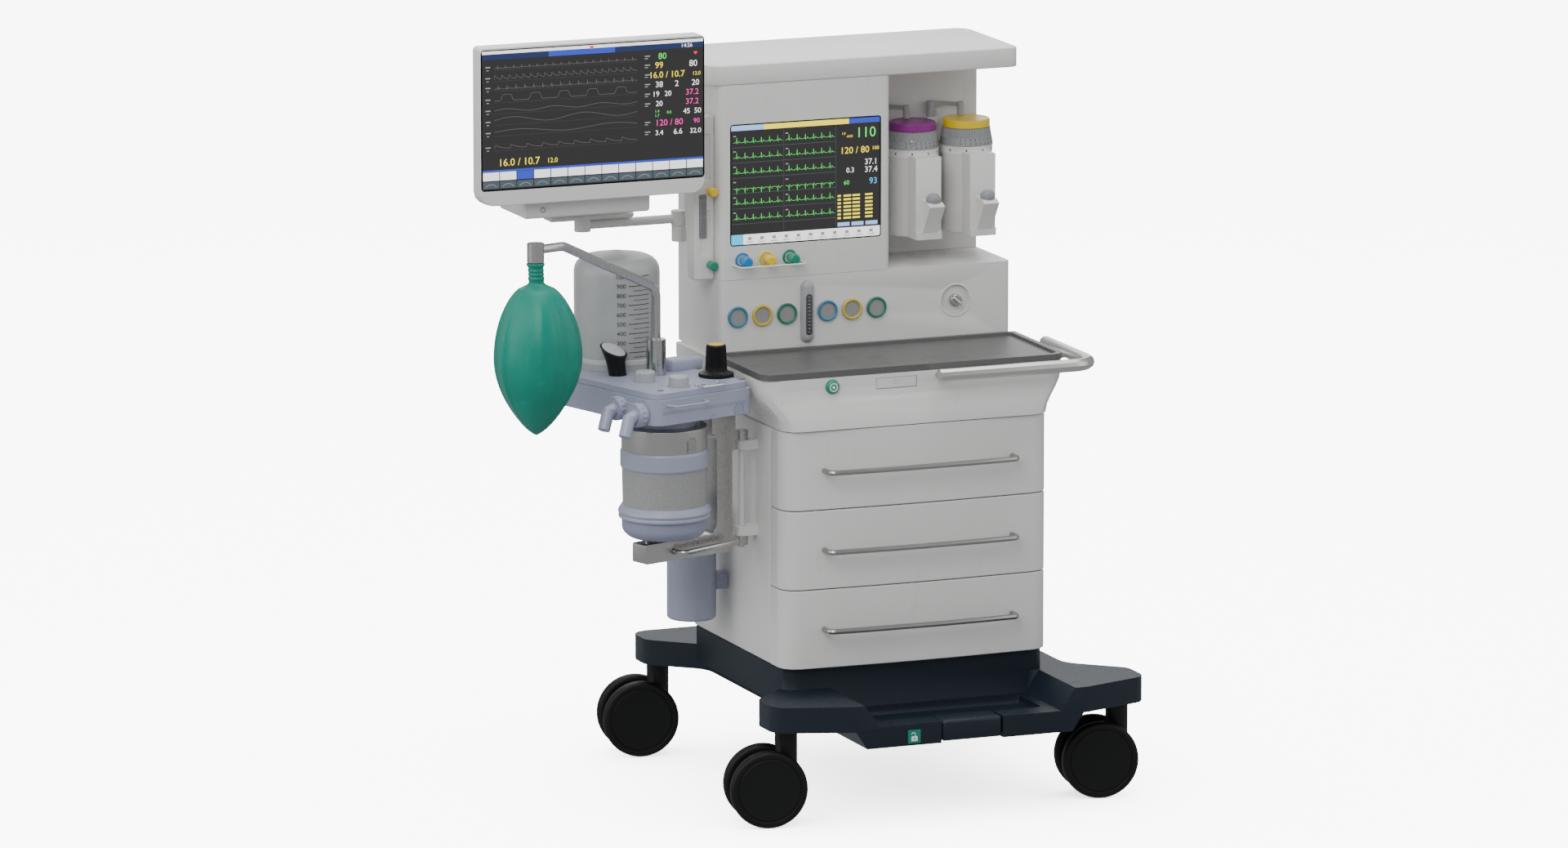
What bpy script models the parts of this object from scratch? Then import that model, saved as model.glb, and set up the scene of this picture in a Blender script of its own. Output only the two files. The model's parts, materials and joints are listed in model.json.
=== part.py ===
"""Anesthesia workstation on a four-caster trolley, in metres, +Z up, front facing -Y.

Every sub-part is its own closed solid. The sizes below drive the whole machine. The frame used while
modelling has its origin on the floor, midway between the four caster stems; at the end the machine is
moved so that the origin is the bottom centre of its bounding box.
"""

import math

import bmesh
import bpy
from mathutils import Matrix, Vector

SEAT = 0.0003  # clearance between two pieces that rest on or against each other
RUN = 0.0012  # clearance round a piece that turns or slides
REVEAL = 0.002  # visible joint between neighbouring covers
ROUND_STEPS = 20
FILLET_STEPS = 3

# Trolley base and casters
STEM_X = 0.344
STEM_Y = 0.335
WHEEL_RADIUS = 0.075
WHEEL_WIDTH = 0.026
WHEEL_SPACING = 0.070
AXLE_RADIUS = 0.008
CASTER_TRAIL = 0.040
CASTER_TURN = math.radians(-11)
FORK_THICKNESS = 0.036
STEM_RADIUS = 0.022
STEM_PIN_RADIUS = 0.010
STEM_PIN_LENGTH = 0.030
BASE_BOTTOM = 0.186
BASE_THICKNESS = 0.050
ARM_NOSE = 0.042  # from a stem's axis to the end of its arm
ARM_ROUND = 0.034
BASE_WAIST_X = 0.290
BASE_WAIST_Y = 0.205
BASE_WAIST_ROUND = 0.060
FOOTREST_FRONT = 0.425
FOOTREST_HALF_WIDTH = 0.213
FOOTREST_BOTTOM = 0.151
FOOTREST_THICKNESS = 0.042
FOOTREST_RAMP = 0.030  # run of the ramps from the arms down to the footrest
PEDAL_WIDTH = 0.125
PEDAL_CENTRE_X = 0.004
PEDAL_DEPTH = 0.060

# Cabinet and drawers
CABINET_LEFT = -0.316
CABINET_RIGHT = 0.235
CABINET_REAR = 0.215
CABINET_WALL = 0.016
DRAWER_FRONT_Y = -0.258
DRAWER_BOW = 0.008
SIDE_SEAM_Y = -0.185
CABINET_CORNER = 0.036
PLINTH_TOP = 0.2765
DRAWER_HEIGHT = 0.1545
DRAWER_COUNT = 3
DRAWER_WALL = 0.012
HANDLE_LENGTH = 0.390
HANDLE_RADIUS = 0.0055
HANDLE_REACH = 0.036
HANDLE_BOW = 0.006
HANDLE_BELOW_TOP = 0.076

# Apron, work surface and hand rail
APRON_FLARE = 0.039
APRON_CEILING = 0.007
WORKTOP_TOP = 0.853
WORKTOP_THICKNESS = 0.0125
WORKTOP_FRONT = -0.247
WORKTOP_CORNER = 0.028
WORKTOP_BORDER = 0.012
WORKTOP_RECESS = 0.006
RAIL_RADIUS = 0.0125
RAIL_REACH = 0.043  # rail axis in front of the worktop
RAIL_SIDE = 0.042  # rail axis beside the worktop
RAIL_Z = 0.837
RAIL_LEFT = -0.010
RAIL_REAR = -0.045
RAIL_BEND = 0.045
FLUSH_X = -0.213
FLUSH_Z = 0.822
FLUSH_RADIUS = 0.0135
TRAY_X = -0.080
TRAY_WIDTH = 0.082
TRAY_HEIGHT = 0.020
TRAY_Z = 0.8215
TRAY_DEPTH = 0.150

# Upper housings
BODY_LEFT = -0.340
BODY_RIGHT = 0.266
BODY_FRONT = 0.010
BODY_REAR = 0.240
BODY_CORNER = 0.012
BODY_WALL = 0.012
GAUGE_HOUSING_TOP = 0.9915
DISPLAY_HOUSING_TOP = 1.371
BAY_LEFT = 0.0135
BAY_BACK = 0.175
SHELF_THICKNESS = 0.039
SHELF_LEFT = -0.363
SHELF_RIGHT = 0.283
SHELF_REAR = 0.277
SHELF_CORNER = 0.030
GLASS_LEFT = -0.3185
GLASS_WIDTH = 0.3115
GLASS_BOTTOM = 1.0585
GLASS_HEIGHT = 0.2350
GLASS_THICKNESS = 0.004
GAUGE_XS = (-0.305, -0.254, -0.203, -0.119, -0.068, -0.017)
GAUGE_Z = 0.920
GAUGE_RADIUS = 0.021
GAUGE_PROUD = 0.004
GAUGE_STEM_RADIUS = 0.009
FLOWMETER_X = -0.161
FLOWMETER_RADIUS = 0.0135
FLOWMETER_BOTTOM = 0.860
FLOWMETER_LENGTH = 0.122
SWITCH_X = 0.150
SWITCH_Z = 0.922
SWITCH_DISH_RADIUS = 0.032
SWITCH_RADIUS = 0.012
FLOW_KNOB_XS = (-0.2945, -0.2455, -0.1965)
FLOW_KNOB_Z = 1.030
FLOW_KNOB_RADIUS = 0.0105
FLOW_KNOB_LENGTH = 0.032
GUARD_REACH = 0.040
GUARD_RADIUS = 0.0022

# Vaporizers
VAPORIZER_MIDDLE_X = 0.1548  # midway between the two vaporizers
VAPORIZER_GAP = 0.007  # between their dials
VAPORIZER_Y = 0.105
VAPORIZER_BOTTOM = 1.042
VAPORIZER_BODY_TOP = 1.2125
VAPORIZER_RADIUS = 0.0505
VAPORIZER_BLOCK_WIDTH = 0.053
VAPORIZER_BLOCK_REACH = 0.084
DIAL_OVERHANG = 0.003
DIAL_RADIUS = VAPORIZER_RADIUS + DIAL_OVERHANG
VAPORIZER_XS = {
    "left": VAPORIZER_MIDDLE_X - DIAL_RADIUS - VAPORIZER_GAP / 2,
    "right": VAPORIZER_MIDDLE_X + DIAL_RADIUS + VAPORIZER_GAP / 2,
}
DIAL_TOP_RADIUS = 0.0455
DIAL_HEIGHT = 0.049
LEVER_PIN_RADIUS = 0.0065
LEVER_PIN_HEIGHT = 0.026
LEVER_OFFSET = 0.052  # from a vaporizer's axis to its lock lever's post
LEVER_POST_DROP = 0.004

# Side flowmeter column
COLUMN_WIDTH = 0.0415
COLUMN_FRONT = 0.038
COLUMN_BOTTOM = 0.9905
COLUMN_TOP = 1.3105
SIDE_KNOB_RADIUS = 0.0085
SIDE_KNOB_LENGTH = 0.022
SIDE_KNOB_ZS = {"upper": 1.1640, "lower": 1.0202}

# Monitor and its arm
PIVOT_X = -0.385
PIVOT_Y = 0.115
ARM_Z = 1.1005
ARM_RADIUS = 0.009
ARM_SLEEVE = 0.012  # half height of the sleeves at the two ends of the arm
ARM_SLEEVE_RADIUS = 0.0145
ARM_PIN_RADIUS = 0.006
KNUCKLE_X = -0.583
MONITOR_WIDTH = 0.457
MONITOR_HEIGHT = 0.304
MONITOR_DEPTH = 0.042
MONITOR_CENTRE_X = -0.618
MONITOR_FRONT = -0.035
MONITOR_BOTTOM = 1.176
MONITOR_BOX_WIDTH = 0.258
MONITOR_BOX_DEPTH = 0.140
MONITOR_BOX_BOTTOM = 1.1405

# Breathing system, in its own frame: origin on the hinge axis, +x along its front edge
HINGE_X = -0.345
HINGE_Y = -0.110
HINGE_TURN = math.radians(17)
HINGE_PIN_RADIUS = 0.006
HINGE_BARREL_RADIUS = 0.013
HINGE_LUG_HEIGHT = 0.018
UPPER_HINGE_DROP = 0.036  # from the apron joint down to the upper knuckle
BLOCK_LEFT = -0.278
BLOCK_RIGHT = -0.043
BLOCK_FRONT = -0.086
BLOCK_REAR = 0.304
BLOCK_BOTTOM = 0.775
BLOCK_HEIGHT = 0.049
BLOCK_CORNER = 0.030
PORTS = ((-0.046, 0.794), (0.018, 0.798))
PLATE_THICKNESS = 0.012
PLATE_INSET = 0.005
DOME_X = -0.134
DOME_Y = 0.214
DOME_RADIUS = 0.0835
DOME_TOP = 1.060
DOME_WALL = 0.004
BELLOWS_RADIUS = 0.062
BELLOWS_FOLDS = 5
BELLOWS_REST_HEIGHT = 0.045
BAG_ARM_X = -0.1422
BAG_ARM_Y = 0.0827
BAG_ARM_RADIUS = 0.009
SOCKET_RADIUS = 0.019
SOCKET_HEIGHT = 0.069
BAG_REACH = 0.290
BAG_ARM_Z = 1.110
BAG_RADIUS = 0.087
BAG_BOTTOM = 0.754
BAG_TOP = 1.087
APL_X = -0.0636
APL_Y = -0.0026
APL_RADIUS = 0.035
APL_HEIGHT = 0.062
LEVER_X = -0.203
LEVER_Y = 0.124
VALVE_CAPS = ((-0.200, 0.0436), (-0.1815, -0.0356))
VALVE_CAP_RADIUS = 0.019
VALVE_CAP_HEIGHT = 0.018
CANISTER_X = -0.185
CANISTER_Y = 0.004
CANISTER_TOP = 0.757
CANISTER_RADIUS = 0.0885
CANISTER_BODY_RADIUS = 0.082
BRACKET_DEPTH = 0.041
BRACKET_LEFT = -0.247
BRACKET_INNER = -0.073
BRACKET_OUTER = -0.035
BRACKET_BOTTOM = 0.494
BRACKET_ARM = 0.038
RELEASE_X = -0.178
RELEASE_Z = 0.512
RELEASE_RADIUS = 0.0055
RELEASE_LENGTH = 0.135
SCAVENGER_X = -0.385
SCAVENGER_Y = 0.050
SCAVENGER_RADIUS = 0.048
SCAVENGER_BOTTOM = 0.328
SCAVENGER_HEIGHT = 0.230


# ------------------------------------------------------------------ scene and materials


def clear_scene():
    for item in list(bpy.data.objects):
        bpy.data.objects.remove(item, do_unlink=True)


def new_collection(name, shown=True):
    group = bpy.data.collections.new(name)
    bpy.context.scene.collection.children.link(group)
    group.hide_render = not shown
    return group


def principled(name, colour, roughness, metallic=0.0):
    made = bpy.data.materials.new(name)
    made.use_nodes = True
    shader = made.node_tree.nodes["Principled BSDF"]
    shader.inputs["Base Color"].default_value = (*colour, 1.0)
    shader.inputs["Roughness"].default_value = roughness
    shader.inputs["Metallic"].default_value = metallic
    made.diffuse_color = (*colour, 1.0)
    return made


def make_materials():
    return {
        "cover": principled("cover_white", (0.72, 0.71, 0.69), 0.45),
        "navy": principled("base_navy", (0.045, 0.075, 0.12), 0.45),
        "black": principled("black_plastic", (0.02, 0.02, 0.02), 0.5),
        "worktop": principled("worktop_grey", (0.28, 0.28, 0.28), 0.35, 0.4),
        "steel": principled("satin_steel", (0.55, 0.54, 0.52), 0.3, 1.0),
        "glass": principled("screen_glass", (0.03, 0.03, 0.035), 0.1),
        "grey": principled("grey_plastic", (0.42, 0.43, 0.44), 0.5),
        "lavender": principled("lavender_plastic", (0.38, 0.44, 0.60), 0.45),
        "teal": principled("bag_silicone", (0.01, 0.30, 0.20), 0.55),
        "frost": principled("frosted_dome", (0.50, 0.51, 0.52), 0.3),
        "granules": principled("absorber_granules", (0.50, 0.49, 0.47), 0.7),
        "blue": principled("knob_blue", (0.10, 0.33, 0.60), 0.4),
        "yellow": principled("knob_yellow", (0.85, 0.68, 0.05), 0.4),
        "green": principled("knob_green", (0.02, 0.40, 0.28), 0.4),
        "purple": principled("cap_purple", (0.35, 0.04, 0.33), 0.4),
    }


clear_scene()
PARTS = new_collection("anesthesia_machine")
TOOLS = new_collection("shaping_tools", shown=False)
MATERIALS = make_materials()


# ------------------------------------------------------------------ shape helpers


def new_object(name, mesh):
    made = bpy.data.objects.new(name, mesh)
    PARTS.objects.link(made)
    return made


def from_bmesh(name, shape):
    mesh = bpy.data.meshes.new(name)
    shape.normal_update()
    shape.to_mesh(mesh)
    shape.free()
    return new_object(name, mesh)


def box(name, low, high, bevel=0.0, steps=2):
    """A box between two corners, with its edges rounded."""
    low, high = Vector(low), Vector(high)
    shape = bmesh.new()
    bmesh.ops.create_cube(shape, size=1.0)
    bmesh.ops.scale(shape, vec=high - low, verts=shape.verts)
    bmesh.ops.translate(shape, vec=(low + high) / 2, verts=shape.verts)
    made = from_bmesh(name, shape)
    if bevel:
        soften(made, bevel, steps)
    return made


def soften(item, width, steps=2, angle=40):
    modifier = item.modifiers.new("rounded edges", "BEVEL")
    modifier.width = width
    modifier.segments = steps
    modifier.limit_method = "ANGLE"
    modifier.angle_limit = math.radians(angle)
    return item


def rod(name, start, end, radius, end_radius=None, steps=ROUND_STEPS):
    """A round bar, or a cone, between two points."""
    start, end = Vector(start), Vector(end)
    along = end - start
    shape = bmesh.new()
    bmesh.ops.create_cone(
        shape,
        cap_ends=True,
        segments=steps,
        radius1=radius,
        radius2=radius if end_radius is None else end_radius,
        depth=along.length,
    )
    turn = Vector((0, 0, 1)).rotation_difference(along.normalized()).to_matrix().to_4x4()
    bmesh.ops.transform(shape, matrix=Matrix.Translation((start + end) / 2) @ turn, verts=shape.verts)
    return from_bmesh(name, shape)


def ball(name, centre, radius, steps=16):
    shape = bmesh.new()
    bmesh.ops.create_uvsphere(shape, u_segments=steps, v_segments=steps // 2, radius=radius)
    bmesh.ops.translate(shape, vec=centre, verts=shape.verts)
    return from_bmesh(name, shape)


def baked(item):
    """The object with its modifiers applied, or its curve made a welded mesh."""
    bpy.context.view_layer.update()
    graph = bpy.context.evaluated_depsgraph_get()
    mesh = bpy.data.meshes.new_from_object(item.evaluated_get(graph))
    name, place = item.name, item.matrix_world.copy()
    bpy.data.objects.remove(item, do_unlink=True)
    shape = bmesh.new()
    shape.from_mesh(mesh)
    bmesh.ops.remove_doubles(shape, verts=shape.verts, dist=1e-6)
    shape.to_mesh(mesh)
    shape.free()
    made = new_object(name, mesh)
    made.matrix_world = place
    return made


def turned(name, profile, place=(0, 0, 0), steps=ROUND_STEPS):
    """A solid of revolution about +Z. The profile is (radius, height) from the top down."""
    shape = bmesh.new()
    ring = [shape.verts.new((radius, 0, height)) for radius, height in profile]
    for first, second in zip(ring, ring[1:]):
        shape.edges.new((first, second))
    made = from_bmesh(name, shape)
    screw = made.modifiers.new("turn", "SCREW")
    screw.steps = steps
    screw.render_steps = steps
    screw.use_merge_vertices = True
    screw.merge_threshold = 1e-6
    made = baked(made)
    made.data.transform(Matrix.Translation(place))
    return made


def rounded(corners, steps=FILLET_STEPS):
    """The outline through (x, y, radius) corners, with each corner made an arc."""
    points = []
    for index, (x, y, radius) in enumerate(corners):
        here = Vector((x, y))
        before = (Vector(corners[index - 1][:2]) - here).normalized()
        after = (Vector(corners[(index + 1) % len(corners)][:2]) - here).normalized()
        if radius <= 0:
            points.append(here)
            continue
        half = before.angle(after) / 2
        centre = here + (before + after).normalized() * radius / math.sin(half)
        start = here + before * radius / math.tan(half) - centre
        end = here + after * radius / math.tan(half) - centre
        sweep = start.angle_signed(end)
        for step in range(steps + 1):
            points.append(centre + Matrix.Rotation(-sweep * step / steps, 2) @ start)
    return points


def rounded_box_outline(left, front, right, rear, radius, steps=FILLET_STEPS):
    corners = ((left, front), (right, front), (right, rear), (left, rear))
    return rounded([(*corner, radius) for corner in corners], steps)


def slab(name, outline, low, high, axis="Z"):
    """A flat outline given thickness along an axis, as a filled 2D curve extruded to both sides."""
    curve = bpy.data.curves.new(name, "CURVE")
    curve.dimensions = "2D"
    curve.fill_mode = "BOTH"
    curve.extrude = (high - low) / 2
    spline = curve.splines.new("POLY")
    spline.points.add(len(outline) - 1)
    for point, place in zip(spline.points, outline):
        point.co = (place[0], place[1], 0, 1)
    spline.use_cyclic_u = True
    made = baked(new_object(name, curve))
    turn = {
        "Z": Matrix.Identity(4),
        "Y": Matrix(((1, 0, 0, 0), (0, 0, -1, 0), (0, 1, 0, 0), (0, 0, 0, 1))),
        "X": Matrix(((0, 0, 1, 0), (1, 0, 0, 0), (0, 1, 0, 0), (0, 0, 0, 1))),
    }[axis]
    middle = (high + low) / 2
    shift = {"Z": (0, 0, middle), "Y": (0, middle, 0), "X": (middle, 0, 0)}[axis]
    made.data.transform(Matrix.Translation(shift) @ turn)
    return made


def tube(name, points, radius, resolution=2):
    """A bent round bar through a list of points."""
    curve = bpy.data.curves.new(name, "CURVE")
    curve.dimensions = "3D"
    curve.bevel_depth = radius
    curve.bevel_resolution = resolution
    curve.use_fill_caps = True
    spline = curve.splines.new("POLY")
    spline.points.add(len(points) - 1)
    for point, place in zip(spline.points, points):
        point.co = (*place, 1)
    return baked(new_object(name, curve))


def bend(before, corner, after, radius, steps=5):
    """Points along the arc that rounds a corner between two straight runs."""
    before, corner, after = Vector(before), Vector(corner), Vector(after)
    back, ahead = (before - corner).normalized(), (after - corner).normalized()
    half = back.angle(ahead) / 2
    centre = corner + (back + ahead).normalized() * radius / math.sin(half)
    start = corner + back * radius / math.tan(half) - centre
    end = corner + ahead * radius / math.tan(half) - centre
    turn = start.rotation_difference(end)
    axis, sweep = turn.to_axis_angle()
    return [centre + Matrix.Rotation(sweep * step / steps, 3, axis) @ start for step in range(steps + 1)]


def loft(name, sections):
    """A skin through outlines of equal point count, each a list of 3D points, with both ends closed."""
    shape = bmesh.new()
    rings = [[shape.verts.new(point) for point in section] for section in sections]
    for lower, upper in zip(rings, rings[1:]):
        for index in range(len(lower)):
            after = (index + 1) % len(lower)
            shape.faces.new((lower[index], lower[after], upper[after], upper[index]))
    shape.faces.new(reversed(rings[0]))
    shape.faces.new(rings[-1])
    bmesh.ops.recalc_face_normals(shape, faces=shape.faces)
    return from_bmesh(name, shape)


def combine(target, operation, tools):
    for tool in tools:
        modifier = target.modifiers.new(tool.name, "BOOLEAN")
        modifier.operation = operation
        modifier.solver = "EXACT"
        modifier.object = tool
        PARTS.objects.unlink(tool)
        TOOLS.objects.link(tool)
        tool.hide_render = True
        tool.display_type = "WIRE"
    made = baked(target)
    for tool in tools:
        bpy.data.objects.remove(tool, do_unlink=True)
    return made


def joined(target, *tools):
    return combine(target, "UNION", tools)


def carved(target, *tools):
    return combine(target, "DIFFERENCE", tools)


FRAMES = {}


def empty_frame(name, place=(0, 0, 0), turn=0.0, parent=None):
    """An empty that its sub-parts hang from, standing on their joint's axis."""
    made = bpy.data.objects.new(name, None)
    PARTS.objects.link(made)
    made.location = place
    made.rotation_euler = (0, 0, turn)
    made.parent = parent
    FRAMES[name] = made
    return made


def finish(item, material, frame, origin=(0, 0, 0)):
    """Colours a sub-part, hangs it in its frame, and puts its own origin on its joint's axis."""
    item.data.materials.clear()
    item.data.materials.append(MATERIALS[material])
    item.data.transform(Matrix.Translation(-Vector(origin)))
    item.location = origin
    item.parent = frame
    item.data.shade_smooth()
    item.data.set_sharp_from_angle(angle=math.radians(35))
    return item


# ------------------------------------------------------------------ trolley


def make_base(machine):
    nose_x, nose_y = STEM_X + ARM_NOSE, STEM_Y + ARM_NOSE
    inner_y = STEM_Y - ARM_NOSE
    ramp_x = FOOTREST_HALF_WIDTH + FOOTREST_RAMP
    half = (
        (ramp_x, -FOOTREST_FRONT, 0.012),
        (nose_x, -nose_y, ARM_ROUND),
        (nose_x, -inner_y, ARM_ROUND),
        (BASE_WAIST_X, -BASE_WAIST_Y, BASE_WAIST_ROUND),
        (BASE_WAIST_X, BASE_WAIST_Y, BASE_WAIST_ROUND),
        (nose_x, inner_y, ARM_ROUND),
        (nose_x, nose_y, ARM_ROUND),
    )
    mirrored = [(-x, y, radius) for x, y, radius in reversed(half)]
    base_top = BASE_BOTTOM + BASE_THICKNESS
    base = slab("base_chassis", rounded([*half, *mirrored]), BASE_BOTTOM, base_top)
    soften(base, 0.007, 1, 50)
    plinth_outline = rounded(
        [
            (CABINET_LEFT + REVEAL, DRAWER_FRONT_Y + 0.010, CABINET_CORNER),
            (CABINET_RIGHT - REVEAL, DRAWER_FRONT_Y + 0.010, CABINET_CORNER),
            (CABINET_RIGHT - REVEAL, CABINET_REAR - REVEAL, 0.012),
            (CABINET_LEFT + REVEAL, CABINET_REAR - REVEAL, 0.012),
        ]
    )
    plinth = slab("plinth", plinth_outline, BASE_BOTTOM + 0.020, PLINTH_TOP)
    sill_rear = DRAWER_FRONT_Y + 0.020
    footrest_top = FOOTREST_BOTTOM + FOOTREST_THICKNESS
    sill_outline = [
        (-FOOTREST_HALF_WIDTH - FOOTREST_RAMP, BASE_BOTTOM + 0.010),
        (-FOOTREST_HALF_WIDTH, FOOTREST_BOTTOM),
        (FOOTREST_HALF_WIDTH, FOOTREST_BOTTOM),
        (FOOTREST_HALF_WIDTH + FOOTREST_RAMP, BASE_BOTTOM + 0.010),
        (FOOTREST_HALF_WIDTH + FOOTREST_RAMP, base_top - 0.010),
        (-FOOTREST_HALF_WIDTH - FOOTREST_RAMP, base_top - 0.010),
    ]
    sill = slab("sill", sill_outline, -FOOTREST_FRONT + 0.0005, sill_rear, "Y")
    well_half = FOOTREST_HALF_WIDTH - 0.024
    well_outline = [
        (-well_half, footrest_top),
        (well_half, footrest_top),
        (well_half + FOOTREST_RAMP * 1.2, base_top + 0.010),
        (-well_half - FOOTREST_RAMP * 1.2, base_top + 0.010),
    ]
    plinth_front = DRAWER_FRONT_Y + 0.012
    well = slab("well", well_outline, -FOOTREST_FRONT - 0.05, plinth_front - REVEAL, "Y")
    foot_dish = box(
        "foot_dish",
        (-well_half + 0.020, -FOOTREST_FRONT + 0.050, footrest_top - 0.016),
        (well_half - 0.020, plinth_front - 0.020, base_top),
        0.008,
        2,
    )
    pedal_slot = box(
        "pedal_slot",
        (PEDAL_CENTRE_X - PEDAL_WIDTH / 2 - RUN, -FOOTREST_FRONT - 0.02, FOOTREST_BOTTOM - 0.02),
        (
            PEDAL_CENTRE_X + PEDAL_WIDTH / 2 + RUN,
            -FOOTREST_FRONT + PEDAL_DEPTH + 2 * RUN,
            base_top,
        ),
    )
    sockets = [
        rod(
            f"socket_{x}_{y}",
            (x * STEM_X, y * STEM_Y, BASE_BOTTOM - 0.01),
            (x * STEM_X, y * STEM_Y, BASE_BOTTOM + STEM_PIN_LENGTH + RUN),
            STEM_PIN_RADIUS + RUN / 2,
            steps=12,
        )
        for x in (-1, 1)
        for y in (-1, 1)
    ]
    base = joined(base, plinth, sill)
    base = carved(base, well, foot_dish, pedal_slot, *sockets)
    finish(base, "navy", machine)


def make_pedal(machine):
    """The centre part of the front sill, which tips on a pin at its rear to set the brakes."""
    footrest_top = FOOTREST_BOTTOM + FOOTREST_THICKNESS
    axis = (PEDAL_CENTRE_X, -FOOTREST_FRONT + PEDAL_DEPTH - 0.008, FOOTREST_BOTTOM + 0.020)
    low = (PEDAL_CENTRE_X - PEDAL_WIDTH / 2, -FOOTREST_FRONT, FOOTREST_BOTTOM + 0.002)
    high = (PEDAL_CENTRE_X + PEDAL_WIDTH / 2, -FOOTREST_FRONT + PEDAL_DEPTH, footrest_top + 0.001)
    pedal = box("brake_pedal", low, high, 0.006, 2)
    finish(baked(pedal), "navy", machine, axis)


def make_caster(machine, name, x, y):
    """A swivelling fork on its stem, and a pair of wheels on one axle. Both frames sit on their axes."""
    swivel = empty_frame(f"caster_{name}", (x, y, 0), CASTER_TURN, machine)
    crown = WHEEL_RADIUS + 0.020
    stem = rod(
        f"caster_fork_{name}",
        (0, 0, crown - 0.030),
        (0, 0, BASE_BOTTOM - SEAT - 0.001),
        STEM_RADIUS,
        steps=16,
    )
    pin = rod("pin", (0, 0, crown), (0, 0, BASE_BOTTOM + STEM_PIN_LENGTH), STEM_PIN_RADIUS, steps=12)
    half = FORK_THICKNESS / 2
    web = slab(
        "web",
        rounded(
            [
                (-CASTER_TRAIL - 0.018, WHEEL_RADIUS - 0.020, 0.010),
                (-CASTER_TRAIL + 0.016, WHEEL_RADIUS - 0.022, 0.008),
                (0.020, crown - 0.022, 0.006),
                (0.020, crown + 0.030, 0.006),
                (-0.020, crown + 0.030, 0.010),
                (-CASTER_TRAIL - 0.018, WHEEL_RADIUS + 0.022, 0.012),
            ],
            3,
        ),
        -half,
        half,
        "Y",
    )
    bore = rod(
        "bore", (-CASTER_TRAIL, -half - 0.01, WHEEL_RADIUS), (-CASTER_TRAIL, half + 0.01, WHEEL_RADIUS),
        AXLE_RADIUS + RUN / 2, steps=16,
    )
    fork = carved(joined(stem, web, pin), bore)
    finish(fork, "black", swivel)

    hub = (-CASTER_TRAIL, 0, WHEEL_RADIUS)
    axle = rod(
        f"caster_wheels_{name}",
        (-CASTER_TRAIL, -WHEEL_SPACING / 2, WHEEL_RADIUS),
        (-CASTER_TRAIL, WHEEL_SPACING / 2, WHEEL_RADIUS),
        AXLE_RADIUS,
        steps=16,
    )
    tyres = []
    for side in (-1, 1):
        half_width = WHEEL_WIDTH / 2
        profile = [
            (0, half_width - 0.004),
            (WHEEL_RADIUS * 0.72, half_width - 0.004),
            (WHEEL_RADIUS * 0.80, half_width),
            (WHEEL_RADIUS - 0.004, half_width),
            (WHEEL_RADIUS, half_width - 0.004),
            (WHEEL_RADIUS, -half_width + 0.004),
            (WHEEL_RADIUS - 0.004, -half_width),
            (0, -half_width),
        ]
        tyre = turned("tyre", profile, steps=20)
        turn = Matrix.Rotation(math.radians(90 * side), 4, "X")
        place = Matrix.Translation((hub[0], -side * WHEEL_SPACING / 2, hub[2]))
        tyre.data.transform(place @ turn)
        tyres.append(tyre)
    finish(joined(axle, *tyres), "black", swivel, hub)


# ------------------------------------------------------------------ cabinet and drawers


def drawer_lines():
    """Heights of the four joints that bound the three drawers, from the plinth upwards."""
    return [PLINTH_TOP + REVEAL / 2 + DRAWER_HEIGHT * index for index in range(DRAWER_COUNT + 1)]


def front_outline(left, right, rear, inset=0.0):
    """Plan outline of a bowed front with rounded corners: the bow is a circular arc."""
    centre = (left + right) / 2
    half = (right - left) / 2 - inset
    steps = 6
    bow = []
    for step in range(1, steps):
        across = -1 + 2 * step / steps
        bow.append(
            (centre + half * across * 0.86, DRAWER_FRONT_Y + inset - DRAWER_BOW * (1 - across**2), 0)
        )
    corner = max(CABINET_CORNER - inset, 0.004)
    return rounded(
        [
            (centre - half, DRAWER_FRONT_Y + inset, corner),
            *bow,
            (centre + half, DRAWER_FRONT_Y + inset, corner),
            (centre + half, rear, 0),
            (centre - half, rear, 0),
        ]
    )


def make_cabinet(machine):
    lines = drawer_lines()
    bottom, top = PLINTH_TOP + SEAT, lines[-1] - REVEAL / 2
    body = box(
        "cabinet_body",
        (CABINET_LEFT, SIDE_SEAM_Y + REVEAL / 2, bottom),
        (CABINET_RIGHT, CABINET_REAR, top),
        0.006,
        2,
    )
    bays = [
        box(
            f"bay_{index}",
            (CABINET_LEFT + CABINET_WALL, SIDE_SEAM_Y - 0.02, lines[index] + 0.006),
            (CABINET_RIGHT - CABINET_WALL, CABINET_REAR - CABINET_WALL, lines[index + 1] - 0.006),
        )
        for index in range(DRAWER_COUNT)
    ]
    lug_reach = CABINET_LEFT - HINGE_X
    fixtures = []
    for low in hinge_lug_heights():
        plate = box(
            "lug",
            (HINGE_X, HINGE_Y - HINGE_BARREL_RADIUS, low),
            (HINGE_X + lug_reach + 0.004, HINGE_Y + HINGE_BARREL_RADIUS, low + HINGE_LUG_HEIGHT),
        )
        knuckle = rod(
            "knuckle",
            (HINGE_X, HINGE_Y, low),
            (HINGE_X, HINGE_Y, low + HINGE_LUG_HEIGHT),
            HINGE_BARREL_RADIUS,
        )
        fixtures += [plate, knuckle]
    pin = rod(
        "hinge_pin",
        (HINGE_X, HINGE_Y, BRACKET_BOTTOM),
        (HINGE_X, HINGE_Y, hinge_top()),
        HINGE_PIN_RADIUS,
        steps=16,
    )
    body = carved(body, *bays)
    body = joined(body, *fixtures, pin)
    finish(body, "cover", machine)


def bracket_knuckle_heights():
    """Lower ends of the two hinge knuckles on the breathing system's bracket."""
    return (BRACKET_BOTTOM + 0.006, drawer_lines()[-1] - UPPER_HINGE_DROP)


def hinge_lug_heights():
    """Each lug on the cabinet lies just under a knuckle of the bracket, and carries its weight."""
    lower, upper = bracket_knuckle_heights()
    return (lower + HINGE_LUG_HEIGHT + SEAT, upper - HINGE_LUG_HEIGHT - SEAT)


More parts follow.
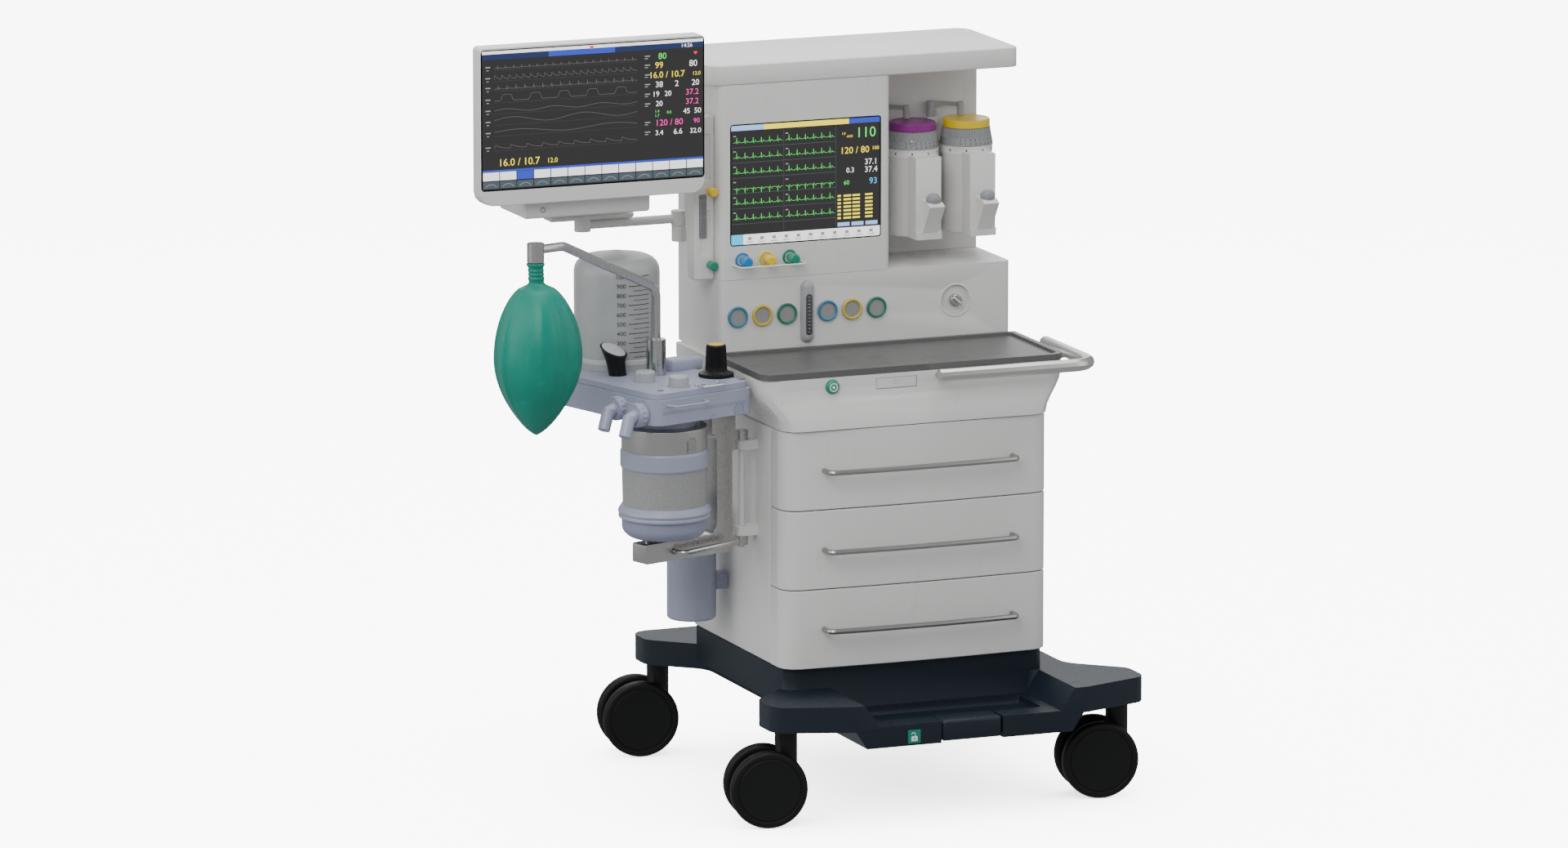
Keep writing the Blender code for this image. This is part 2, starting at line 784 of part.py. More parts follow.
def hinge_top():
    return bracket_knuckle_heights()[1] + HINGE_LUG_HEIGHT


def make_drawers(machine):
    lines = drawer_lines()
    names = ("bottom", "middle", "top")
    for index, name in enumerate(names):
        low, high = lines[index] + REVEAL / 2, lines[index + 1] - REVEAL / 2
        front = slab(
            f"drawer_{name}",
            front_outline(CABINET_LEFT, CABINET_RIGHT, SIDE_SEAM_Y - REVEAL / 2),
            low,
            high,
        )
        tray = box(
            "tray",
            (CABINET_LEFT + CABINET_WALL + RUN, SIDE_SEAM_Y - 0.01, low + 0.010),
            (
                CABINET_RIGHT - CABINET_WALL - RUN,
                CABINET_REAR - CABINET_WALL - 0.010,
                high - 0.022,
            ),
        )
        inside = CABINET_WALL + RUN + DRAWER_WALL
        hollow = box(
            "hollow",
            (CABINET_LEFT + inside, DRAWER_FRONT_Y + 0.022, low + 0.020),
            (CABINET_RIGHT - inside, CABINET_REAR - CABINET_WALL - 0.022, high + 0.01),
        )
        handle_z = high - HANDLE_BELOW_TOP
        drawer = carved(joined(front, tray), hollow)
        finish(drawer, "cover", machine)
        make_handle(machine, name, handle_z)


def make_handle(machine, name, height):
    """A bowed round bar whose ends turn back and stop against the drawer front."""
    centre = (CABINET_LEFT + CABINET_RIGHT) / 2
    half = HANDLE_LENGTH / 2
    root = DRAWER_FRONT_Y - DRAWER_BOW * 0.55 - SEAT
    front = DRAWER_FRONT_Y - HANDLE_REACH
    points = [(centre - half, root, height)]
    points += bend(points[0], (centre - half, front, height), (centre, front - 0.004, height), 0.012, 4)
    points += [
        (centre + half * across, front - HANDLE_BOW * (1 - across**2), height)
        for across in (-0.6, -0.2, 0.2, 0.6)
    ]
    points += bend(
        (centre, front - 0.004, height),
        (centre + half, front, height),
        (centre + half, root, height),
        0.012,
        4,
    )
    points += [(centre + half, root, height)]
    finish(tube(f"drawer_handle_{name}", points, HANDLE_RADIUS, 2), "steel", machine)


# ------------------------------------------------------------------ apron, worktop and rail


def flared_outline(flare, height):
    """The cabinet's plan outline pushed out sideways, as 3D points at one height."""
    left, right = CABINET_LEFT - flare, CABINET_RIGHT + flare
    front = DRAWER_FRONT_Y - DRAWER_BOW + (WORKTOP_FRONT - DRAWER_FRONT_Y + DRAWER_BOW) * flare / APRON_FLARE
    outline = rounded(
        [
            (left, front, CABINET_CORNER),
            (right, front, CABINET_CORNER),
            (right, CABINET_REAR, 0.012),
            (left, CABINET_REAR, 0.012),
        ]
    )
    return [(x, y, height) for x, y in outline]


def apron_top():
    return WORKTOP_TOP - WORKTOP_THICKNESS - SEAT


def make_apron(machine):
    """The flared cover between the drawers and the work surface; it is open underneath."""
    low, high = drawer_lines()[-1] + REVEAL / 2, apron_top()
    steps = 5
    sections = [flared_outline(0.0, low)]
    for step in range(1, steps + 1):
        share = step / steps
        flare = APRON_FLARE * (1 - math.cos(share * math.pi)) / 2
        sections.append(flared_outline(flare, low + (high - 0.022 - low) * share))
    sections.append(flared_outline(APRON_FLARE, high))
    apron = loft("apron_panel", sections)
    inside = CABINET_WALL + 0.004
    cavity = box(
        "cavity",
        (CABINET_LEFT + inside, DRAWER_FRONT_Y + 0.030, low - 0.01),
        (CABINET_RIGHT - inside, CABINET_REAR - inside, high - APRON_CEILING),
    )
    flush_bore = rod(
        "flush_bore",
        (FLUSH_X, DRAWER_FRONT_Y - 0.05, FLUSH_Z),
        (FLUSH_X, DRAWER_FRONT_Y + 0.05, FLUSH_Z),
        FLUSH_RADIUS + 0.0006,
    )
    tray_slot = box(
        "tray_slot",
        (TRAY_X - TRAY_WIDTH / 2 - RUN, DRAWER_FRONT_Y - 0.05, TRAY_Z - TRAY_HEIGHT / 2 - RUN),
        (TRAY_X + TRAY_WIDTH / 2 + RUN, DRAWER_FRONT_Y + 0.05, TRAY_Z + TRAY_HEIGHT / 2 + RUN / 2),
    )
    thumb = rod(
        "thumb",
        (TRAY_X - 0.004, DRAWER_FRONT_Y - 0.05, TRAY_Z - TRAY_HEIGHT / 2),
        (TRAY_X - 0.004, DRAWER_FRONT_Y + 0.008, TRAY_Z - TRAY_HEIGHT / 2),
        0.018,
    )
    finish(carved(apron, cavity, flush_bore, tray_slot, thumb), "cover", machine)


def apron_front(height):
    """The y of the apron's front face at a height in its upper, nearly upright part."""
    low, high = drawer_lines()[-1] + REVEAL / 2, apron_top() - 0.022
    share = min(1.0, (height - low) / (high - low))
    flare_share = (1 - math.cos(share * math.pi)) / 2
    return DRAWER_FRONT_Y - DRAWER_BOW + (WORKTOP_FRONT - DRAWER_FRONT_Y + DRAWER_BOW) * flare_share


def make_apron_fittings(machine):
    front = apron_front(FLUSH_Z)
    button = turned(
        "oxygen_flush_button",
        [
            (0, 0.008),
            (FLUSH_RADIUS - 0.003, 0.008),
            (FLUSH_RADIUS, 0.005),
            (FLUSH_RADIUS, -0.014),
            (0, -0.014),
        ],
    )
    button.data.transform(
        Matrix.Translation((FLUSH_X, front, FLUSH_Z)) @ Matrix.Rotation(math.pi / 2, 4, "X")
    )
    finish(button, "green", machine, (FLUSH_X, front, FLUSH_Z))

    face = apron_front(TRAY_Z - TRAY_HEIGHT / 2)
    tray = box(
        "note_tray",
        (TRAY_X - TRAY_WIDTH / 2, face + 0.001, TRAY_Z - TRAY_HEIGHT / 2),
        (TRAY_X + TRAY_WIDTH / 2, face + TRAY_DEPTH, TRAY_Z + TRAY_HEIGHT / 2),
    )
    well = box(
        "well",
        (TRAY_X - TRAY_WIDTH / 2 + 0.003, face + 0.005, TRAY_Z - TRAY_HEIGHT / 2 + 0.003),
        (TRAY_X + TRAY_WIDTH / 2 - 0.003, face + TRAY_DEPTH - 0.003, TRAY_Z + TRAY_HEIGHT),
    )
    finish(carved(tray, well), "cover", machine)


def make_worktop(machine):
    left, right = CABINET_LEFT - APRON_FLARE, CABINET_RIGHT + APRON_FLARE
    low = WORKTOP_TOP - WORKTOP_THICKNESS
    outline = rounded(
        [
            (left, WORKTOP_FRONT, WORKTOP_CORNER),
            (right, WORKTOP_FRONT, WORKTOP_CORNER),
            (right, BODY_FRONT - REVEAL, 0.004),
            (left, BODY_FRONT - REVEAL, 0.004),
        ]
    )
    inner = rounded(
        [
            (left + WORKTOP_BORDER, WORKTOP_FRONT + WORKTOP_BORDER, WORKTOP_CORNER - WORKTOP_BORDER),
            (right - WORKTOP_BORDER, WORKTOP_FRONT + WORKTOP_BORDER, WORKTOP_CORNER - WORKTOP_BORDER),
            (right - WORKTOP_BORDER, BODY_FRONT - WORKTOP_BORDER, 0.004),
            (left + WORKTOP_BORDER, BODY_FRONT - WORKTOP_BORDER, 0.004),
        ]
    )
    top = slab("work_surface", outline, low, WORKTOP_TOP)
    recess = slab("recess", inner, WORKTOP_TOP - WORKTOP_RECESS, WORKTOP_TOP + 0.01)
    finish(soften(carved(top, recess), 0.0015, 1, 60), "worktop", machine)


def make_rail(machine):
    """A round rail in front of the worktop and along its right side, held off the apron by three stubs."""
    right = CABINET_RIGHT + APRON_FLARE
    front_y, side_x = WORKTOP_FRONT - RAIL_REACH, right + RAIL_SIDE
    start, corner, end = (RAIL_LEFT, front_y, RAIL_Z), (side_x, front_y, RAIL_Z), (
        side_x,
        RAIL_REAR,
        RAIL_Z,
    )
    points = [start, *bend(start, corner, end, RAIL_BEND, 6), end]
    rail = tube("hand_rail", points, RAIL_RADIUS, 3)
    stub_z = RAIL_Z - 0.006
    front_root = apron_front(stub_z) - SEAT - 0.0005
    stubs = [
        rod(
            "stub_left",
            (RAIL_LEFT + 0.016, front_y, stub_z),
            (RAIL_LEFT + 0.016, front_root, stub_z),
            0.0065,
            steps=12,
        ),
        rod(
            "stub_middle",
            (side_x, -0.150, stub_z),
            (right + SEAT + 0.0002, -0.150, stub_z),
            0.0065,
            steps=12,
        ),
        rod(
            "stub_rear",
            (side_x, RAIL_REAR - 0.016, stub_z),
            (right + SEAT + 0.0002, RAIL_REAR - 0.016, stub_z),
            0.0065,
            steps=12,
        ),
    ]
    finish(joined(rail, *stubs), "steel", machine)


# ------------------------------------------------------------------ upper housings


def make_gauge_housing(machine):
    low = apron_top() + SEAT
    outline = rounded_box_outline(BODY_LEFT, BODY_FRONT, BODY_RIGHT, BODY_REAR, BODY_CORNER)
    housing = slab("gauge_housing", outline, low, GAUGE_HOUSING_TOP)
    cavity = box(
        "cavity",
        (BODY_LEFT + BODY_WALL, BODY_FRONT + BODY_WALL, low - 0.01),
        (BODY_RIGHT - BODY_WALL, BODY_REAR - BODY_WALL, GAUGE_HOUSING_TOP - 0.008),
    )
    front, inner = BODY_FRONT - 0.02, BODY_FRONT + BODY_WALL + 0.01
    bores = [
        rod(f"gauge_bore_{index}", (x, front, GAUGE_Z), (x, inner, GAUGE_Z), GAUGE_STEM_RADIUS, steps=12)
        for index, x in enumerate(GAUGE_XS)
    ]
    dish = rod(
        "dish",
        (SWITCH_X, BODY_FRONT - 0.001, SWITCH_Z),
        (SWITCH_X, BODY_FRONT + 0.005, SWITCH_Z),
        SWITCH_DISH_RADIUS,
    )
    shaft = rod("shaft", (SWITCH_X, front, SWITCH_Z), (SWITCH_X, inner, SWITCH_Z), 0.005, steps=12)
    meter_low = FLOWMETER_BOTTOM + FLOWMETER_RADIUS
    slot = slab(
        "slot",
        rounded_box_outline(
            FLOWMETER_X - 0.008,
            meter_low,
            FLOWMETER_X + 0.008,
            FLOWMETER_BOTTOM + FLOWMETER_LENGTH - FLOWMETER_RADIUS,
            0.004,
            2,
        ),
        front,
        inner,
        "Y",
    )
    finish(carved(housing, cavity, *bores, dish, shaft, slot), "cover", machine)


def make_gauges(machine):
    """Six pressure gauges on one manifold inside the housing."""
    face = BODY_FRONT
    manifold_y = face + BODY_WALL + 0.020
    manifold = box(
        "pressure_gauges",
        (GAUGE_XS[0] - 0.010, manifold_y, GAUGE_Z - 0.010),
        (GAUGE_XS[-1] + 0.010, manifold_y + 0.020, GAUGE_Z + 0.010),
    )
    gauges = []
    for x in GAUGE_XS:
        gauge = turned(
            "gauge",
            [
                (0, GAUGE_PROUD),
                (GAUGE_RADIUS, GAUGE_PROUD),
                (GAUGE_RADIUS, SEAT),
                (GAUGE_STEM_RADIUS - SEAT, SEAT),
                (GAUGE_STEM_RADIUS - SEAT, -BODY_WALL - 0.022),
                (0, -BODY_WALL - 0.022),
            ],
            steps=18,
        )
        gauge.data.transform(Matrix.Translation((x, face, GAUGE_Z)) @ Matrix.Rotation(math.pi / 2, 4, "X"))
        gauges.append(gauge)
    finish(joined(manifold, *gauges), "grey", machine)


def make_flowmeter(machine):
    """The auxiliary flow tube: a half-round capsule on the housing's face."""
    low = FLOWMETER_BOTTOM + FLOWMETER_RADIUS
    high = FLOWMETER_BOTTOM + FLOWMETER_LENGTH - FLOWMETER_RADIUS
    capsule = rod(
        "auxiliary_flowmeter",
        (FLOWMETER_X, BODY_FRONT, low),
        (FLOWMETER_X, BODY_FRONT, high),
        FLOWMETER_RADIUS,
    )
    ends = [
        ball("end", (FLOWMETER_X, BODY_FRONT, z), FLOWMETER_RADIUS * 0.9995, ROUND_STEPS) for z in (
            low,
            high,
        )
    ]
    inlet = box(
        "inlet",
        (FLOWMETER_X - 0.007, BODY_FRONT - 0.004, low + 0.012),
        (FLOWMETER_X + 0.007, BODY_FRONT + BODY_WALL + 0.004, high - 0.012),
    )
    behind = box(
        "behind",
        (FLOWMETER_X - 0.05, BODY_FRONT - SEAT, FLOWMETER_BOTTOM - 0.05),
        (FLOWMETER_X + 0.05, BODY_FRONT + 0.05, FLOWMETER_BOTTOM + FLOWMETER_LENGTH + 0.05),
    )
    capsule = carved(joined(capsule, *ends), behind)
    finish(joined(capsule, inlet), "grey", machine)


def make_power_switch(machine):
    front = BODY_FRONT + 0.005
    knob = turned(
        "power_switch",
        [
            (0, 0.012),
            (SWITCH_RADIUS - 0.002, 0.012),
            (SWITCH_RADIUS, 0.010),
            (SWITCH_RADIUS, SEAT),
            (0.0044, SEAT),
            (0.0044, -0.014),
            (0, -0.014),
        ],
    )
    knob.data.transform(
        Matrix.Translation((SWITCH_X, front, SWITCH_Z)) @ Matrix.Rotation(math.pi / 2, 4, "X")
    )
    slot = box("slot", (-0.002, -0.0035, -0.016), (0.002, 0.003, 0.016))
    slot.data.transform(
        Matrix.Translation((SWITCH_X, front - 0.012, SWITCH_Z)) @ Matrix.Rotation(math.radians(-40), 4, "Y")
    )
    finish(carved(knob, slot), "steel", machine, (SWITCH_X, front, SWITCH_Z))


def make_display_housing(machine):
    low, high = GAUGE_HOUSING_TOP + SEAT, DISPLAY_HOUSING_TOP
    outline = rounded(
        [
            (BODY_LEFT, BODY_FRONT, BODY_CORNER),
            (BAY_LEFT, BODY_FRONT, BODY_CORNER),
            (BAY_LEFT, BAY_BACK, BODY_CORNER),
            (BODY_RIGHT, BAY_BACK, BODY_CORNER / 2),
            (BODY_RIGHT, BODY_REAR, BODY_CORNER),
            (BODY_LEFT, BODY_REAR, BODY_CORNER),
        ]
    )
    housing = slab("display_housing", outline, low, high)
    cavity = box(
        "cavity",
        (BODY_LEFT + BODY_WALL, BODY_FRONT + BODY_WALL, low - 0.01),
        (BAY_LEFT - BODY_WALL, BODY_REAR - BODY_WALL, high - BODY_WALL),
    )
    rail_cavity = box(
        "rail_cavity",
        (BAY_LEFT - BODY_WALL - 0.01, BAY_BACK + BODY_WALL, low - 0.01),
        (BODY_RIGHT - BODY_WALL, BODY_REAR - BODY_WALL, high - BODY_WALL),
    )
    seat = slab(
        "seat",
        rounded_box_outline(
            GLASS_LEFT - 0.001,
            GLASS_BOTTOM - 0.001,
            GLASS_LEFT + GLASS_WIDTH + 0.001,
            GLASS_BOTTOM + GLASS_HEIGHT + 0.001,
            0.006,
            3,
        ),
        BODY_FRONT - 0.01,
        BODY_FRONT + GLASS_THICKNESS + 0.002,
        "Y",
    )
    shafts = [
        rod(
            f"shaft_{index}",
            (x, BODY_FRONT - 0.02, FLOW_KNOB_Z),
            (x, BODY_FRONT + BODY_WALL + 0.01, FLOW_KNOB_Z),
            0.004,
            steps=12,
        )
        for index, x in enumerate(FLOW_KNOB_XS)
    ]
    housing = carved(housing, cavity, rail_cavity, seat, *shafts)
    top = lever_base() - SEAT
    lugs = [
        box(
            "lug",
            (x - LEVER_OFFSET - 0.011, BAY_BACK - 0.026, top - 0.012),
            (x - LEVER_OFFSET + 0.011, BAY_BACK + 0.004, top),
        )
        for x in VAPORIZER_XS.values()
    ]
    finish(joined(housing, make_guard(), *lugs), "cover", machine)


def make_guard():
    """The wire guard in front of the flow knobs, rooted in the housing's face."""
    left, right = FLOW_KNOB_XS[0] - 0.019, FLOW_KNOB_XS[-1] + 0.019
    height = FLOW_KNOB_Z - 0.008
    root, front = BODY_FRONT + 0.004, BODY_FRONT - GUARD_REACH
    first, last = (left, root, height), (right, root, height)
    points = [
        first,
        *bend(first, (left, front, height), (right, front, height), 0.006, 3),
        *bend((left, front, height), (right, front, height), last, 0.006, 3),
        last,
    ]
    return tube("guard", points, GUARD_RADIUS, 1)


def make_display_glass(machine):
    outline = rounded_box_outline(
        GLASS_LEFT, GLASS_BOTTOM, GLASS_LEFT + GLASS_WIDTH, GLASS_BOTTOM + GLASS_HEIGHT, 0.005, 3
    )
    low = BODY_FRONT + 0.0015
    glass = slab("display_glass", outline, low, low + GLASS_THICKNESS, "Y")
    finish(glass, "glass", machine)


def make_flow_knobs(machine):
    for x, name in zip(FLOW_KNOB_XS, ("blue", "yellow", "green")):
        knob = turned(
            f"flow_knob_{name}",
            [
                (0, FLOW_KNOB_LENGTH),
                (FLOW_KNOB_RADIUS - 0.002, FLOW_KNOB_LENGTH),
                (FLOW_KNOB_RADIUS, FLOW_KNOB_LENGTH - 0.003),
                (FLOW_KNOB_RADIUS, 0.012),
                (FLOW_KNOB_RADIUS - 0.003, 0.010),
                (FLOW_KNOB_RADIUS - 0.003, SEAT),
                (0.0034, SEAT),
                (0.0034, -BODY_WALL),
                (0, -BODY_WALL),
            ],
            steps=20,
        )
        place = (x, BODY_FRONT, FLOW_KNOB_Z)
        knob.data.transform(Matrix.Translation(place) @ Matrix.Rotation(math.pi / 2, 4, "X"))
        finish(knob, name, machine, place)


def make_shelf(machine):
    outline = rounded(
        [
            (SHELF_LEFT, BODY_FRONT - 0.001, SHELF_CORNER),
            (SHELF_RIGHT, BODY_FRONT - 0.001, SHELF_CORNER * 0.6),
            (SHELF_RIGHT, SHELF_REAR, SHELF_CORNER),
            (SHELF_LEFT, SHELF_REAR, SHELF_CORNER),
        ]
    )
    low = DISPLAY_HOUSING_TOP + SEAT
    finish(soften(slab("top_shelf", outline, low, low + SHELF_THICKNESS), 0.005, 2, 60), "cover", machine)


# ------------------------------------------------------------------ vaporizers


def make_vaporizer(machine, side, colour):
    x, y = VAPORIZER_XS[side], VAPORIZER_Y
    ring_top = VAPORIZER_BODY_TOP
    body = turned(
        f"vaporizer_body_{side}",
        [
            (0, ring_top),
            (DIAL_RADIUS - 0.001, ring_top),
            (DIAL_RADIUS - 0.002, ring_top - 0.007),
            (VAPORIZER_RADIUS, ring_top - 0.010),
            (VAPORIZER_RADIUS, VAPORIZER_BOTTOM + 0.003),
            (VAPORIZER_RADIUS - 0.003, VAPORIZER_BOTTOM),
            (0, VAPORIZER_BOTTOM),
        ],
        (x, y, 0),
        24,
    )
    half = VAPORIZER_BLOCK_WIDTH / 2
    front = y - VAPORIZER_BLOCK_REACH
    block_top = ring_top - 0.0095
    block = box("block", (x - half, front, VAPORIZER_BOTTOM + 0.001), (x + half, y - 0.004, block_top))
    spout_low, spout_high = VAPORIZER_BOTTOM + 0.014, VAPORIZER_BOTTOM + 0.076
    spout = slab(
        "spout",
        [
            (front + 0.004, spout_low),
            (front - 0.004, spout_low),
            (front - 0.040, spout_high - 0.006),
            (front - 0.030, spout_high),
            (front + 0.004, spout_high + 0.004),
        ],
        x - 0.014,
        x + 0.018,
        "X",
    )
    foot = box(
        "foot",
        (x - half, front - 0.004, VAPORIZER_BOTTOM + 0.001),
        (x + half, front + 0.004, VAPORIZER_BOTTOM + 0.016),
    )
    cap = rod(
        "cap",
        (x + 0.002, front - 0.018, spout_high - 0.006),
        (x + 0.002, front - 0.020, spout_high + 0.010),
        0.0125,
        0.0115,
        16,
    )
    mount = box(
        "mount",
        (x - 0.024, y, VAPORIZER_BOTTOM + 0.030),
        (x + 0.024, BAY_BACK - SEAT, ring_top - 0.040),
    )
    body = joined(body, block, spout, foot, cap, mount)
    finish(body, "cover", machine)

    low = ring_top + SEAT
    dial = turned(
        f"vaporizer_dial_{side}",
        [
            (0, low + DIAL_HEIGHT),
            (DIAL_TOP_RADIUS - 0.002, low + DIAL_HEIGHT),
            (DIAL_TOP_RADIUS, low + DIAL_HEIGHT - 0.002),
            (DIAL_TOP_RADIUS + 0.003, low + DIAL_HEIGHT - 0.017),
            (DIAL_RADIUS, low + 0.003),
            (DIAL_RADIUS - 0.002, low),
            (0, low),
        ],
        (x, y, 0),
        24,
    )
    finish(dial, colour, machine, (x, y, 0))
    make_lock_lever(machine, side, x)


def lever_base():
    """Height of the lock levers' posts' lower ends."""
    return VAPORIZER_BODY_TOP + SEAT + DIAL_HEIGHT + RUN - LEVER_POST_DROP


def make_lock_lever(machine, side, x):
    """A flat bar on a post at the bay's back wall, with a pin that holds the dial down."""
    low = lever_base() + LEVER_POST_DROP
    pin_y = VAPORIZER_Y + 0.029
    pivot = (x - LEVER_OFFSET, BAY_BACK - 0.014, low)
    high = low + LEVER_PIN_HEIGHT
    pin = rod(f"vaporizer_lock_lever_{side}", (x, pin_y, low), (x, pin_y, high), LEVER_PIN_RADIUS, steps=16)
    arc = []
    for offset in (0.009, -0.003):
        row = [
            (
                x - LEVER_OFFSET * share,
                pin_y + offset + (pivot[1] - pin_y) * share + 0.010 * math.sin(math.pi * share),
            )
            for share in (0, 0.2, 0.4, 0.6, 0.8, 1)
        ]
        arc += row if offset > 0 else list(reversed(row))
    bar = slab("bar", arc, high - 0.010, high - 0.002)
    post = rod("post", (pivot[0], pivot[1], lever_base()), (pivot[0], pivot[1], high), 0.008, steps=16)
    finish(joined(pin, bar, post), "grey", machine, pivot)


# ------------------------------------------------------------------ side column, arm and monitor


def make_column(machine):
    right = BODY_LEFT - SEAT
    outline = [
        (COLUMN_FRONT, COLUMN_BOTTOM),
        (COLUMN_FRONT + 0.034, COLUMN_BOTTOM),
        (COLUMN_FRONT + 0.056, COLUMN_BOTTOM + 0.145),
        (COLUMN_FRONT + 0.040, COLUMN_TOP),
        (COLUMN_FRONT, COLUMN_TOP),
    ]
    column = slab("side_flowmeter_column", outline, right - COLUMN_WIDTH, right, "X")
    bores = [
        rod(
            f"knob_bore_{name}",
            (side_knob_x(), COLUMN_FRONT - 0.01, z),
            (side_knob_x(), COLUMN_FRONT + 0.014, z),
            0.0036,
            steps=12,
        )
        for name, z in SIDE_KNOB_ZS.items()
    ]
    window = box(
        "window",
        (right - 0.031, COLUMN_FRONT - 0.01, 1.038),
        (right - 0.009, COLUMN_FRONT + 0.003, 1.128),
    )
    upper_window = box(
        "upper_window",
        (right - 0.031, COLUMN_FRONT - 0.01, 1.185),
        (right - 0.009, COLUMN_FRONT + 0.003, 1.275),
    )
    finish(carved(soften(column, 0.003, 1), *bores, window, upper_window), "cover", machine)


def side_knob_x():
    return BODY_LEFT - SIDE_KNOB_RADIUS - RUN


def make_side_knobs(machine):
    for name, z in SIDE_KNOB_ZS.items():
        knob = turned(
            f"side_knob_{name}",
            [
                (0, SIDE_KNOB_LENGTH),
                (SIDE_KNOB_RADIUS - 0.001, SIDE_KNOB_LENGTH),
                (SIDE_KNOB_RADIUS, SIDE_KNOB_LENGTH - 0.001),
                (SIDE_KNOB_RADIUS, SEAT),
                (0.0030, SEAT),
                (0.0030, -0.010),
                (0, -0.010),
            ],
            steps=16,
        )
        place = (side_knob_x(), COLUMN_FRONT, z)
        knob.data.transform(Matrix.Translation(place) @ Matrix.Rotation(math.pi / 2, 4, "X"))
        finish(knob, {"upper": "yellow", "lower": "green"}[name], machine, place)


def make_arm_clamp(machine):
    """The clamp on the housing's side, with the pin on which the monitor arm swings."""
    right = BODY_LEFT - SEAT
    plate = box(
        "monitor_arm_clamp",
        (right - 0.006, PIVOT_Y - 0.020, ARM_Z - 0.050),
        (right, PIVOT_Y + 0.030, ARM_Z + 0.020),
    )
    block = box(
        "block",
        (PIVOT_X, PIVOT_Y - 0.012, ARM_Z - 0.044),
        (right - 0.003, PIVOT_Y + 0.012, ARM_Z - ARM_SLEEVE - SEAT),
    )
    post = rod(
        "post",
        (PIVOT_X, PIVOT_Y, ARM_Z - 0.044),
        (PIVOT_X, PIVOT_Y, ARM_Z - ARM_SLEEVE - SEAT),
        0.0135,
        steps=20,
    )
    pin = rod(
        "pin",
        (PIVOT_X, PIVOT_Y, ARM_Z - 0.040),
        (PIVOT_X, PIVOT_Y, ARM_Z + ARM_SLEEVE - 0.002),
        ARM_PIN_RADIUS,
        steps=16,
    )
    finish(joined(plate, block, post, pin), "cover", machine)


def make_arm(machine):
    swing = empty_frame("monitor_arm_swing", (PIVOT_X, PIVOT_Y, 0), 0, machine)
    reach = KNUCKLE_X - PIVOT_X
    sleeve = rod(
        "monitor_arm",
        (0, 0, ARM_Z - ARM_SLEEVE),
        (0, 0, ARM_Z + ARM_SLEEVE + 0.004),
        ARM_SLEEVE_RADIUS,
    )
    bar = rod("bar", (-0.008, 0, ARM_Z), (reach + 0.008, 0, ARM_Z), ARM_RADIUS, steps=16)
    end = rod("end", (reach, 0, ARM_Z - ARM_SLEEVE), (reach, 0, ARM_Z + ARM_SLEEVE), 0.016)
    bore = rod("bore", (0, 0, ARM_Z - 0.03), (0, 0, ARM_Z + ARM_SLEEVE - 0.001), 0.0066, steps=16)
    end_bore = rod("end_bore", (reach, 0, ARM_Z - 0.03), (reach, 0, ARM_Z + 0.03), 0.0066, steps=16)
    finish(carved(joined(sleeve, bar, end), bore, end_bore), "cover", swing)

    swivel = empty_frame("monitor_swivel", (reach, 0, 0), 0, swing)
    plate_low = ARM_Z + ARM_SLEEVE + 0.0005
    plate = box(
        "monitor_swivel_plate",
        (-0.074, -0.022, plate_low),
        (0.099, 0.022, plate_low + 0.010),
        0.003,
        1,
    )
    pin = rod("pin", (0, 0, ARM_Z - ARM_SLEEVE), (0, 0, plate_low + 0.004), ARM_PIN_RADIUS, steps=16)
    ears = [
        slab(
            f"ear_{side}",
            rounded(
                [
                    (-0.009, plate_low + 0.004, 0),
                    (0.009, plate_low + 0.004, 0),
                    (0.009, tilt_z() + 0.0045, 0.005),
                    (-0.009, tilt_z() + 0.0045, 0.005),
                ],
                3,
            ),
            side * 0.030 - 0.004,
            side * 0.030 + 0.004,
            "X",
        )
        for side in (-1, 1)
    ]
    finish(joined(baked(plate), pin, *ears), "cover", swivel)
    return swivel


def tilt_z():
    return MONITOR_BOX_BOTTOM - 0.0085


def make_monitor(swivel):
    """The patient monitor: its housing and electronics box, tilting on a barrel between two ears."""
    tilt = empty_frame("monitor_tilt", (0, 0, tilt_z()), 0, swivel)
    centre_x = MONITOR_CENTRE_X - KNUCKLE_X
    front_y = MONITOR_FRONT - PIVOT_Y
    low = MONITOR_BOTTOM - tilt_z()
    half = MONITOR_WIDTH / 2
    outline = rounded(
        [
            (centre_x - half, low, 0.024),
            (centre_x + half, low, 0.024),
            (centre_x + half, low + MONITOR_HEIGHT, 0.008),
            (centre_x - half, low + MONITOR_HEIGHT, 0.008),
        ]
    )
    housing = soften(slab("monitor_housing", outline, front_y, front_y + MONITOR_DEPTH, "Y"), 0.003, 1, 60)
    box_low = MONITOR_BOX_BOTTOM - tilt_z()
    box_front = front_y + MONITOR_DEPTH - 0.012
    electronics = box(
        "electronics",
        (centre_x - MONITOR_BOX_WIDTH / 2, box_front, box_low),
        (centre_x + MONITOR_BOX_WIDTH / 2, box_front + MONITOR_BOX_DEPTH, low + 0.120),
        0.006,
        2,
    )
    seat = slab(
        "seat",
        rounded_box_outline(
            centre_x - half + 0.0015,
            low + 0.030,
            centre_x + half - 0.0015,
            low + MONITOR_HEIGHT - 0.004,
            0.006,
            3,
        ),
        front_y - 0.01,
        front_y + 0.003,
        "Y",
    )
    barrel = rod("barrel", (-0.0255, 0, 0), (0.0255, 0, 0), 0.0075, steps=16)
    web = box("web", (-0.0255, -0.006, -0.002), (0.0255, 0.006, box_low + 0.004))
    housing = carved(joined(housing, electronics, barrel, web), seat)
    finish(housing, "cover", tilt)
    glass = slab(
        "monitor_glass",
        rounded_box_outline(
            centre_x - half + 0.0025,
            low + 0.031,
            centre_x + half - 0.0025,
            low + MONITOR_HEIGHT - 0.005,
            0.005,
            3,
        ),
        front_y + 0.0002,
        front_y + 0.0002 + 0.0025,
        "Y",
    )
    finish(glass, "glass", tilt)


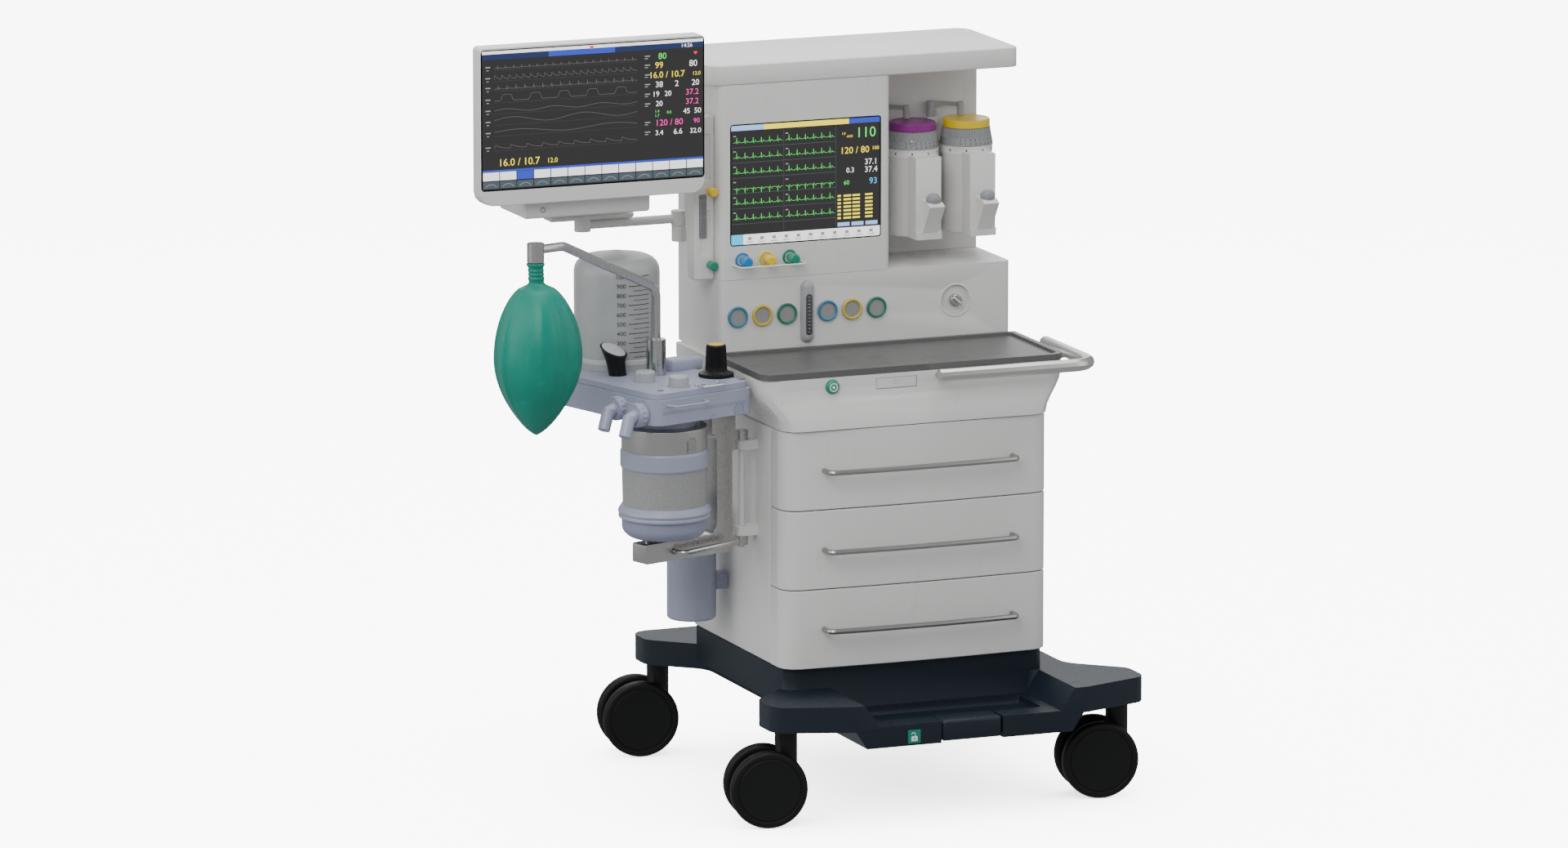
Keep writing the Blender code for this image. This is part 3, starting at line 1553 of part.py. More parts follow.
# ------------------------------------------------------------------ breathing system


def plate_top():
    return BLOCK_BOTTOM + BLOCK_HEIGHT + SEAT + PLATE_THICKNESS


def block_outline(inset):
    return rounded(
        [
            (BLOCK_LEFT + inset, BLOCK_FRONT + inset, BLOCK_CORNER - inset),
            (BLOCK_RIGHT - inset, BLOCK_FRONT + inset, 0.010),
            (BLOCK_RIGHT - inset, BLOCK_REAR - inset, 0.020),
            (BLOCK_LEFT + inset, BLOCK_REAR - inset, BLOCK_CORNER - inset),
        ],
        6,
    )


def make_block(frame):
    top = BLOCK_BOTTOM + BLOCK_HEIGHT
    block = slab("breathing_block", block_outline(0.0), BLOCK_BOTTOM, top)
    neck_ring = rod(
        "neck_ring",
        (CANISTER_X, CANISTER_Y, CANISTER_TOP + SEAT),
        (CANISTER_X, CANISTER_Y, BLOCK_BOTTOM + 0.005),
        0.062,
    )
    front = BLOCK_FRONT - 0.024
    bail_z = BLOCK_BOTTOM + BLOCK_HEIGHT - 0.010
    first, last = (-0.250, BLOCK_FRONT + 0.010, bail_z), (-0.158, BLOCK_FRONT + 0.010, bail_z)
    bail = tube(
        "bail",
        [
            first,
            *bend(first, (-0.244, front, bail_z), (-0.166, front, bail_z), 0.006, 3),
            *bend((-0.244, front, bail_z), (-0.166, front, bail_z), last, 0.006, 3),
            last,
        ],
        0.0022,
        1,
    )
    block = joined(soften(block, 0.003, 1, 60), neck_ring, bail, *port_pieces())
    finish(block, "lavender", frame)


def make_top_plate(frame):
    """The cover plate, with its two check-valve caps, the dome's seat ring and the gas outlet box."""
    low = BLOCK_BOTTOM + BLOCK_HEIGHT + SEAT
    plate = soften(slab("breathing_top_plate", block_outline(PLATE_INSET), low, plate_top()), 0.003, 1, 60)
    caps = [
        turned(
            "cap",
            [
                (0, VALVE_CAP_HEIGHT),
                (VALVE_CAP_RADIUS - 0.003, VALVE_CAP_HEIGHT),
                (VALVE_CAP_RADIUS - 0.001, VALVE_CAP_HEIGHT - 0.002),
                (VALVE_CAP_RADIUS, 0.0),
                (VALVE_CAP_RADIUS, -0.004),
                (0, -0.004),
            ],
            (x, y, plate_top()),
            20,
        )
        for x, y in VALVE_CAPS
    ]
    outlet = box(
        "outlet",
        (-0.104, 0.080, plate_top() - 0.004),
        (-0.028, 0.122, plate_top() + 0.022),
        0.006,
        2,
    )
    arm_bore = rod(
        "arm_bore",
        (BAG_ARM_X, BAG_ARM_Y, plate_top() - 0.008),
        (BAG_ARM_X, BAG_ARM_Y, plate_top() + 0.02),
        BAG_ARM_RADIUS + RUN / 2,
        steps=20,
    )
    lever_bore = rod(
        "lever_bore",
        (LEVER_X, LEVER_Y, plate_top() - 0.008),
        (LEVER_X, LEVER_Y, plate_top() + 0.02),
        0.0066,
        steps=16,
    )
    apl_bore = rod(
        "apl_bore",
        (APL_X, APL_Y, plate_top() - 0.008),
        (APL_X, APL_Y, plate_top() + 0.02),
        0.0086,
        steps=16,
    )
    plate = joined(baked(plate), *caps, outlet)
    finish(carved(plate, arm_bore, lever_bore, apl_bore), "lavender", frame)


def make_dome(frame):
    """The bellows housing, an inverted cup on a seat ring, with the bellows and its plate inside."""
    low = plate_top() + SEAT
    inner = DOME_RADIUS - DOME_WALL
    arc = 5
    shoulder = 0.032
    outer_arc = [
        (
            DOME_RADIUS - shoulder + shoulder * math.sin(math.pi / 2 * step / arc),
            DOME_TOP - 0.010 - shoulder + shoulder * math.cos(math.pi / 2 * step / arc),
        )
        for step in range(arc + 1)
    ]
    inner_arc = [
        (
            inner - shoulder + shoulder * math.sin(math.pi / 2 * step / arc),
            DOME_TOP - 0.014 - shoulder + shoulder * math.cos(math.pi / 2 * step / arc),
        )
        for step in range(arc, -1, -1)
    ]
    profile = [
        (0, DOME_TOP),
        *outer_arc,
        (DOME_RADIUS, low + 0.013),
        (DOME_RADIUS + 0.004, low + 0.013),
        (DOME_RADIUS + 0.004, low),
        (inner, low),
        *inner_arc,
        (0, DOME_TOP - DOME_WALL),
    ]
    finish(turned("bellows_dome", profile, (DOME_X, DOME_Y, 0), 24), "frost", frame)

    bellows_low, bellows_high = low, bellows_plate_z() - SEAT
    fold = (bellows_high - bellows_low) / BELLOWS_FOLDS
    ripple = [(0, bellows_high)]
    for index in range(BELLOWS_FOLDS):
        top = bellows_high - fold * index
        ripple += [(BELLOWS_RADIUS - 0.010, top), (BELLOWS_RADIUS, top - fold / 2)]
    ripple += [(BELLOWS_RADIUS - 0.010, bellows_low), (0, bellows_low)]
    finish(
        turned("bellows", ripple, (DOME_X, DOME_Y, 0), 20),
        "black",
        frame,
        (DOME_X, DOME_Y, bellows_low),
    )
    plate = rod(
        "bellows_plate",
        (DOME_X, DOME_Y, bellows_plate_z()),
        (DOME_X, DOME_Y, bellows_plate_z() + 0.006),
        BELLOWS_RADIUS + 0.004,
    )
    finish(plate, "grey", frame, (DOME_X, DOME_Y, bellows_plate_z()))


def bellows_plate_z():
    return plate_top() + SEAT + BELLOWS_REST_HEIGHT


def make_bag_arm(frame):
    """The swivelling bag arm with its socket sleeve and bag connector, and the breathing bag."""
    swing = empty_frame("bag_arm_swing", (BAG_ARM_X, BAG_ARM_Y, 0), 0, frame)
    low = plate_top() + SEAT
    socket = rod("bag_arm", (0, 0, low), (0, 0, low + SOCKET_HEIGHT), SOCKET_RADIUS)
    pivot = rod("pivot", (0, 0, low - 0.006), (0, 0, low + 0.01), BAG_ARM_RADIUS, steps=20)
    rise, knee = (0, 0, 1.005), (-BAG_REACH + 0.066, 0, BAG_ARM_Z)
    foot, end = (0, 0, low + SOCKET_HEIGHT - 0.01), (-BAG_REACH, 0, BAG_ARM_Z)
    path = [foot, *bend(foot, rise, knee, 0.030), *bend(rise, knee, end, 0.030, 3), end]
    pipe = tube("pipe", path, BAG_ARM_RADIUS, 3)
    connector = rod(
        "connector", (-BAG_REACH, 0, BAG_TOP + SEAT), (-BAG_REACH, 0, BAG_TOP + 0.036), 0.0165
    )
    finish(joined(socket, pivot, pipe, connector), "steel", swing)

    height = BAG_TOP - BAG_BOTTOM
    neck = 0.0125
    profile = [(0, BAG_TOP), (neck, BAG_TOP), (neck + 0.0015, BAG_TOP - 0.020), (neck, BAG_TOP - 0.032)]
    steps = 11
    body_top = BAG_TOP - 0.036
    body = body_top - BAG_BOTTOM
    for step in range(1, steps):
        share = step / steps
        swell = math.sin(math.pi * share) ** 0.55
        profile.append((BAG_RADIUS * max(swell, neck / BAG_RADIUS), body_top - body * share))
    profile.append((0, BAG_TOP - height))
    bag = turned("breathing_bag", profile, (-BAG_REACH, 0, 0), 24)
    finish(bag, "teal", swing)


def make_apl_valve(frame):
    base = plate_top() + SEAT
    neck = APL_RADIUS * 0.66
    knob = turned(
        "apl_valve_knob",
        [
            (0, base + APL_HEIGHT),
            (neck - 0.002, base + APL_HEIGHT),
            (neck, base + APL_HEIGHT - 0.002),
            (neck + 0.001, base + 0.020),
            (APL_RADIUS - 0.002, base + 0.012),
            (APL_RADIUS, base + 0.010),
            (APL_RADIUS, base),
            (0.008, base),
            (0.008, base - 0.006),
            (0, base - 0.006),
        ],
        (APL_X, APL_Y, 0),
        20,
    )
    finish(knob, "black", frame, (APL_X, APL_Y, 0))


def make_selector(frame):
    """The bag or ventilator lever: a round foot that flares into a long, slanted head."""
    base = plate_top() + SEAT
    sections = []
    steps = 6
    for step in range(steps + 1):
        share = step / steps
        long_half = 0.0175 + 0.013 * share**1.5
        short_half = 0.0165 - 0.004 * share
        lean = -0.010 * share
        lift, slant = 0.050 * share, 0.22 * share
        ring = []
        for index in range(16):
            angle = 2 * math.pi * index / 16
            along = long_half * math.cos(angle)
            ring.append(
                (
                    LEVER_X + lean + along,
                    LEVER_Y + short_half * math.sin(angle),
                    base + lift - slant * along,
                )
            )
        sections.append(ring)
    lever = loft("bag_vent_lever", sections)
    pivot = rod(
        "pivot",
        (LEVER_X, LEVER_Y, base - 0.006),
        (LEVER_X, LEVER_Y, base + 0.004),
        0.006,
        steps=16,
    )
    finish(joined(lever, pivot), "black", frame, (LEVER_X, LEVER_Y, 0))


def port_pieces():
    """The two hose ports: ringed collars with elbows, on one manifold plate at the block's left face."""
    face = BLOCK_LEFT
    pieces = [box("manifold", (face - 0.006, -0.054, 0.781), (face + 0.004, 0.034, 0.812))]
    for y, z in PORTS:
        pieces.append(rod("collar", (face, y, z), (face - 0.020, y, z), 0.022))
        pieces.append(
            rod("neck", (face - 0.014, y, z), (face - 0.040, y - 0.006, z - 0.006), 0.013, 0.012, 16)
        )
        pieces.append(
            rod(
                "spigot",
                (face - 0.034, y - 0.004, z),
                (face - 0.052, y - 0.012, z - 0.036),
                0.0125,
                0.012,
                16,
            )
        )
    return pieces


def make_canister(frame):
    top = CANISTER_TOP
    profile = [
        (0, top),
        (CANISTER_RADIUS - 0.005, top),
        (CANISTER_RADIUS, top - 0.005),
        (CANISTER_RADIUS, top - 0.060),
        (CANISTER_BODY_RADIUS, top - 0.061),
        (CANISTER_BODY_RADIUS, top - 0.134),
        (CANISTER_RADIUS + 0.001, top - 0.136),
        (CANISTER_RADIUS + 0.001, top - 0.145),
        (CANISTER_RADIUS - 0.004, top - 0.150),
        (CANISTER_RADIUS - 0.004, top - 0.166),
        (CANISTER_RADIUS - 0.012, top - 0.184),
        (CANISTER_RADIUS - 0.034, top - 0.198),
        (0.018, top - 0.204),
        (0.016, BRACKET_BOTTOM + BRACKET_ARM + 0.002),
        (0, BRACKET_BOTTOM + BRACKET_ARM + 0.002),
    ]
    finish(
        turned("absorber_canister", profile, (CANISTER_X, CANISTER_Y, 0), 24),
        "granules",
        frame,
        (CANISTER_X, CANISTER_Y, 0),
    )


def make_bracket(frame):
    """The C-shaped steel bracket under the block and the canister, which turns on the cabinet's hinge."""
    front, rear = CANISTER_Y - BRACKET_DEPTH / 2, CANISTER_Y + BRACKET_DEPTH / 2
    arm_top = BRACKET_BOTTOM + BRACKET_ARM
    top = BLOCK_BOTTOM - SEAT
    outline = rounded(
        [
            (BRACKET_LEFT, BRACKET_BOTTOM, 0.004),
            (BRACKET_OUTER, BRACKET_BOTTOM, 0.004),
            (BRACKET_OUTER, 0.690, 0),
            (BRACKET_OUTER + 0.008, 0.690, 0.003),
            (BRACKET_OUTER + 0.008, top, 0.003),
            (BRACKET_INNER - 0.012, top, 0.003),
            (BRACKET_INNER - 0.012, 0.726, 0.004),
            (BRACKET_INNER, 0.726, 0.010),
            (BRACKET_INNER, arm_top, 0.020),
            (BRACKET_LEFT, arm_top, 0.004),
        ]
    )
    arm = soften(slab("absorber_bracket", outline, front, rear, "Y"), 0.004, 1, 60)
    extras = []
    for low in bracket_knuckle_heights():
        extras.append(
            box(
                "web",
                (BRACKET_OUTER - 0.006, CANISTER_Y - 0.010, low),
                (0, CANISTER_Y + 0.006, low + HINGE_LUG_HEIGHT),
            )
        )
        extras.append(rod("knuckle", (0, 0, low), (0, 0, low + HINGE_LUG_HEIGHT), HINGE_BARREL_RADIUS))
    for x in (CANISTER_X - 0.050, CANISTER_X + 0.033):
        extras.append(
            rod(
                "locating_pin",
                (x, CANISTER_Y - 0.008, arm_top - 0.004),
                (x, CANISTER_Y - 0.008, arm_top + 0.014),
                0.0025,
                steps=10,
            )
        )
    bore = rod(
        "bore",
        (0, 0, BRACKET_BOTTOM - 0.01),
        (0, 0, hinge_top() + 0.01),
        HINGE_PIN_RADIUS + 0.0006,
        steps=16,
    )
    handle_bore = rod(
        "handle_bore",
        (RELEASE_X, front - 0.01, RELEASE_Z),
        (RELEASE_X, front + 0.022, RELEASE_Z),
        RELEASE_RADIUS + 0.0006,
        steps=16,
    )
    bracket = joined(arm, *extras)
    finish(carved(bracket, bore, handle_bore), "steel", frame)

    root = (RELEASE_X, front + 0.020, RELEASE_Z)
    corner = (RELEASE_X, front - 0.026, RELEASE_Z)
    end = (RELEASE_X + RELEASE_LENGTH, front - 0.026, RELEASE_Z + 0.006)
    handle = tube(
        "canister_release_handle",
        [root, *bend(root, corner, end, 0.016), end],
        RELEASE_RADIUS,
        2,
    )
    finish(handle, "steel", frame, root)


def make_scavenger(machine):
    """The scavenging reservoir on the cabinet's left side, clipped to the panel."""
    cylinder = turned(
        "scavenging_reservoir",
        [
            (0, SCAVENGER_BOTTOM + SCAVENGER_HEIGHT),
            (SCAVENGER_RADIUS - 0.004, SCAVENGER_BOTTOM + SCAVENGER_HEIGHT),
            (SCAVENGER_RADIUS, SCAVENGER_BOTTOM + SCAVENGER_HEIGHT - 0.004),
            (SCAVENGER_RADIUS, SCAVENGER_BOTTOM + 0.004),
            (SCAVENGER_RADIUS - 0.004, SCAVENGER_BOTTOM),
            (0, SCAVENGER_BOTTOM),
        ],
        (SCAVENGER_X, SCAVENGER_Y, 0),
        28,
    )
    clips = [
        box(
            "clip",
            (SCAVENGER_X + SCAVENGER_RADIUS - 0.014, SCAVENGER_Y - 0.020, z),
            (CABINET_LEFT - SEAT, SCAVENGER_Y + 0.020, z + 0.030),
        )
        for z in (SCAVENGER_BOTTOM + 0.056, SCAVENGER_BOTTOM + SCAVENGER_HEIGHT - 0.060)
    ]
    finish(joined(cylinder, *clips), "lavender", machine)


# ------------------------------------------------------------------ inner modules


def make_ventilator(machine):
    """The ventilator and gas mixer, on the cabinet's top under the worktop."""
    floor = drawer_lines()[-1] - REVEAL / 2 + SEAT
    inside = CABINET_WALL + 0.010
    ventilator = box(
        "ventilator_module",
        (CABINET_LEFT + inside, -0.060, floor),
        (CABINET_LEFT + 0.300, CABINET_REAR - inside, apron_top() - 0.014),
        0.004,
        1,
    )
    finish(baked(ventilator), "grey", machine)


# ------------------------------------------------------------------ assembly


def settle_on_origin(machine):
    """Moves the machine so that the bottom centre of its bounding box is the origin."""
    bpy.context.view_layer.update()
    graph = bpy.context.evaluated_depsgraph_get()
    corners = []
    for item in PARTS.objects:
        if item.type == "MESH":
            shown = item.evaluated_get(graph)
            corners += [shown.matrix_world @ Vector(corner) for corner in shown.bound_box]
    low = [min(corner[axis] for corner in corners) for axis in range(3)]
    high = [max(corner[axis] for corner in corners) for axis in range(3)]
    machine.location = (-(low[0] + high[0]) / 2, -(low[1] + high[1]) / 2, -low[2])


def main():
    machine = empty_frame("machine")
    make_base(machine)
    make_pedal(machine)
    for name, x, y in (("fl", -1, -1), ("fr", 1, -1), ("rl", -1, 1), ("rr", 1, 1)):
        make_caster(machine, name, x * STEM_X, y * STEM_Y)
    make_cabinet(machine)
    make_drawers(machine)
    make_apron(machine)
    make_apron_fittings(machine)
    make_worktop(machine)
    make_rail(machine)
    make_gauge_housing(machine)
    make_gauges(machine)
    make_flowmeter(machine)
    make_power_switch(machine)
    make_display_housing(machine)
    make_display_glass(machine)
    make_flow_knobs(machine)
    make_shelf(machine)
    make_vaporizer(machine, "left", "purple")
    make_vaporizer(machine, "right", "yellow")
    make_column(machine)
    make_side_knobs(machine)
    make_arm_clamp(machine)
    swivel = make_arm(machine)
    make_monitor(swivel)
    breathing = empty_frame("breathing_system", (HINGE_X, HINGE_Y, 0), HINGE_TURN, machine)
    make_block(breathing)
    make_top_plate(breathing)
    make_dome(breathing)
    make_bag_arm(breathing)
    make_apl_valve(breathing)
    make_selector(breathing)
    make_canister(breathing)
    make_bracket(breathing)
    make_scavenger(machine)
    make_ventilator(machine)
    settle_on_origin(machine)


if __name__ == "__main__":
    main()
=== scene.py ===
"""Finishes and fine shapes of a hospital anesthesia workstation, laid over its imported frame.

Each sub-assembly is a class: its sizes are fields, and its methods build the meshes and dress them.
Lengths are in metres, +Z is up and the front faces -Y.
"""

import json
import logging
import math
from dataclasses import dataclass, field
from enum import Enum
from typing import Callable, Sequence

import bmesh
import bpy
import numpy as np
from mathutils import Matrix, Vector
from mathutils.bvhtree import BVHTree


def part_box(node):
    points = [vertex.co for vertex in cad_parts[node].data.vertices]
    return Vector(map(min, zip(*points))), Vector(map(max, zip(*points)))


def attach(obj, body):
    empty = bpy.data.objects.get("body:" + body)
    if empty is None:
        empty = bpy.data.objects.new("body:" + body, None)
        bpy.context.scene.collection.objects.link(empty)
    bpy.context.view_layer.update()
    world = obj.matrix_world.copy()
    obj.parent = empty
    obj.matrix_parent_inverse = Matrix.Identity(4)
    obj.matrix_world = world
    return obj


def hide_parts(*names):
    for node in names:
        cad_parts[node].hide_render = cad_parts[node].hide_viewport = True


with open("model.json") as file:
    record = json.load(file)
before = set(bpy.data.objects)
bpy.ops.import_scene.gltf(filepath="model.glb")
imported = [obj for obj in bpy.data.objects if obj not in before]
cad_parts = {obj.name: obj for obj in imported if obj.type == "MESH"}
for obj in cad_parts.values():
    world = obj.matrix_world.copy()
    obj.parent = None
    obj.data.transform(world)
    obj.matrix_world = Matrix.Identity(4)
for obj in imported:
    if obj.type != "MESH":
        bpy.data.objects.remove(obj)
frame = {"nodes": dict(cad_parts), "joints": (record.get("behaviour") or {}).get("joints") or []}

log = logging.getLogger("workstation")

Colour = tuple[float, float, float]
Array = np.ndarray
TAU = 2 * math.pi


class Slot(Enum):
    """Material slots of the record that a piece can take its finish from."""

    COVER = "cover_white"
    NAVY = "base_navy"
    BLACK = "black_plastic"
    WORKTOP = "worktop_grey"
    STEEL = "satin_steel"
    GLASS = "screen_glass"
    GREY = "grey_plastic"
    LAVENDER = "lavender_plastic"
    SILICONE = "bag_silicone"
    FROST = "frosted_dome"
    GRANULES = "absorber_granules"
    BLUE = "knob_blue"
    YELLOW = "knob_yellow"
    GREEN = "knob_green"
    PURPLE = "cap_purple"


class Along(Enum):
    """Direction in which a metal was brushed."""

    X = (0.04, 1.0, 1.0)
    Y = (1.0, 0.04, 1.0)
    Z = (1.0, 1.0, 0.04)


# ------------------------------------------------------------------ shading


class Wire:
    """An output of a material's node, with arithmetic that adds Math nodes."""

    def __init__(self, shading: "Shading", socket: bpy.types.NodeSocket) -> None:
        """Keeps the socket and the material it belongs to."""
        self.shading = shading
        self.socket = socket

    def math(self, operation: str, *values: "float | Wire") -> "Wire":
        """Applies a Math operation.

        Args:
            operation: Blender's name of the operation.
            values: The operands, in the order of the node's sockets.

        Returns:
            The result.
        """
        made = self.shading.node("ShaderNodeMath", {"operation": operation}, dict(enumerate(values)))
        return Wire(self.shading, made.outputs[0])

    def __add__(self, other: "float | Wire") -> "Wire":
        """Sum."""
        return self.math("ADD", self, other)

    __radd__ = __add__

    def __mul__(self, other: "float | Wire") -> "Wire":
        """Product."""
        return self.math("MULTIPLY", self, other)

    __rmul__ = __mul__

    def __sub__(self, other: "float | Wire") -> "Wire":
        """Difference."""
        return self.math("SUBTRACT", self, other)

    def __rsub__(self, other: "float | Wire") -> "Wire":
        """Difference from a number."""
        return self.math("SUBTRACT", other, self)

    def __pow__(self, other: "float | Wire") -> "Wire":
        """Power."""
        return self.math("POWER", self, other)

    def step(self, low: float, high: float) -> "Wire":
        """Rises smoothly from 0 at low to 1 at high.

        Args:
            low: Value below which it is 0.
            high: Value above which it is 1.

        Returns:
            The socket of the step.
        """
        made = self.shading.node(
            "ShaderNodeMapRange",
            {"interpolation_type": "SMOOTHSTEP"},
            {"Value": self, "From Min": low, "From Max": high},
        )
        return Wire(self.shading, made.outputs[0])


class Shading:
    """A material that is being wired."""

    def __init__(self, name: str) -> None:
        """Starts a material with a Principled shader."""
        self.material = bpy.data.materials.new(name)
        self.material.use_nodes = True
        self.tree = self.material.node_tree
        self.shader = self.tree.nodes["Principled BSDF"]
        self.place = Wire(self, self.node("ShaderNodeTexCoord", {}, {}).outputs["Object"])

    def node(self, kind: str, settings: dict, inputs: dict) -> bpy.types.Node:
        """Adds one node.

        Args:
            kind: The node's type.
            settings: Its properties, set before its sockets; "stops" are a ramp's (place, colour) pairs.
            inputs: A value or a Wire for each socket, by name or number.

        Returns:
            The node.
        """
        made = self.tree.nodes.new(kind)
        for key, value in settings.items():
            if key != "stops":
                setattr(made, key, value)
                continue
            ramp = made.color_ramp
            while len(ramp.elements) < len(value):
                ramp.elements.new(1.0)
            for element, (place, colour) in zip(ramp.elements, value):
                element.position = place
                element.color = (*colour, 1.0)
        for key, value in inputs.items():
            if isinstance(value, Wire):
                self.tree.links.new(value.socket, made.inputs[key])
            else:
                made.inputs[key].default_value = value
        return made

    def noise(self, scale: float, detail: float = 3.0, stretch: Colour = (1.0, 1.0, 1.0)) -> Wire:
        """Fractal noise of the object's own coordinates.

        Args:
            scale: Features to the metre.
            detail: Octaves.
            stretch: Scale along each axis, below 1 to draw the features out.

        Returns:
            The value, from 0 to 1.
        """
        mapped = self.node("ShaderNodeMapping", {}, {"Vector": self.place, "Scale": stretch})
        made = self.node(
            "ShaderNodeTexNoise",
            {},
            {"Vector": Wire(self, mapped.outputs[0]), "Scale": scale, "Detail": detail},
        )
        return Wire(self, made.outputs["Fac"])

    def cells(self, scale: float, feature: str = "F1") -> tuple[Wire, Wire]:
        """Distance to, and colour of, the nearest of scattered cells.

        Args:
            scale: Cells to the metre.
            feature: Which distance.

        Returns:
            The two sockets.
        """
        made = self.node(
            "ShaderNodeTexVoronoi", {"feature": feature}, {"Vector": self.place, "Scale": scale}
        )
        return Wire(self, made.outputs["Distance"]), Wire(self, made.outputs["Color"])

    def mix(self, factor: Wire, low: "Colour | Wire", high: "Colour | Wire") -> Wire:
        """Blends two colours.

        Args:
            factor: 0 gives low and 1 gives high.
            low: A colour.
            high: Another.

        Returns:
            The blended colour.
        """
        ends = [value if isinstance(value, Wire) else (*value, 1.0) for value in (low, high)]
        made = self.node("ShaderNodeMix", {"data_type": "RGBA"}, {0: factor, 6: ends[0], 7: ends[1]})
        return Wire(self, made.outputs[2])

    def bump(self, height: Wire, depth: float, strength: float = 1.0) -> None:
        """Turns a height from 0 to 1, times depth in metres, into the surface's relief."""
        made = self.node("ShaderNodeBump", {}, {"Height": height, "Distance": depth, "Strength": strength})
        self.feed("Normal", Wire(self, made.outputs[0]))

    def feed(self, socket: str, value: "float | Colour | Wire") -> None:
        """Sets or links one input of the shader.

        Args:
            socket: Name of the input.
            value: A constant to set, or a socket to link.
        """
        if isinstance(value, Wire):
            self.tree.links.new(value.socket, self.shader.inputs[socket])
        elif isinstance(value, tuple):
            self.shader.inputs[socket].default_value = (*value, 1.0)
        else:
            self.shader.inputs[socket].default_value = value


def shade(colour: Colour, factor: float) -> Colour:
    """The colour made darker or lighter by a factor."""
    return tuple(min(1.0, channel * factor) for channel in colour)


@dataclass(frozen=True)
class Moulded:
    """Moulded or powder-coated skin: a pebbled grain, faint mottling and scattered fine scuffs."""

    colour: Colour
    roughness: float = 0.42
    grain: float = 900.0
    depth: float = 0.00010
    mottle: float = 0.05
    coat: float = 0.0
    shine: float = 0.5

    def make(self, name: str) -> bpy.types.Material:
        """Wires the finish."""
        work = Shading(name)
        broad = work.noise(7.0, 4.0)
        pebbles = work.noise(self.grain, 2.0)
        scuffs = work.noise(60.0, 6.0, (1.0, 1.0, 0.15)).step(0.63, 0.72)
        tone = work.mix(broad, shade(self.colour, 1 - self.mottle), shade(self.colour, 1 + self.mottle))
        work.feed("Base Color", work.mix(scuffs * 0.35, tone, shade(self.colour, 0.88)))
        work.feed("Roughness", self.roughness + 0.10 * (broad - 0.5) + 0.08 * scuffs)
        work.feed("Coat Weight", self.coat)
        work.feed("Coat Roughness", 0.2)
        work.feed("Specular IOR Level", self.shine)
        work.bump(pebbles, self.depth, 0.6)
        return work.material


@dataclass(frozen=True)
class Cast:
    """Textured enamel on a casting: coarse orange peel, and the enamel rubbed paler here and there."""

    colour: Colour
    rubbed: Colour
    roughness: float = 0.5

    def make(self, name: str) -> bpy.types.Material:
        """Wires the finish."""
        work = Shading(name)
        broad = work.noise(9.0, 5.0)
        peel = work.noise(420.0, 2.0)
        specks = work.noise(1500.0, 1.0).step(0.55, 0.72)
        worn = work.noise(26.0, 8.0).step(0.60, 0.78)
        tone = work.mix(broad, shade(self.colour, 0.88), shade(self.colour, 1.14))
        speckled = work.mix(specks * 0.25, tone, shade(self.colour, 1.5))
        work.feed("Base Color", work.mix(worn * 0.25, speckled, self.rubbed))
        work.feed("Roughness", self.roughness + 0.14 * (peel - 0.5) + 0.10 * worn)
        work.feed("Specular IOR Level", 0.32)
        work.bump(peel + 0.4 * specks, 0.00018, 0.7)
        return work.material


@dataclass(frozen=True)
class Brushed:
    """Brushed metal: long fine lines, with smudges that dull it."""

    colour: Colour
    roughness: float = 0.28
    lines: float = 1400.0
    along: Along = Along.X
    metallic: float = 1.0

    def make(self, name: str) -> bpy.types.Material:
        """Wires the finish."""
        work = Shading(name)
        fine = work.noise(self.lines, 3.0, self.along.value)
        smudge = work.noise(22.0, 4.0)
        work.feed("Base Color", work.mix(fine, shade(self.colour, 0.90), shade(self.colour, 1.08)))
        work.feed("Metallic", self.metallic)
        work.feed("Roughness", self.roughness + 0.12 * (fine - 0.5) + 0.14 * smudge.step(0.5, 0.8))
        work.bump(fine, 0.00003, 0.5)
        return work.material


@dataclass(frozen=True)
class Sheen:
    """Thin flexible silicone: mottled thickness, a dusting of powder and minute puckers."""

    colour: Colour
    dusty: Colour
    roughness: float = 0.46

    def make(self, name: str) -> bpy.types.Material:
        """Wires the finish."""
        work = Shading(name)
        broad = work.noise(16.0, 5.0)
        puckers = work.noise(130.0, 4.0, (1.0, 1.0, 0.3))
        powder = work.noise(48.0, 8.0).step(0.52, 0.80)
        tone = work.mix(broad, shade(self.colour, 0.78), shade(self.colour, 1.18))
        work.feed("Base Color", work.mix(powder * 0.30, tone, self.dusty))
        work.feed("Roughness", self.roughness + 0.16 * (powder - 0.3))
        work.feed("Specular IOR Level", 0.35)
        work.bump(puckers, 0.0006, 0.5)
        return work.material


@dataclass(frozen=True)
class Granules:
    """Packed absorber granules seen through a clear wall."""

    colour: Colour

    def make(self, name: str) -> bpy.types.Material:
        """Wires the finish: each grain has its own tone, with painted shade in the gaps between grains."""
        work = Shading(name)
        near, tone = work.cells(620.0)
        shaded_gaps = near.step(0.25, 0.62)
        grey = work.node("ShaderNodeSeparateColor", {}, {"Color": tone})
        grains = work.mix(Wire(work, grey.outputs[0]), shade(self.colour, 0.88), shade(self.colour, 1.12))
        # Painted shade: the gaps between grains take a darker copy of the grain colour.
        work.feed("Base Color", work.mix(shaded_gaps, grains, shade(self.colour, 0.78)))
        work.feed("Roughness", 0.32)
        work.feed("Coat Weight", 0.5)
        work.bump(1 - shaded_gaps, 0.0004, 0.4)
        return work.material


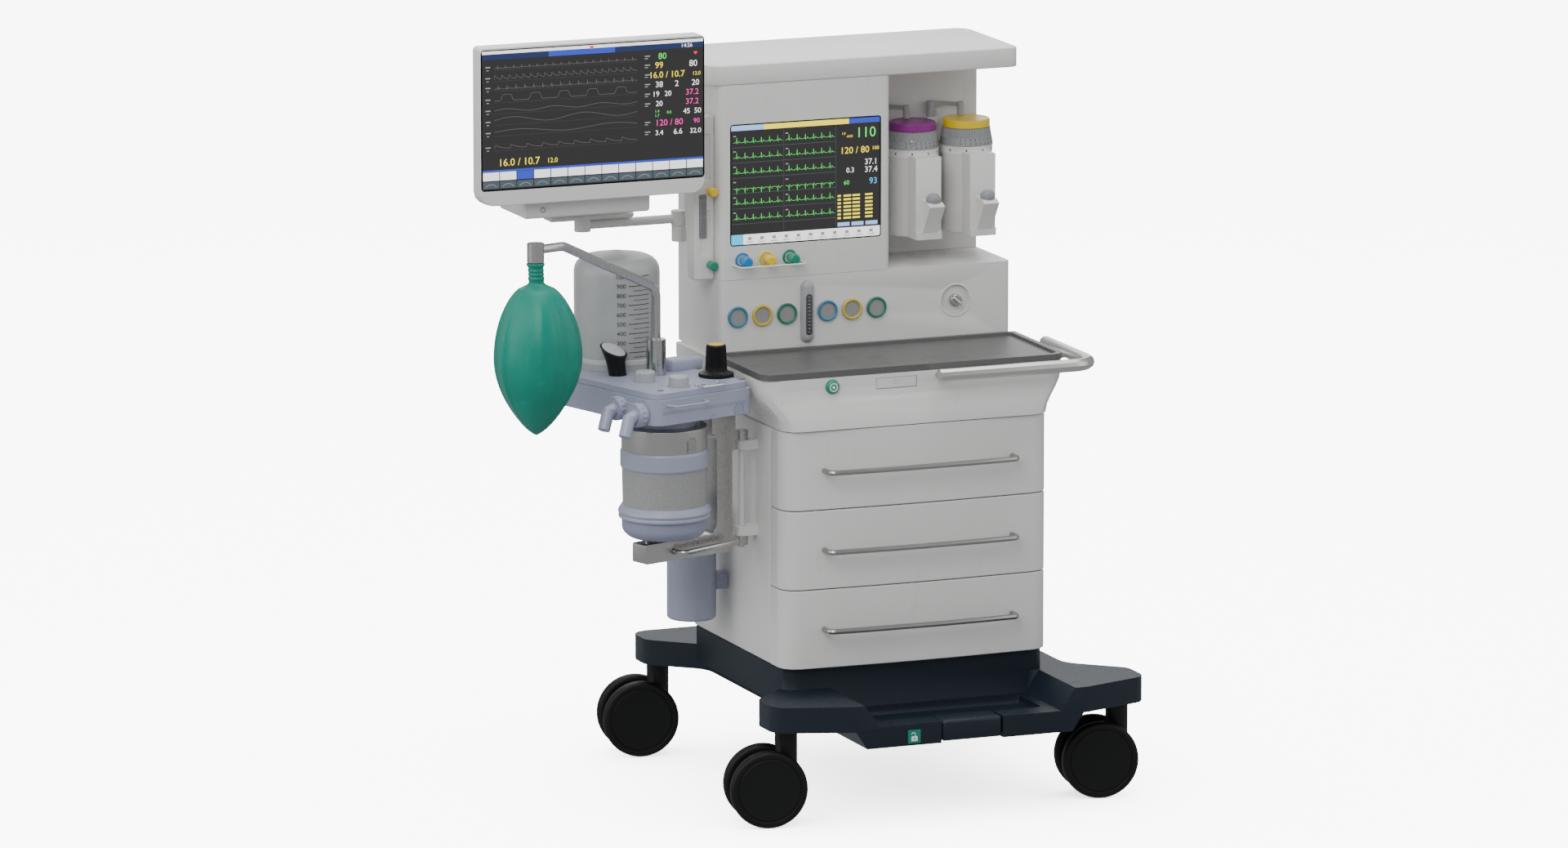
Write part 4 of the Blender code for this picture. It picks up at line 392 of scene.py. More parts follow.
@dataclass(frozen=True)
class Frosted:
    """Frosted translucent moulding, a little cloudier in places."""

    colour: Colour
    alpha: float = 0.8
    roughness: float = 0.32

    def make(self, name: str) -> bpy.types.Material:
        """Wires the finish."""
        work = Shading(name)
        cloud = work.noise(18.0, 5.0)
        frost = work.noise(1600.0, 2.0)
        work.feed("Base Color", work.mix(cloud, shade(self.colour, 0.92), shade(self.colour, 1.08)))
        work.feed("Alpha", self.alpha + 0.10 * (cloud - 0.5))
        work.feed("Roughness", self.roughness + 0.10 * (frost - 0.5))
        work.bump(frost, 0.00005, 0.4)
        return work.material


@dataclass(frozen=True)
class Glassy:
    """Dark display glass with faint wiping marks."""

    colour: Colour
    roughness: float = 0.10

    def make(self, name: str) -> bpy.types.Material:
        """Wires the finish."""
        work = Shading(name)
        wipes = work.noise(20.0, 6.0, (0.4, 1.0, 1.6))
        work.feed("Base Color", work.mix(wipes, shade(self.colour, 0.85), shade(self.colour, 1.2)))
        work.feed("Roughness", self.roughness + 0.16 * wipes.step(0.45, 0.75))
        return work.material


@dataclass(frozen=True)
class Lit:
    """Lit picture element behind glass, with a fine dot raster."""

    colour: Colour
    strength: float = 0.9

    def make(self, name: str) -> bpy.types.Material:
        """Wires the finish."""
        work = Shading(name)
        raster = work.noise(2600.0, 1.0)
        work.feed("Base Color", (0.01, 0.01, 0.01))
        work.feed("Roughness", 0.35)
        work.feed("Emission Color", work.mix(raster, shade(self.colour, 0.92), shade(self.colour, 1.06)))
        work.feed("Emission Strength", self.strength)
        return work.material


FINISHES: dict[Slot, object] = {
    Slot.COVER: Moulded((0.71, 0.70, 0.68), 0.42),
    Slot.NAVY: Cast((0.0062, 0.0125, 0.021), (0.018, 0.030, 0.043), 0.44),
    Slot.BLACK: Moulded((0.0035, 0.0035, 0.004), 0.42, depth=0.00014, mottle=0.15, shine=0.3),
    Slot.WORKTOP: Brushed((0.125, 0.125, 0.124), 0.44, metallic=0.35),
    Slot.STEEL: Brushed((0.50, 0.495, 0.48), 0.27, along=Along.X),
    Slot.GLASS: Glassy((0.012, 0.011, 0.011)),
    Slot.GREY: Moulded((0.34, 0.345, 0.355), 0.45),
    Slot.LAVENDER: Moulded((0.315, 0.335, 0.435), 0.40, grain=1200.0, coat=0.1),
    Slot.SILICONE: Sheen((0.0015, 0.225, 0.158), (0.035, 0.30, 0.235)),
    Slot.FROST: Frosted((0.385, 0.395, 0.395), 0.88),
    Slot.GRANULES: Granules((0.34, 0.34, 0.335)),
    Slot.BLUE: Moulded((0.01, 0.20, 0.50), 0.30, coat=0.2),
    Slot.YELLOW: Moulded((0.80, 0.56, 0.003), 0.34, coat=0.2),
    Slot.GREEN: Moulded((0.0, 0.24, 0.14), 0.32, coat=0.2),
    Slot.PURPLE: Moulded((0.23, 0.006, 0.20), 0.34, coat=0.2),
}


class Palette:
    """Makes each finish once and hands out the same material afterwards."""

    def __init__(self) -> None:
        """Starts empty."""
        self.made: dict[object, bpy.types.Material] = {}

    def get(self, finish: object, name: str) -> bpy.types.Material:
        """The material of a finish.

        Args:
            finish: A finish, or a slot of the record.
            name: What to call it when it is made.

        Returns:
            The material.
        """
        if isinstance(finish, Slot):
            finish, name = FINISHES[finish], finish.value + "_finish"
        if finish not in self.made:
            self.made[finish] = finish.make(name)
        return self.made[finish]


PALETTE = Palette()


# ------------------------------------------------------------------ surfaces


@dataclass
class Skin:
    """A surface as arrays: points, the corners of every face in turn, and how many corners each face has."""

    points: Array
    corners: Array
    sizes: Array

    def placed(self, place: Matrix) -> "Skin":
        """The same surface moved by a matrix: each point times the 3 x 3 part, plus the shift."""
        turn = np.array(place)
        return Skin(self.points @ turn[:3, :3].T + turn[:3, 3], self.corners, self.sizes)

    def at(self, x: float = 0.0, y: float = 0.0, z: float = 0.0) -> "Skin":
        """The same surface shifted."""
        return Skin(self.points + np.array([x, y, z]), self.corners, self.sizes)


def joined(skins: Sequence[Skin]) -> Skin:
    """Several surfaces as one: the arrays end to end, with each surface's corners counted on.

    Args:
        skins: The surfaces.

    Returns:
        One surface.
    """
    offsets = np.cumsum([0] + [len(skin.points) for skin in skins[:-1]])
    return Skin(
        np.concatenate([skin.points for skin in skins]),
        np.concatenate([skin.corners + offset for skin, offset in zip(skins, offsets)]),
        np.concatenate([skin.sizes for skin in skins]),
    )


def grid(points: Array, ring: bool = True, ends: bool = True) -> Skin:
    """Faces over a grid of points.

    Corner (row, column) joins to the next row and the next column; the last column joins to the first
    when the grid is a ring, and a face over the whole first and last row closes the ends.

    Args:
        points: Rows x columns x 3.
        ring: Whether each row closes on itself.
        ends: Whether to close the first and the last row with one face each.

    Returns:
        The surface.
    """
    rows, columns = points.shape[:2]
    index = np.arange(rows * columns).reshape(rows, columns)
    if ring:
        index = np.concatenate([index, index[:, :1]], axis=1)
    quads = np.stack(
        [index[:-1, :-1], index[:-1, 1:], index[1:, 1:], index[1:, :-1]], axis=-1
    ).reshape(-1, 4)
    corners, sizes = [quads.reshape(-1)], [np.full(len(quads), 4)]
    if ends:
        corners += [np.arange(columns)[::-1], np.arange(columns) + (rows - 1) * columns]
        sizes += [np.array([columns, columns])]
    return Skin(points.reshape(-1, 3), np.concatenate(corners), np.concatenate(sizes))


def filleted(corners: Sequence[tuple[float, ...]], steps: int = 5) -> Array:
    """A line through corners, each rounded by its own radius.

    At a corner the curve is the quadratic through the two points a radius away from it, along each side,
    with the corner as the point it bends towards.

    Args:
        corners: Coordinates followed by the rounding, which is 0 to keep the corner sharp.
        steps: Pieces in each rounding.

    Returns:
        The points of the line.
    """
    spots = np.array([corner[:-1] for corner in corners], float)
    line = []
    for number, (spot, corner) in enumerate(zip(spots, corners)):
        radius = corner[-1]
        if not radius or number in (0, len(spots) - 1):
            line.append(spot[None])
            continue
        before, after = spots[number - 1] - spot, spots[number + 1] - spot
        start = spot + before / np.linalg.norm(before) * min(radius, np.linalg.norm(before) * 0.49)
        end = spot + after / np.linalg.norm(after) * min(radius, np.linalg.norm(after) * 0.49)
        t = np.linspace(0, 1, steps + 1)[:, None]
        line.append((1 - t) ** 2 * start + 2 * t * (1 - t) * spot + t**2 * end)
    return np.concatenate(line)


def turned(
    profile: Array, steps: int = 64, ripple: Callable[[Array, Array], Array] | None = None
) -> Skin:
    """A surface of revolution about +Z.

    A point of the profile at radius r and height z goes round to (r cos a, r sin a, z), for a from 0 to a
    full turn; a ripple multiplies r by a factor that depends on a and z. The ends of the profile lie on
    the axis or are closed by a face.

    Args:
        profile: Radius and height of each point, from one end to the other.
        steps: Points round the turn.
        ripple: Factor on the radius, from the angle and the height.

    Returns:
        The surface.
    """
    angle = np.arange(steps) * TAU / steps
    radius, height = profile[:, 0][:, None], profile[:, 1][:, None]
    factor = ripple(angle[None], height) if ripple else np.ones((1, steps))
    around = radius * factor
    points = np.stack(
        [around * np.cos(angle), around * np.sin(angle), height + 0 * around], axis=-1
    )
    return grid(points)


def ribs(count: int, depth: float, low: float, high: float) -> Callable[[Array, Array], Array]:
    """Upright ribs between two heights: the factor dips by depth between ribs, as a cosine kept blunt.

    Args:
        count: Ribs in a full turn.
        depth: Dip between ribs, as a share of the radius.
        low: Height at which they start.
        high: Height at which they end.

    Returns:
        A factor for the radius, from an angle and a height.
    """

    def factor(angle: Array, height: Array) -> Array:
        """Radius factor at an angle and a height."""
        wave = np.clip(0.5 - 0.9 * np.cos(count * angle), 0, 1)
        inside = (height > low) & (height < high)
        return 1 - depth * wave * inside

    return factor


def rectangle(width: float, height: float, radius: float, steps: int = 6) -> Array:
    """Outline of a rectangle with round corners: a quarter circle about each corner's centre, in turn.

    Args:
        width: Size along x.
        height: Size along z.
        radius: Rounding of the corners.
        steps: Pieces in each quarter circle.

    Returns:
        Points of x and z.
    """
    radius = max(min(radius, width / 2 - 1e-5, height / 2 - 1e-5), 1e-5)
    angle = np.linspace(0, math.pi / 2, steps + 1)
    turns = np.arange(4)[:, None] * math.pi / 2 + angle[None]
    sign = np.array([[1, 1], [-1, 1], [-1, -1], [1, -1]])[:, None]
    centre = sign * np.array([width / 2 - radius, height / 2 - radius])
    return (centre + radius * np.stack([np.cos(turns), np.sin(turns)], axis=-1)).reshape(-1, 2)


def plate(
    width: float, height: float, radius: float, thickness: float, edge: float, steps: int = 3
) -> Skin:
    """A flat plate that faces -Y, centred on the origin in x and z, with its back at y = 0.

    Each row is the outline drawn in by the rounding's own depth, edge x (1 - sin a), at edge x (1 - cos a)
    below the front face; the back is square.

    Args:
        width: Size along x.
        height: Size along z.
        radius: Rounding of the corners.
        thickness: Size along y.
        edge: Rounding of the front edge.
        steps: Pieces in that rounding.

    Returns:
        The surface.
    """
    edge = min(edge, thickness * 0.98, width / 2.1, height / 2.1)
    angle = np.linspace(0, math.pi / 2, steps + 1)
    inset = np.concatenate([[0.0], edge * (1 - np.sin(angle[::-1]))])
    depth = np.concatenate([[0.0], -(thickness - edge * (1 - np.cos(angle[::-1])))])
    rows = []
    for drawn, y in zip(inset, depth):
        outline = rectangle(width - 2 * drawn, height - 2 * drawn, radius - drawn)
        rows.append(np.column_stack([outline[:, 0], np.full(len(outline), y), outline[:, 1]]))
    return grid(np.array(rows))


def swept(path: Array, radius: "float | Array", across: Sequence[float], steps: int = 16) -> Skin:
    """A round bar along a path that lies in one plane.

    Each ring is the path's point + r cos a x side + r sin a x across, where side is the path's
    direction crossed with across, the plane's normal.

    Args:
        path: Points of the axis.
        radius: One radius, or one for each point.
        across: Normal of the path's plane.
        steps: Points round the bar.

    Returns:
        The surface, with closed ends.
    """
    path = np.asarray(path, float)
    normal = np.array(across, float)
    run = np.gradient(path, axis=0)
    run /= np.linalg.norm(run, axis=1, keepdims=True)
    side = np.cross(run, normal)
    side /= np.linalg.norm(side, axis=1, keepdims=True)
    rise = np.cross(side, run)
    angle = np.arange(steps) * TAU / steps
    size = np.broadcast_to(np.asarray(radius, float), (len(path),))[:, None, None]
    offset = np.cos(angle)[None, :, None] * side[:, None] + np.sin(angle)[None, :, None] * rise[:, None]
    return grid(path[:, None] + size * offset)


def ribbon(path: Array, width: float) -> Skin:
    """A flat ribbon that faces -Y along a path: the path plus and minus half its width in the
    direction square to it.

    Args:
        path: Points of x and z.
        width: Width of the ribbon.

    Returns:
        An open surface at y = 0.
    """
    run = np.gradient(path, axis=0)
    run /= np.maximum(np.linalg.norm(run, axis=1, keepdims=True), 1e-9)
    side = np.column_stack([-run[:, 1], run[:, 0]]) * width / 2
    rows = np.stack([path - side, path + side])
    points = np.stack([rows[..., 0], np.zeros(rows.shape[:2]), rows[..., 1]], axis=-1)
    return grid(points, ring=False, ends=False)


def lettering(words: str, size: float, centre: bool = True) -> Skin:
    """Numerals or generic words as a flat surface that faces -Y, standing on z = 0.

    Args:
        words: What it says.
        size: Size of the type.
        centre: Whether it is centred on x = 0.

    Returns:
        An open surface at y = 0.
    """
    curve = bpy.data.curves.new("lettering", "FONT")
    curve.body = words
    curve.size = size
    curve.resolution_u = 3
    curve.align_x = "CENTER" if centre else "LEFT"
    holder = bpy.data.objects.new("lettering", curve)
    mesh = bpy.data.meshes.new_from_object(holder)
    points = np.zeros(len(mesh.vertices) * 3)
    mesh.vertices.foreach_get("co", points)
    corners = np.zeros(len(mesh.loops), int)
    mesh.loops.foreach_get("vertex_index", corners)
    sizes = np.zeros(len(mesh.polygons), int)
    mesh.polygons.foreach_get("loop_total", sizes)
    bpy.data.objects.remove(holder)
    bpy.data.curves.remove(curve)
    bpy.data.meshes.remove(mesh)
    flat = points.reshape(-1, 3)
    return Skin(np.column_stack([flat[:, 0], 0 * flat[:, 0], flat[:, 1]]), corners, sizes)


def mesh_of(name: str, skin: Skin, flat: bool = False) -> bpy.types.Mesh:
    """A Blender mesh of a surface, with doubled points merged and, if it is closed, its faces turned
    outwards.

    Args:
        name: Its name.
        skin: The surface.
        flat: Whether it is open artwork, whose faces are left as they are.

    Returns:
        The mesh.
    """
    mesh = bpy.data.meshes.new(name)
    mesh.vertices.add(len(skin.points))
    mesh.vertices.foreach_set("co", skin.points.astype(np.float32).reshape(-1))
    mesh.loops.add(len(skin.corners))
    mesh.loops.foreach_set("vertex_index", skin.corners.astype(np.int32))
    mesh.polygons.add(len(skin.sizes))
    starts = np.concatenate([[0], np.cumsum(skin.sizes)[:-1]])
    mesh.polygons.foreach_set("loop_start", starts.astype(np.int32))
    mesh.update(calc_edges=True)
    if flat:
        return mesh
    work = bmesh.new()
    work.from_mesh(mesh)
    bmesh.ops.remove_doubles(work, verts=work.verts, dist=2e-6)
    bmesh.ops.recalc_face_normals(work, faces=work.faces)
    work.to_mesh(mesh)
    work.free()
    return mesh


def piece(
    name: str,
    skin: Skin,
    finish: object,
    body: str,
    replaces: Sequence[str] = (),
    flat: bool = False,
    crease: float = 32.0,
) -> bpy.types.Object:
    """Adds one finished piece to the machine.

    Args:
        name: Its name.
        skin: Its surface, in place.
        finish: A finish or a slot.
        body: The body that it moves with.
        replaces: CAD nodes that it stands for.
        flat: Whether it is open, flat artwork that faces -Y already.
        crease: Degrees between faces past which an edge stays sharp.

    Returns:
        The object.
    """
    mesh = mesh_of(name, skin, flat)
    mesh.shade_smooth()
    mesh.set_sharp_from_angle(angle=math.radians(crease))
    made = bpy.data.objects.new(name, mesh)
    bpy.context.scene.collection.objects.link(made)
    made.data.materials.append(PALETTE.get(finish, name + "_finish"))
    if replaces:
        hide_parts(*replaces)
    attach(made, body)
    return made


def refined(
    node: str, body: str, bevel: float = 0.0, finishes: dict[str, object] | None = None, angle: float = 32.0
) -> bpy.types.Object:
    """Replaces a CAD node by a merged copy of it, with softer edges and smooth shading.

    Args:
        node: The CAD node.
        body: Its body.
        bevel: Rounding of the edges that are still sharp, or 0.
        finishes: A finish for a slot of the node, by the slot's name, where it differs from the slot's own.
        angle: Degrees between faces past which an edge counts as sharp.

    Returns:
        The copy.
    """
    source = frame["nodes"][node]
    mesh = source.data.copy()
    mesh.name = node + "_skin"
    work = bmesh.new()
    work.from_mesh(mesh)
    bmesh.ops.remove_doubles(work, verts=work.verts, dist=2e-5)
    bmesh.ops.dissolve_limit(
        work, angle_limit=math.radians(1.0), verts=work.verts, edges=work.edges, delimit={"MATERIAL"}
    )
    work.to_mesh(mesh)
    work.free()
    mesh.shade_smooth()
    made = bpy.data.objects.new(node + "_skin", mesh)
    bpy.context.scene.collection.objects.link(made)
    for number, slot in enumerate(mesh.materials):
        key = slot.name.split(".")[0]
        finish = (finishes or {}).get(key) or Slot(key)
        mesh.materials[number] = PALETTE.get(finish, f"{node}_{key}_finish")
    if bevel:
        modifier = made.modifiers.new("soft edges", "BEVEL")
        modifier.width = bevel
        modifier.segments = 2
        modifier.limit_method = "ANGLE"
        modifier.angle_limit = math.radians(angle)
        modifier.harden_normals = False
    mesh.set_sharp_from_angle(angle=math.radians(angle))
    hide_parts(node)
    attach(made, body)
    return made


def dress(node: str, finishes: dict[str, object] | None = None) -> None:
    """Gives a CAD node that stays in view its finishes, slot by slot.

    Args:
        node: The CAD node.
        finishes: A finish by slot name, where it differs from the slot's own.
    """
    item = frame["nodes"][node]
    for slot in item.material_slots:
        key = slot.material.name.split(".")[0]
        finish = (finishes or {}).get(key) or Slot(key)
        slot.link = "OBJECT"
        slot.material = PALETTE.get(finish, f"{node}_{key}_finish")


def spin(axis: str, degrees: float) -> Matrix:
    """A turn about an axis."""
    return Matrix.Rotation(math.radians(degrees), 4, axis)


def shift(x: float, y: float, z: float) -> Matrix:
    """A move."""
    return Matrix.Translation((x, y, z))


def middle(node: str) -> Vector:
    """Centre of a CAD node's box."""
    low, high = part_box(node)
    return (low + high) / 2


def facing(place: Sequence[float], axis: Sequence[float]) -> Matrix:
    """A move to a place that also turns +Z to an axis."""
    return Matrix.Translation(place) @ Vector(axis).to_track_quat("Z", "Y").to_matrix().to_4x4()


def wrapped(skin: Skin, radius: float, angle: float) -> Skin:
    """Flat artwork bent round a cylinder about +Z.

    A point's x becomes the angle x / radius from the middle, its y a depth below the radius, and its z
    stays: (r cos a, r sin a, z), with r = radius - y and a = angle + x / radius.

    Args:
        skin: Artwork that faces -Y.
        radius: The cylinder's.
        angle: Where the artwork's middle goes, in radians from +X.

    Returns:
        The bent artwork.
    """
    turn = angle + skin.points[:, 0] / radius
    far = radius - skin.points[:, 1]
    bent = np.column_stack([far * np.cos(turn), far * np.sin(turn), skin.points[:, 2]])
    return Skin(bent, skin.corners, skin.sizes)


class Ink(Enum):
    """Colours of the displays' artwork."""

    FIELD = (0.022, 0.020, 0.020)
    WHITE = (0.90, 0.90, 0.90)
    GREEN = (0.05, 0.80, 0.10)
    YELLOW = (0.95, 0.78, 0.03)
    MAGENTA = (0.85, 0.03, 0.35)
    CYAN = (0.02, 0.48, 0.80)
    ROYAL = (0.02, 0.045, 0.42)
    SKY = (0.30, 0.45, 0.80)
    NAVY = (0.012, 0.030, 0.13)
    RED = (0.80, 0.03, 0.02)
    SLATE = (0.085, 0.12, 0.15)
    TRACE = (0.26, 0.24, 0.22)
    LABEL = (0.45, 0.45, 0.43)


@dataclass
class Picture:
    """Lit artwork over a display's glass, measured in shares of the glass's width and height."""

    node: str
    body: str
    margin: float = 0.0
    lift: float = 0.00025
    parts: dict = field(default_factory=dict)

    def __post_init__(self) -> None:
        """Finds the glass."""
        low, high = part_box(self.node)
        self.left, self.bottom, self.front = low.x + self.margin, low.z + self.margin, low.y
        self.width = high.x - low.x - 2 * self.margin
        self.height = high.z - low.z - 2 * self.margin

    def add(self, ink: Ink, skin: Skin, layer: int = 1) -> None:
        """Puts flat artwork on a layer in front of the glass."""
        self.parts.setdefault((ink, layer), []).append(skin.at(y=self.front - self.lift * layer))

    def bar(self, ink: Ink, u: float, v: float, wide: float, high: float, layer: int = 1) -> None:
        """A filled rectangle from its lower-left corner.

        Args:
            ink: Its colour.
            u: Left edge, as a share of the width.
            v: Lower edge, as a share of the height.
            wide: Its width, as a share.
            high: Its height, as a share.
            layer: How far in front it lies.
        """
        corners = np.array([[u, v], [u + wide, v], [u + wide, v + high], [u, v + high]])
        points = np.column_stack(
            [self.left + corners[:, 0] * self.width, np.zeros(4), self.bottom + corners[:, 1] * self.height]
        )
        self.add(ink, Skin(points, np.arange(4), np.array([4])), layer)

    def words(self, ink: Ink, text: str, u: float, v: float, size: float, layer: int = 2) -> None:
        """Numerals centred at u and standing on v; size is a share of the height."""
        skin = lettering(text, size * self.height / 0.70)
        self.add(ink, skin.at(self.left + u * self.width, 0, self.bottom + v * self.height), layer)

    def trace(
        self, ink: Ink, start: float, stop: float, v: float, high: float, beats: float, kind: str,
        wide: float,
    ) -> None:
        """A waveform ribbon.

        The height is 0 on the baseline. "beat" adds narrow bells for the small, the sharp and the round
        wave of each cycle; "breath" is a squared-off half wave; "swell" is a plain sine; "flow" is a
        falling saw.

        Args:
            ink: Its colour.
            start: Left end, as a share of the width.
            stop: Right end.
            v: Baseline, as a share of the height.
            high: Height of the wave.
            beats: Cycles along the trace.
            kind: Which wave.
            wide: Line width in metres.
        """
        t = np.linspace(0, 1, int(40 * beats) + 60)
        phase = (t * beats) % 1.0
        waves = {
            "beat": 0.16 * np.exp(-(((phase - 0.28) / 0.05) ** 2))
            + 1.0 * np.exp(-(((phase - 0.42) / 0.022) ** 2))
            - 0.22 * np.exp(-(((phase - 0.47) / 0.02) ** 2))
            + 0.30 * np.exp(-(((phase - 0.68) / 0.07) ** 2)),
            "breath": 1 / (1 + np.exp(-60 * (phase - 0.25))) - 1 / (1 + np.exp(-60 * (phase - 0.62))),
            "swell": 0.5 + 0.5 * np.sin(TAU * phase),
            "flow": np.exp(-3.2 * phase) * (1 - np.exp(-40 * phase)),
        }
        path = np.column_stack(
            [
                self.left + (start + (stop - start) * t) * self.width,
                self.bottom + (v + high * waves[kind]) * self.height,
            ]
        )
        self.add(ink, ribbon(path, wide), 2)

    def dots(self, ink: Ink, start: float, stop: float, v: float, count: int, size: float) -> None:
        """A dotted baseline: small squares at even steps, from one array of centres.

        Args:
            ink: Its colour.
            start: Left end, as a share of the width.
            stop: Right end.
            v: Its level, as a share of the height.
            count: How many dots.
            size: Side of a dot in metres.
        """
        centre = self.left + (start + (stop - start) * np.arange(count) / count) * self.width
        square = np.array([[-1, -1], [1, -1], [1, 1], [-1, 1]]) * size / 2
        x = centre[:, None] + square[None, :, 0]
        z = self.bottom + v * self.height + square[None, :, 1] + 0 * x
        points = np.stack([x, 0 * x, z], axis=-1).reshape(-1, 3)
        self.add(ink, Skin(points, np.arange(4 * count), np.full(count, 4)), 2)

    def finish(self, name: str, strength: float) -> None:
        """Adds one piece for each colour and layer; the bright colours take the strength.

        Args:
            name: What the pieces are called.
            strength: Light of the bright colours.
        """
        dim = (Ink.FIELD, Ink.SLATE, Ink.TRACE, Ink.NAVY, Ink.LABEL)
        for (ink, layer), skins in self.parts.items():
            glow = Lit(ink.value, 1.0 if ink in dim else strength)
            piece(f"{name}_{ink.name.lower()}_{layer}", joined(skins), glow, self.body, flat=True)


def heart(size: float) -> Skin:
    """A heart outline filled: x = 16 sin^3 t and z = 13 cos t - 5 cos 2t - 2 cos 3t - cos 4t, scaled.

    Args:
        size: About half its width.

    Returns:
        An open surface at y = 0.
    """
    t = np.arange(40) * TAU / 40
    x = 16 * np.sin(t) ** 3
    z = 13 * np.cos(t) - 5 * np.cos(2 * t) - 2 * np.cos(3 * t) - np.cos(4 * t)
    points = np.column_stack([x, 0 * x, z]) * size / 32
    return Skin(points, np.arange(40)[::-1], np.array([40]))


@dataclass
class Base:
    """Navy casting, brake pedal and casters."""

    wheel_radius: float = 0.075
    wheel_width: float = 0.026
    wheel_offset: float = 0.035
    tile: float = 0.026
    tile_from_pedal: float = 0.1205

    def build(self) -> None:
        """Builds the base, the pedal, the lock sign and four casters."""
        refined("base_chassis", "trolley", 0.004)
        refined("brake_pedal", "brake_pedal", 0.003)
        self.make_sign()
        for corner in ("fl", "fr", "rl", "rr"):
            refined("caster_fork_" + corner, "caster_" + corner, 0.002)
            self.make_wheels(corner)

    def make_sign(self) -> None:
        """Green tile with an open padlock, on the footrest's front face."""
        pedal = middle("brake_pedal")
        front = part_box("base_chassis")[0].y
        x, z = pedal.x - self.tile_from_pedal, pedal.z - 0.005
        green = Moulded((0.0, 0.20, 0.13), 0.4)
        tile = plate(self.tile, self.tile, 0.0015, 0.0010, 0.0004)
        piece("lock_sign_tile", tile.at(x, front + 0.0002, z), green, "trolley")
        body = plate(0.0125, 0.0095, 0.001, 0.0005, 0.0002).at(0, 0, -0.0042)
        angle = np.linspace(math.pi * 1.02, 0, 15)
        arch = np.column_stack([0.0033 * np.cos(angle) - 0.0021, 0.0033 * np.sin(angle) + 0.0046])
        arch = np.concatenate([arch, [[0.0012, 0.0005]]])
        shackle = ribbon(arch, 0.0016).at(y=-0.0004)
        white = Moulded((0.85, 0.87, 0.86), 0.4)
        piece("lock_sign_body", body.at(x, front - 0.0008, z), white, "trolley")
        piece("lock_sign_shackle", shackle.at(x, front - 0.0008, z), white, "trolley", flat=True)
        hole = plate(0.0022, 0.0042, 0.001, 0.0003, 0.0001).at(0, 0, -0.0042)
        piece("lock_sign_keyhole", hole.at(x, front - 0.0013, z), green, "trolley")

    def make_wheels(self, corner: str) -> None:
        """Two discs with dished faces, smooth rounded treads and a ring groove on the outer face, on one
        axle.

        Args:
            corner: Which caster.
        """
        joint = next(item for item in frame["joints"] if item["name"] == "wheel_spin_" + corner)
        place = facing(joint["pos_m"], joint["axis"])
        r, w = self.wheel_radius, self.wheel_width / 2
        disc = filleted(
            [
                (0.0, -w + 0.003, 0), (r - 0.020, -w + 0.003, 0.002), (r - 0.016, -w, 0.002),
                (r - 0.005, -w, 0.004), (r, -w + 0.006, 0.004), (r, w - 0.006, 0.004),
                (r - 0.004, w, 0.003), (r - 0.0125, w, 0.001), (r - 0.0135, w - 0.0016, 0.0006),
                (r - 0.0150, w - 0.0016, 0.0006), (r - 0.0160, w - 0.0002, 0.001),
                (0.046, w - 0.0014, 0.010), (0.0, w - 0.0022, 0),
            ],
        )
        solid = turned(disc, 96)
        far = solid.at(z=self.wheel_offset)
        near = solid.placed(spin("X", 180)).at(z=-self.wheel_offset)
        rubber = Moulded((0.0028, 0.0028, 0.003), 0.55, grain=500.0, depth=0.0002, mottle=0.25, shine=0.28)
        wheels = joined([far, near]).placed(place)
        piece("wheels_" + corner, wheels, rubber, "wheels_" + corner, ["caster_wheels_" + corner])
        reach = self.wheel_offset - w + 0.004
        axle = turned(np.array([[0.0, -reach], [0.008, -reach], [0.008, reach], [0.0, reach]]), 32)
        piece("axle_" + corner, axle.placed(place), Slot.STEEL, "wheels_" + corner)


@dataclass
class Cabinet:
    """Cabinet, drawers, apron, note tray, flush button and gas reservoir beside it."""

    flush_ring: float = 0.0085

    def build(self) -> None:
        """Softens the covers and adds their small parts."""
        refined("cabinet_body", "trolley", 0.0016)
        refined("apron_panel", "trolley", 0.0016)
        refined("ventilator_module", "trolley", 0.001)
        refined("note_tray", "note_tray", 0.0008)
        for level in ("top", "middle", "bottom"):
            refined("drawer_" + level, "drawer_" + level, 0.0016)
            handle = {"satin_steel": Brushed((0.36, 0.355, 0.345), 0.32)}
            refined("drawer_handle_" + level, "drawer_" + level, 0.0, handle)
        refined("scavenging_reservoir", "trolley", 0.0015)
        self.make_flush()
        self.make_tray_marks()

    def make_flush(self) -> None:
        """Green domed button with a white ring, inside a thin bezel."""
        refined("oxygen_flush_button", "oxygen_flush_button", 0.0015, angle=40)
        low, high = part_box("oxygen_flush_button")
        centre = (low + high) / 2
        r = self.flush_ring
        ring = filleted([(r - 0.0022, 0, 0), (r - 0.0022, 0.0007, 0.0004), (r, 0.0007, 0.0004), (r, 0, 0)])
        white = Moulded((0.85, 0.86, 0.85), 0.35)
        place = facing((centre.x, low.y + 0.0002, centre.z), (0, -1, 0))
        piece("flush_ring", turned_ring(ring, 48).placed(place), white, "oxygen_flush_button")
        dot = turned(
            filleted([(0, 0, 0), (0.0030, 0, 0.0004), (0.0030, 0.0006, 0.0004), (0, 0.0009, 0)]), 32
        )
        piece("flush_dot", dot.placed(place), white, "oxygen_flush_button")

    def make_tray_marks(self) -> None:
        """Small square pictogram of a sheet on the note tray's front."""
        low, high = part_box("note_tray")
        grey = Moulded((0.33, 0.33, 0.33), 0.5)
        path = np.array([[-0.006, 0.0], [-0.006, 0.006], [0.006, 0.006], [0.006, 0.0], [-0.006, 0.0]])
        frame_line = ribbon(path, 0.0006)
        middle_x, top = (low.x + high.x) / 2, high.z - 0.0115
        piece("tray_mark", frame_line.at(middle_x, low.y - 0.0003, top), grey, "note_tray", flat=True)


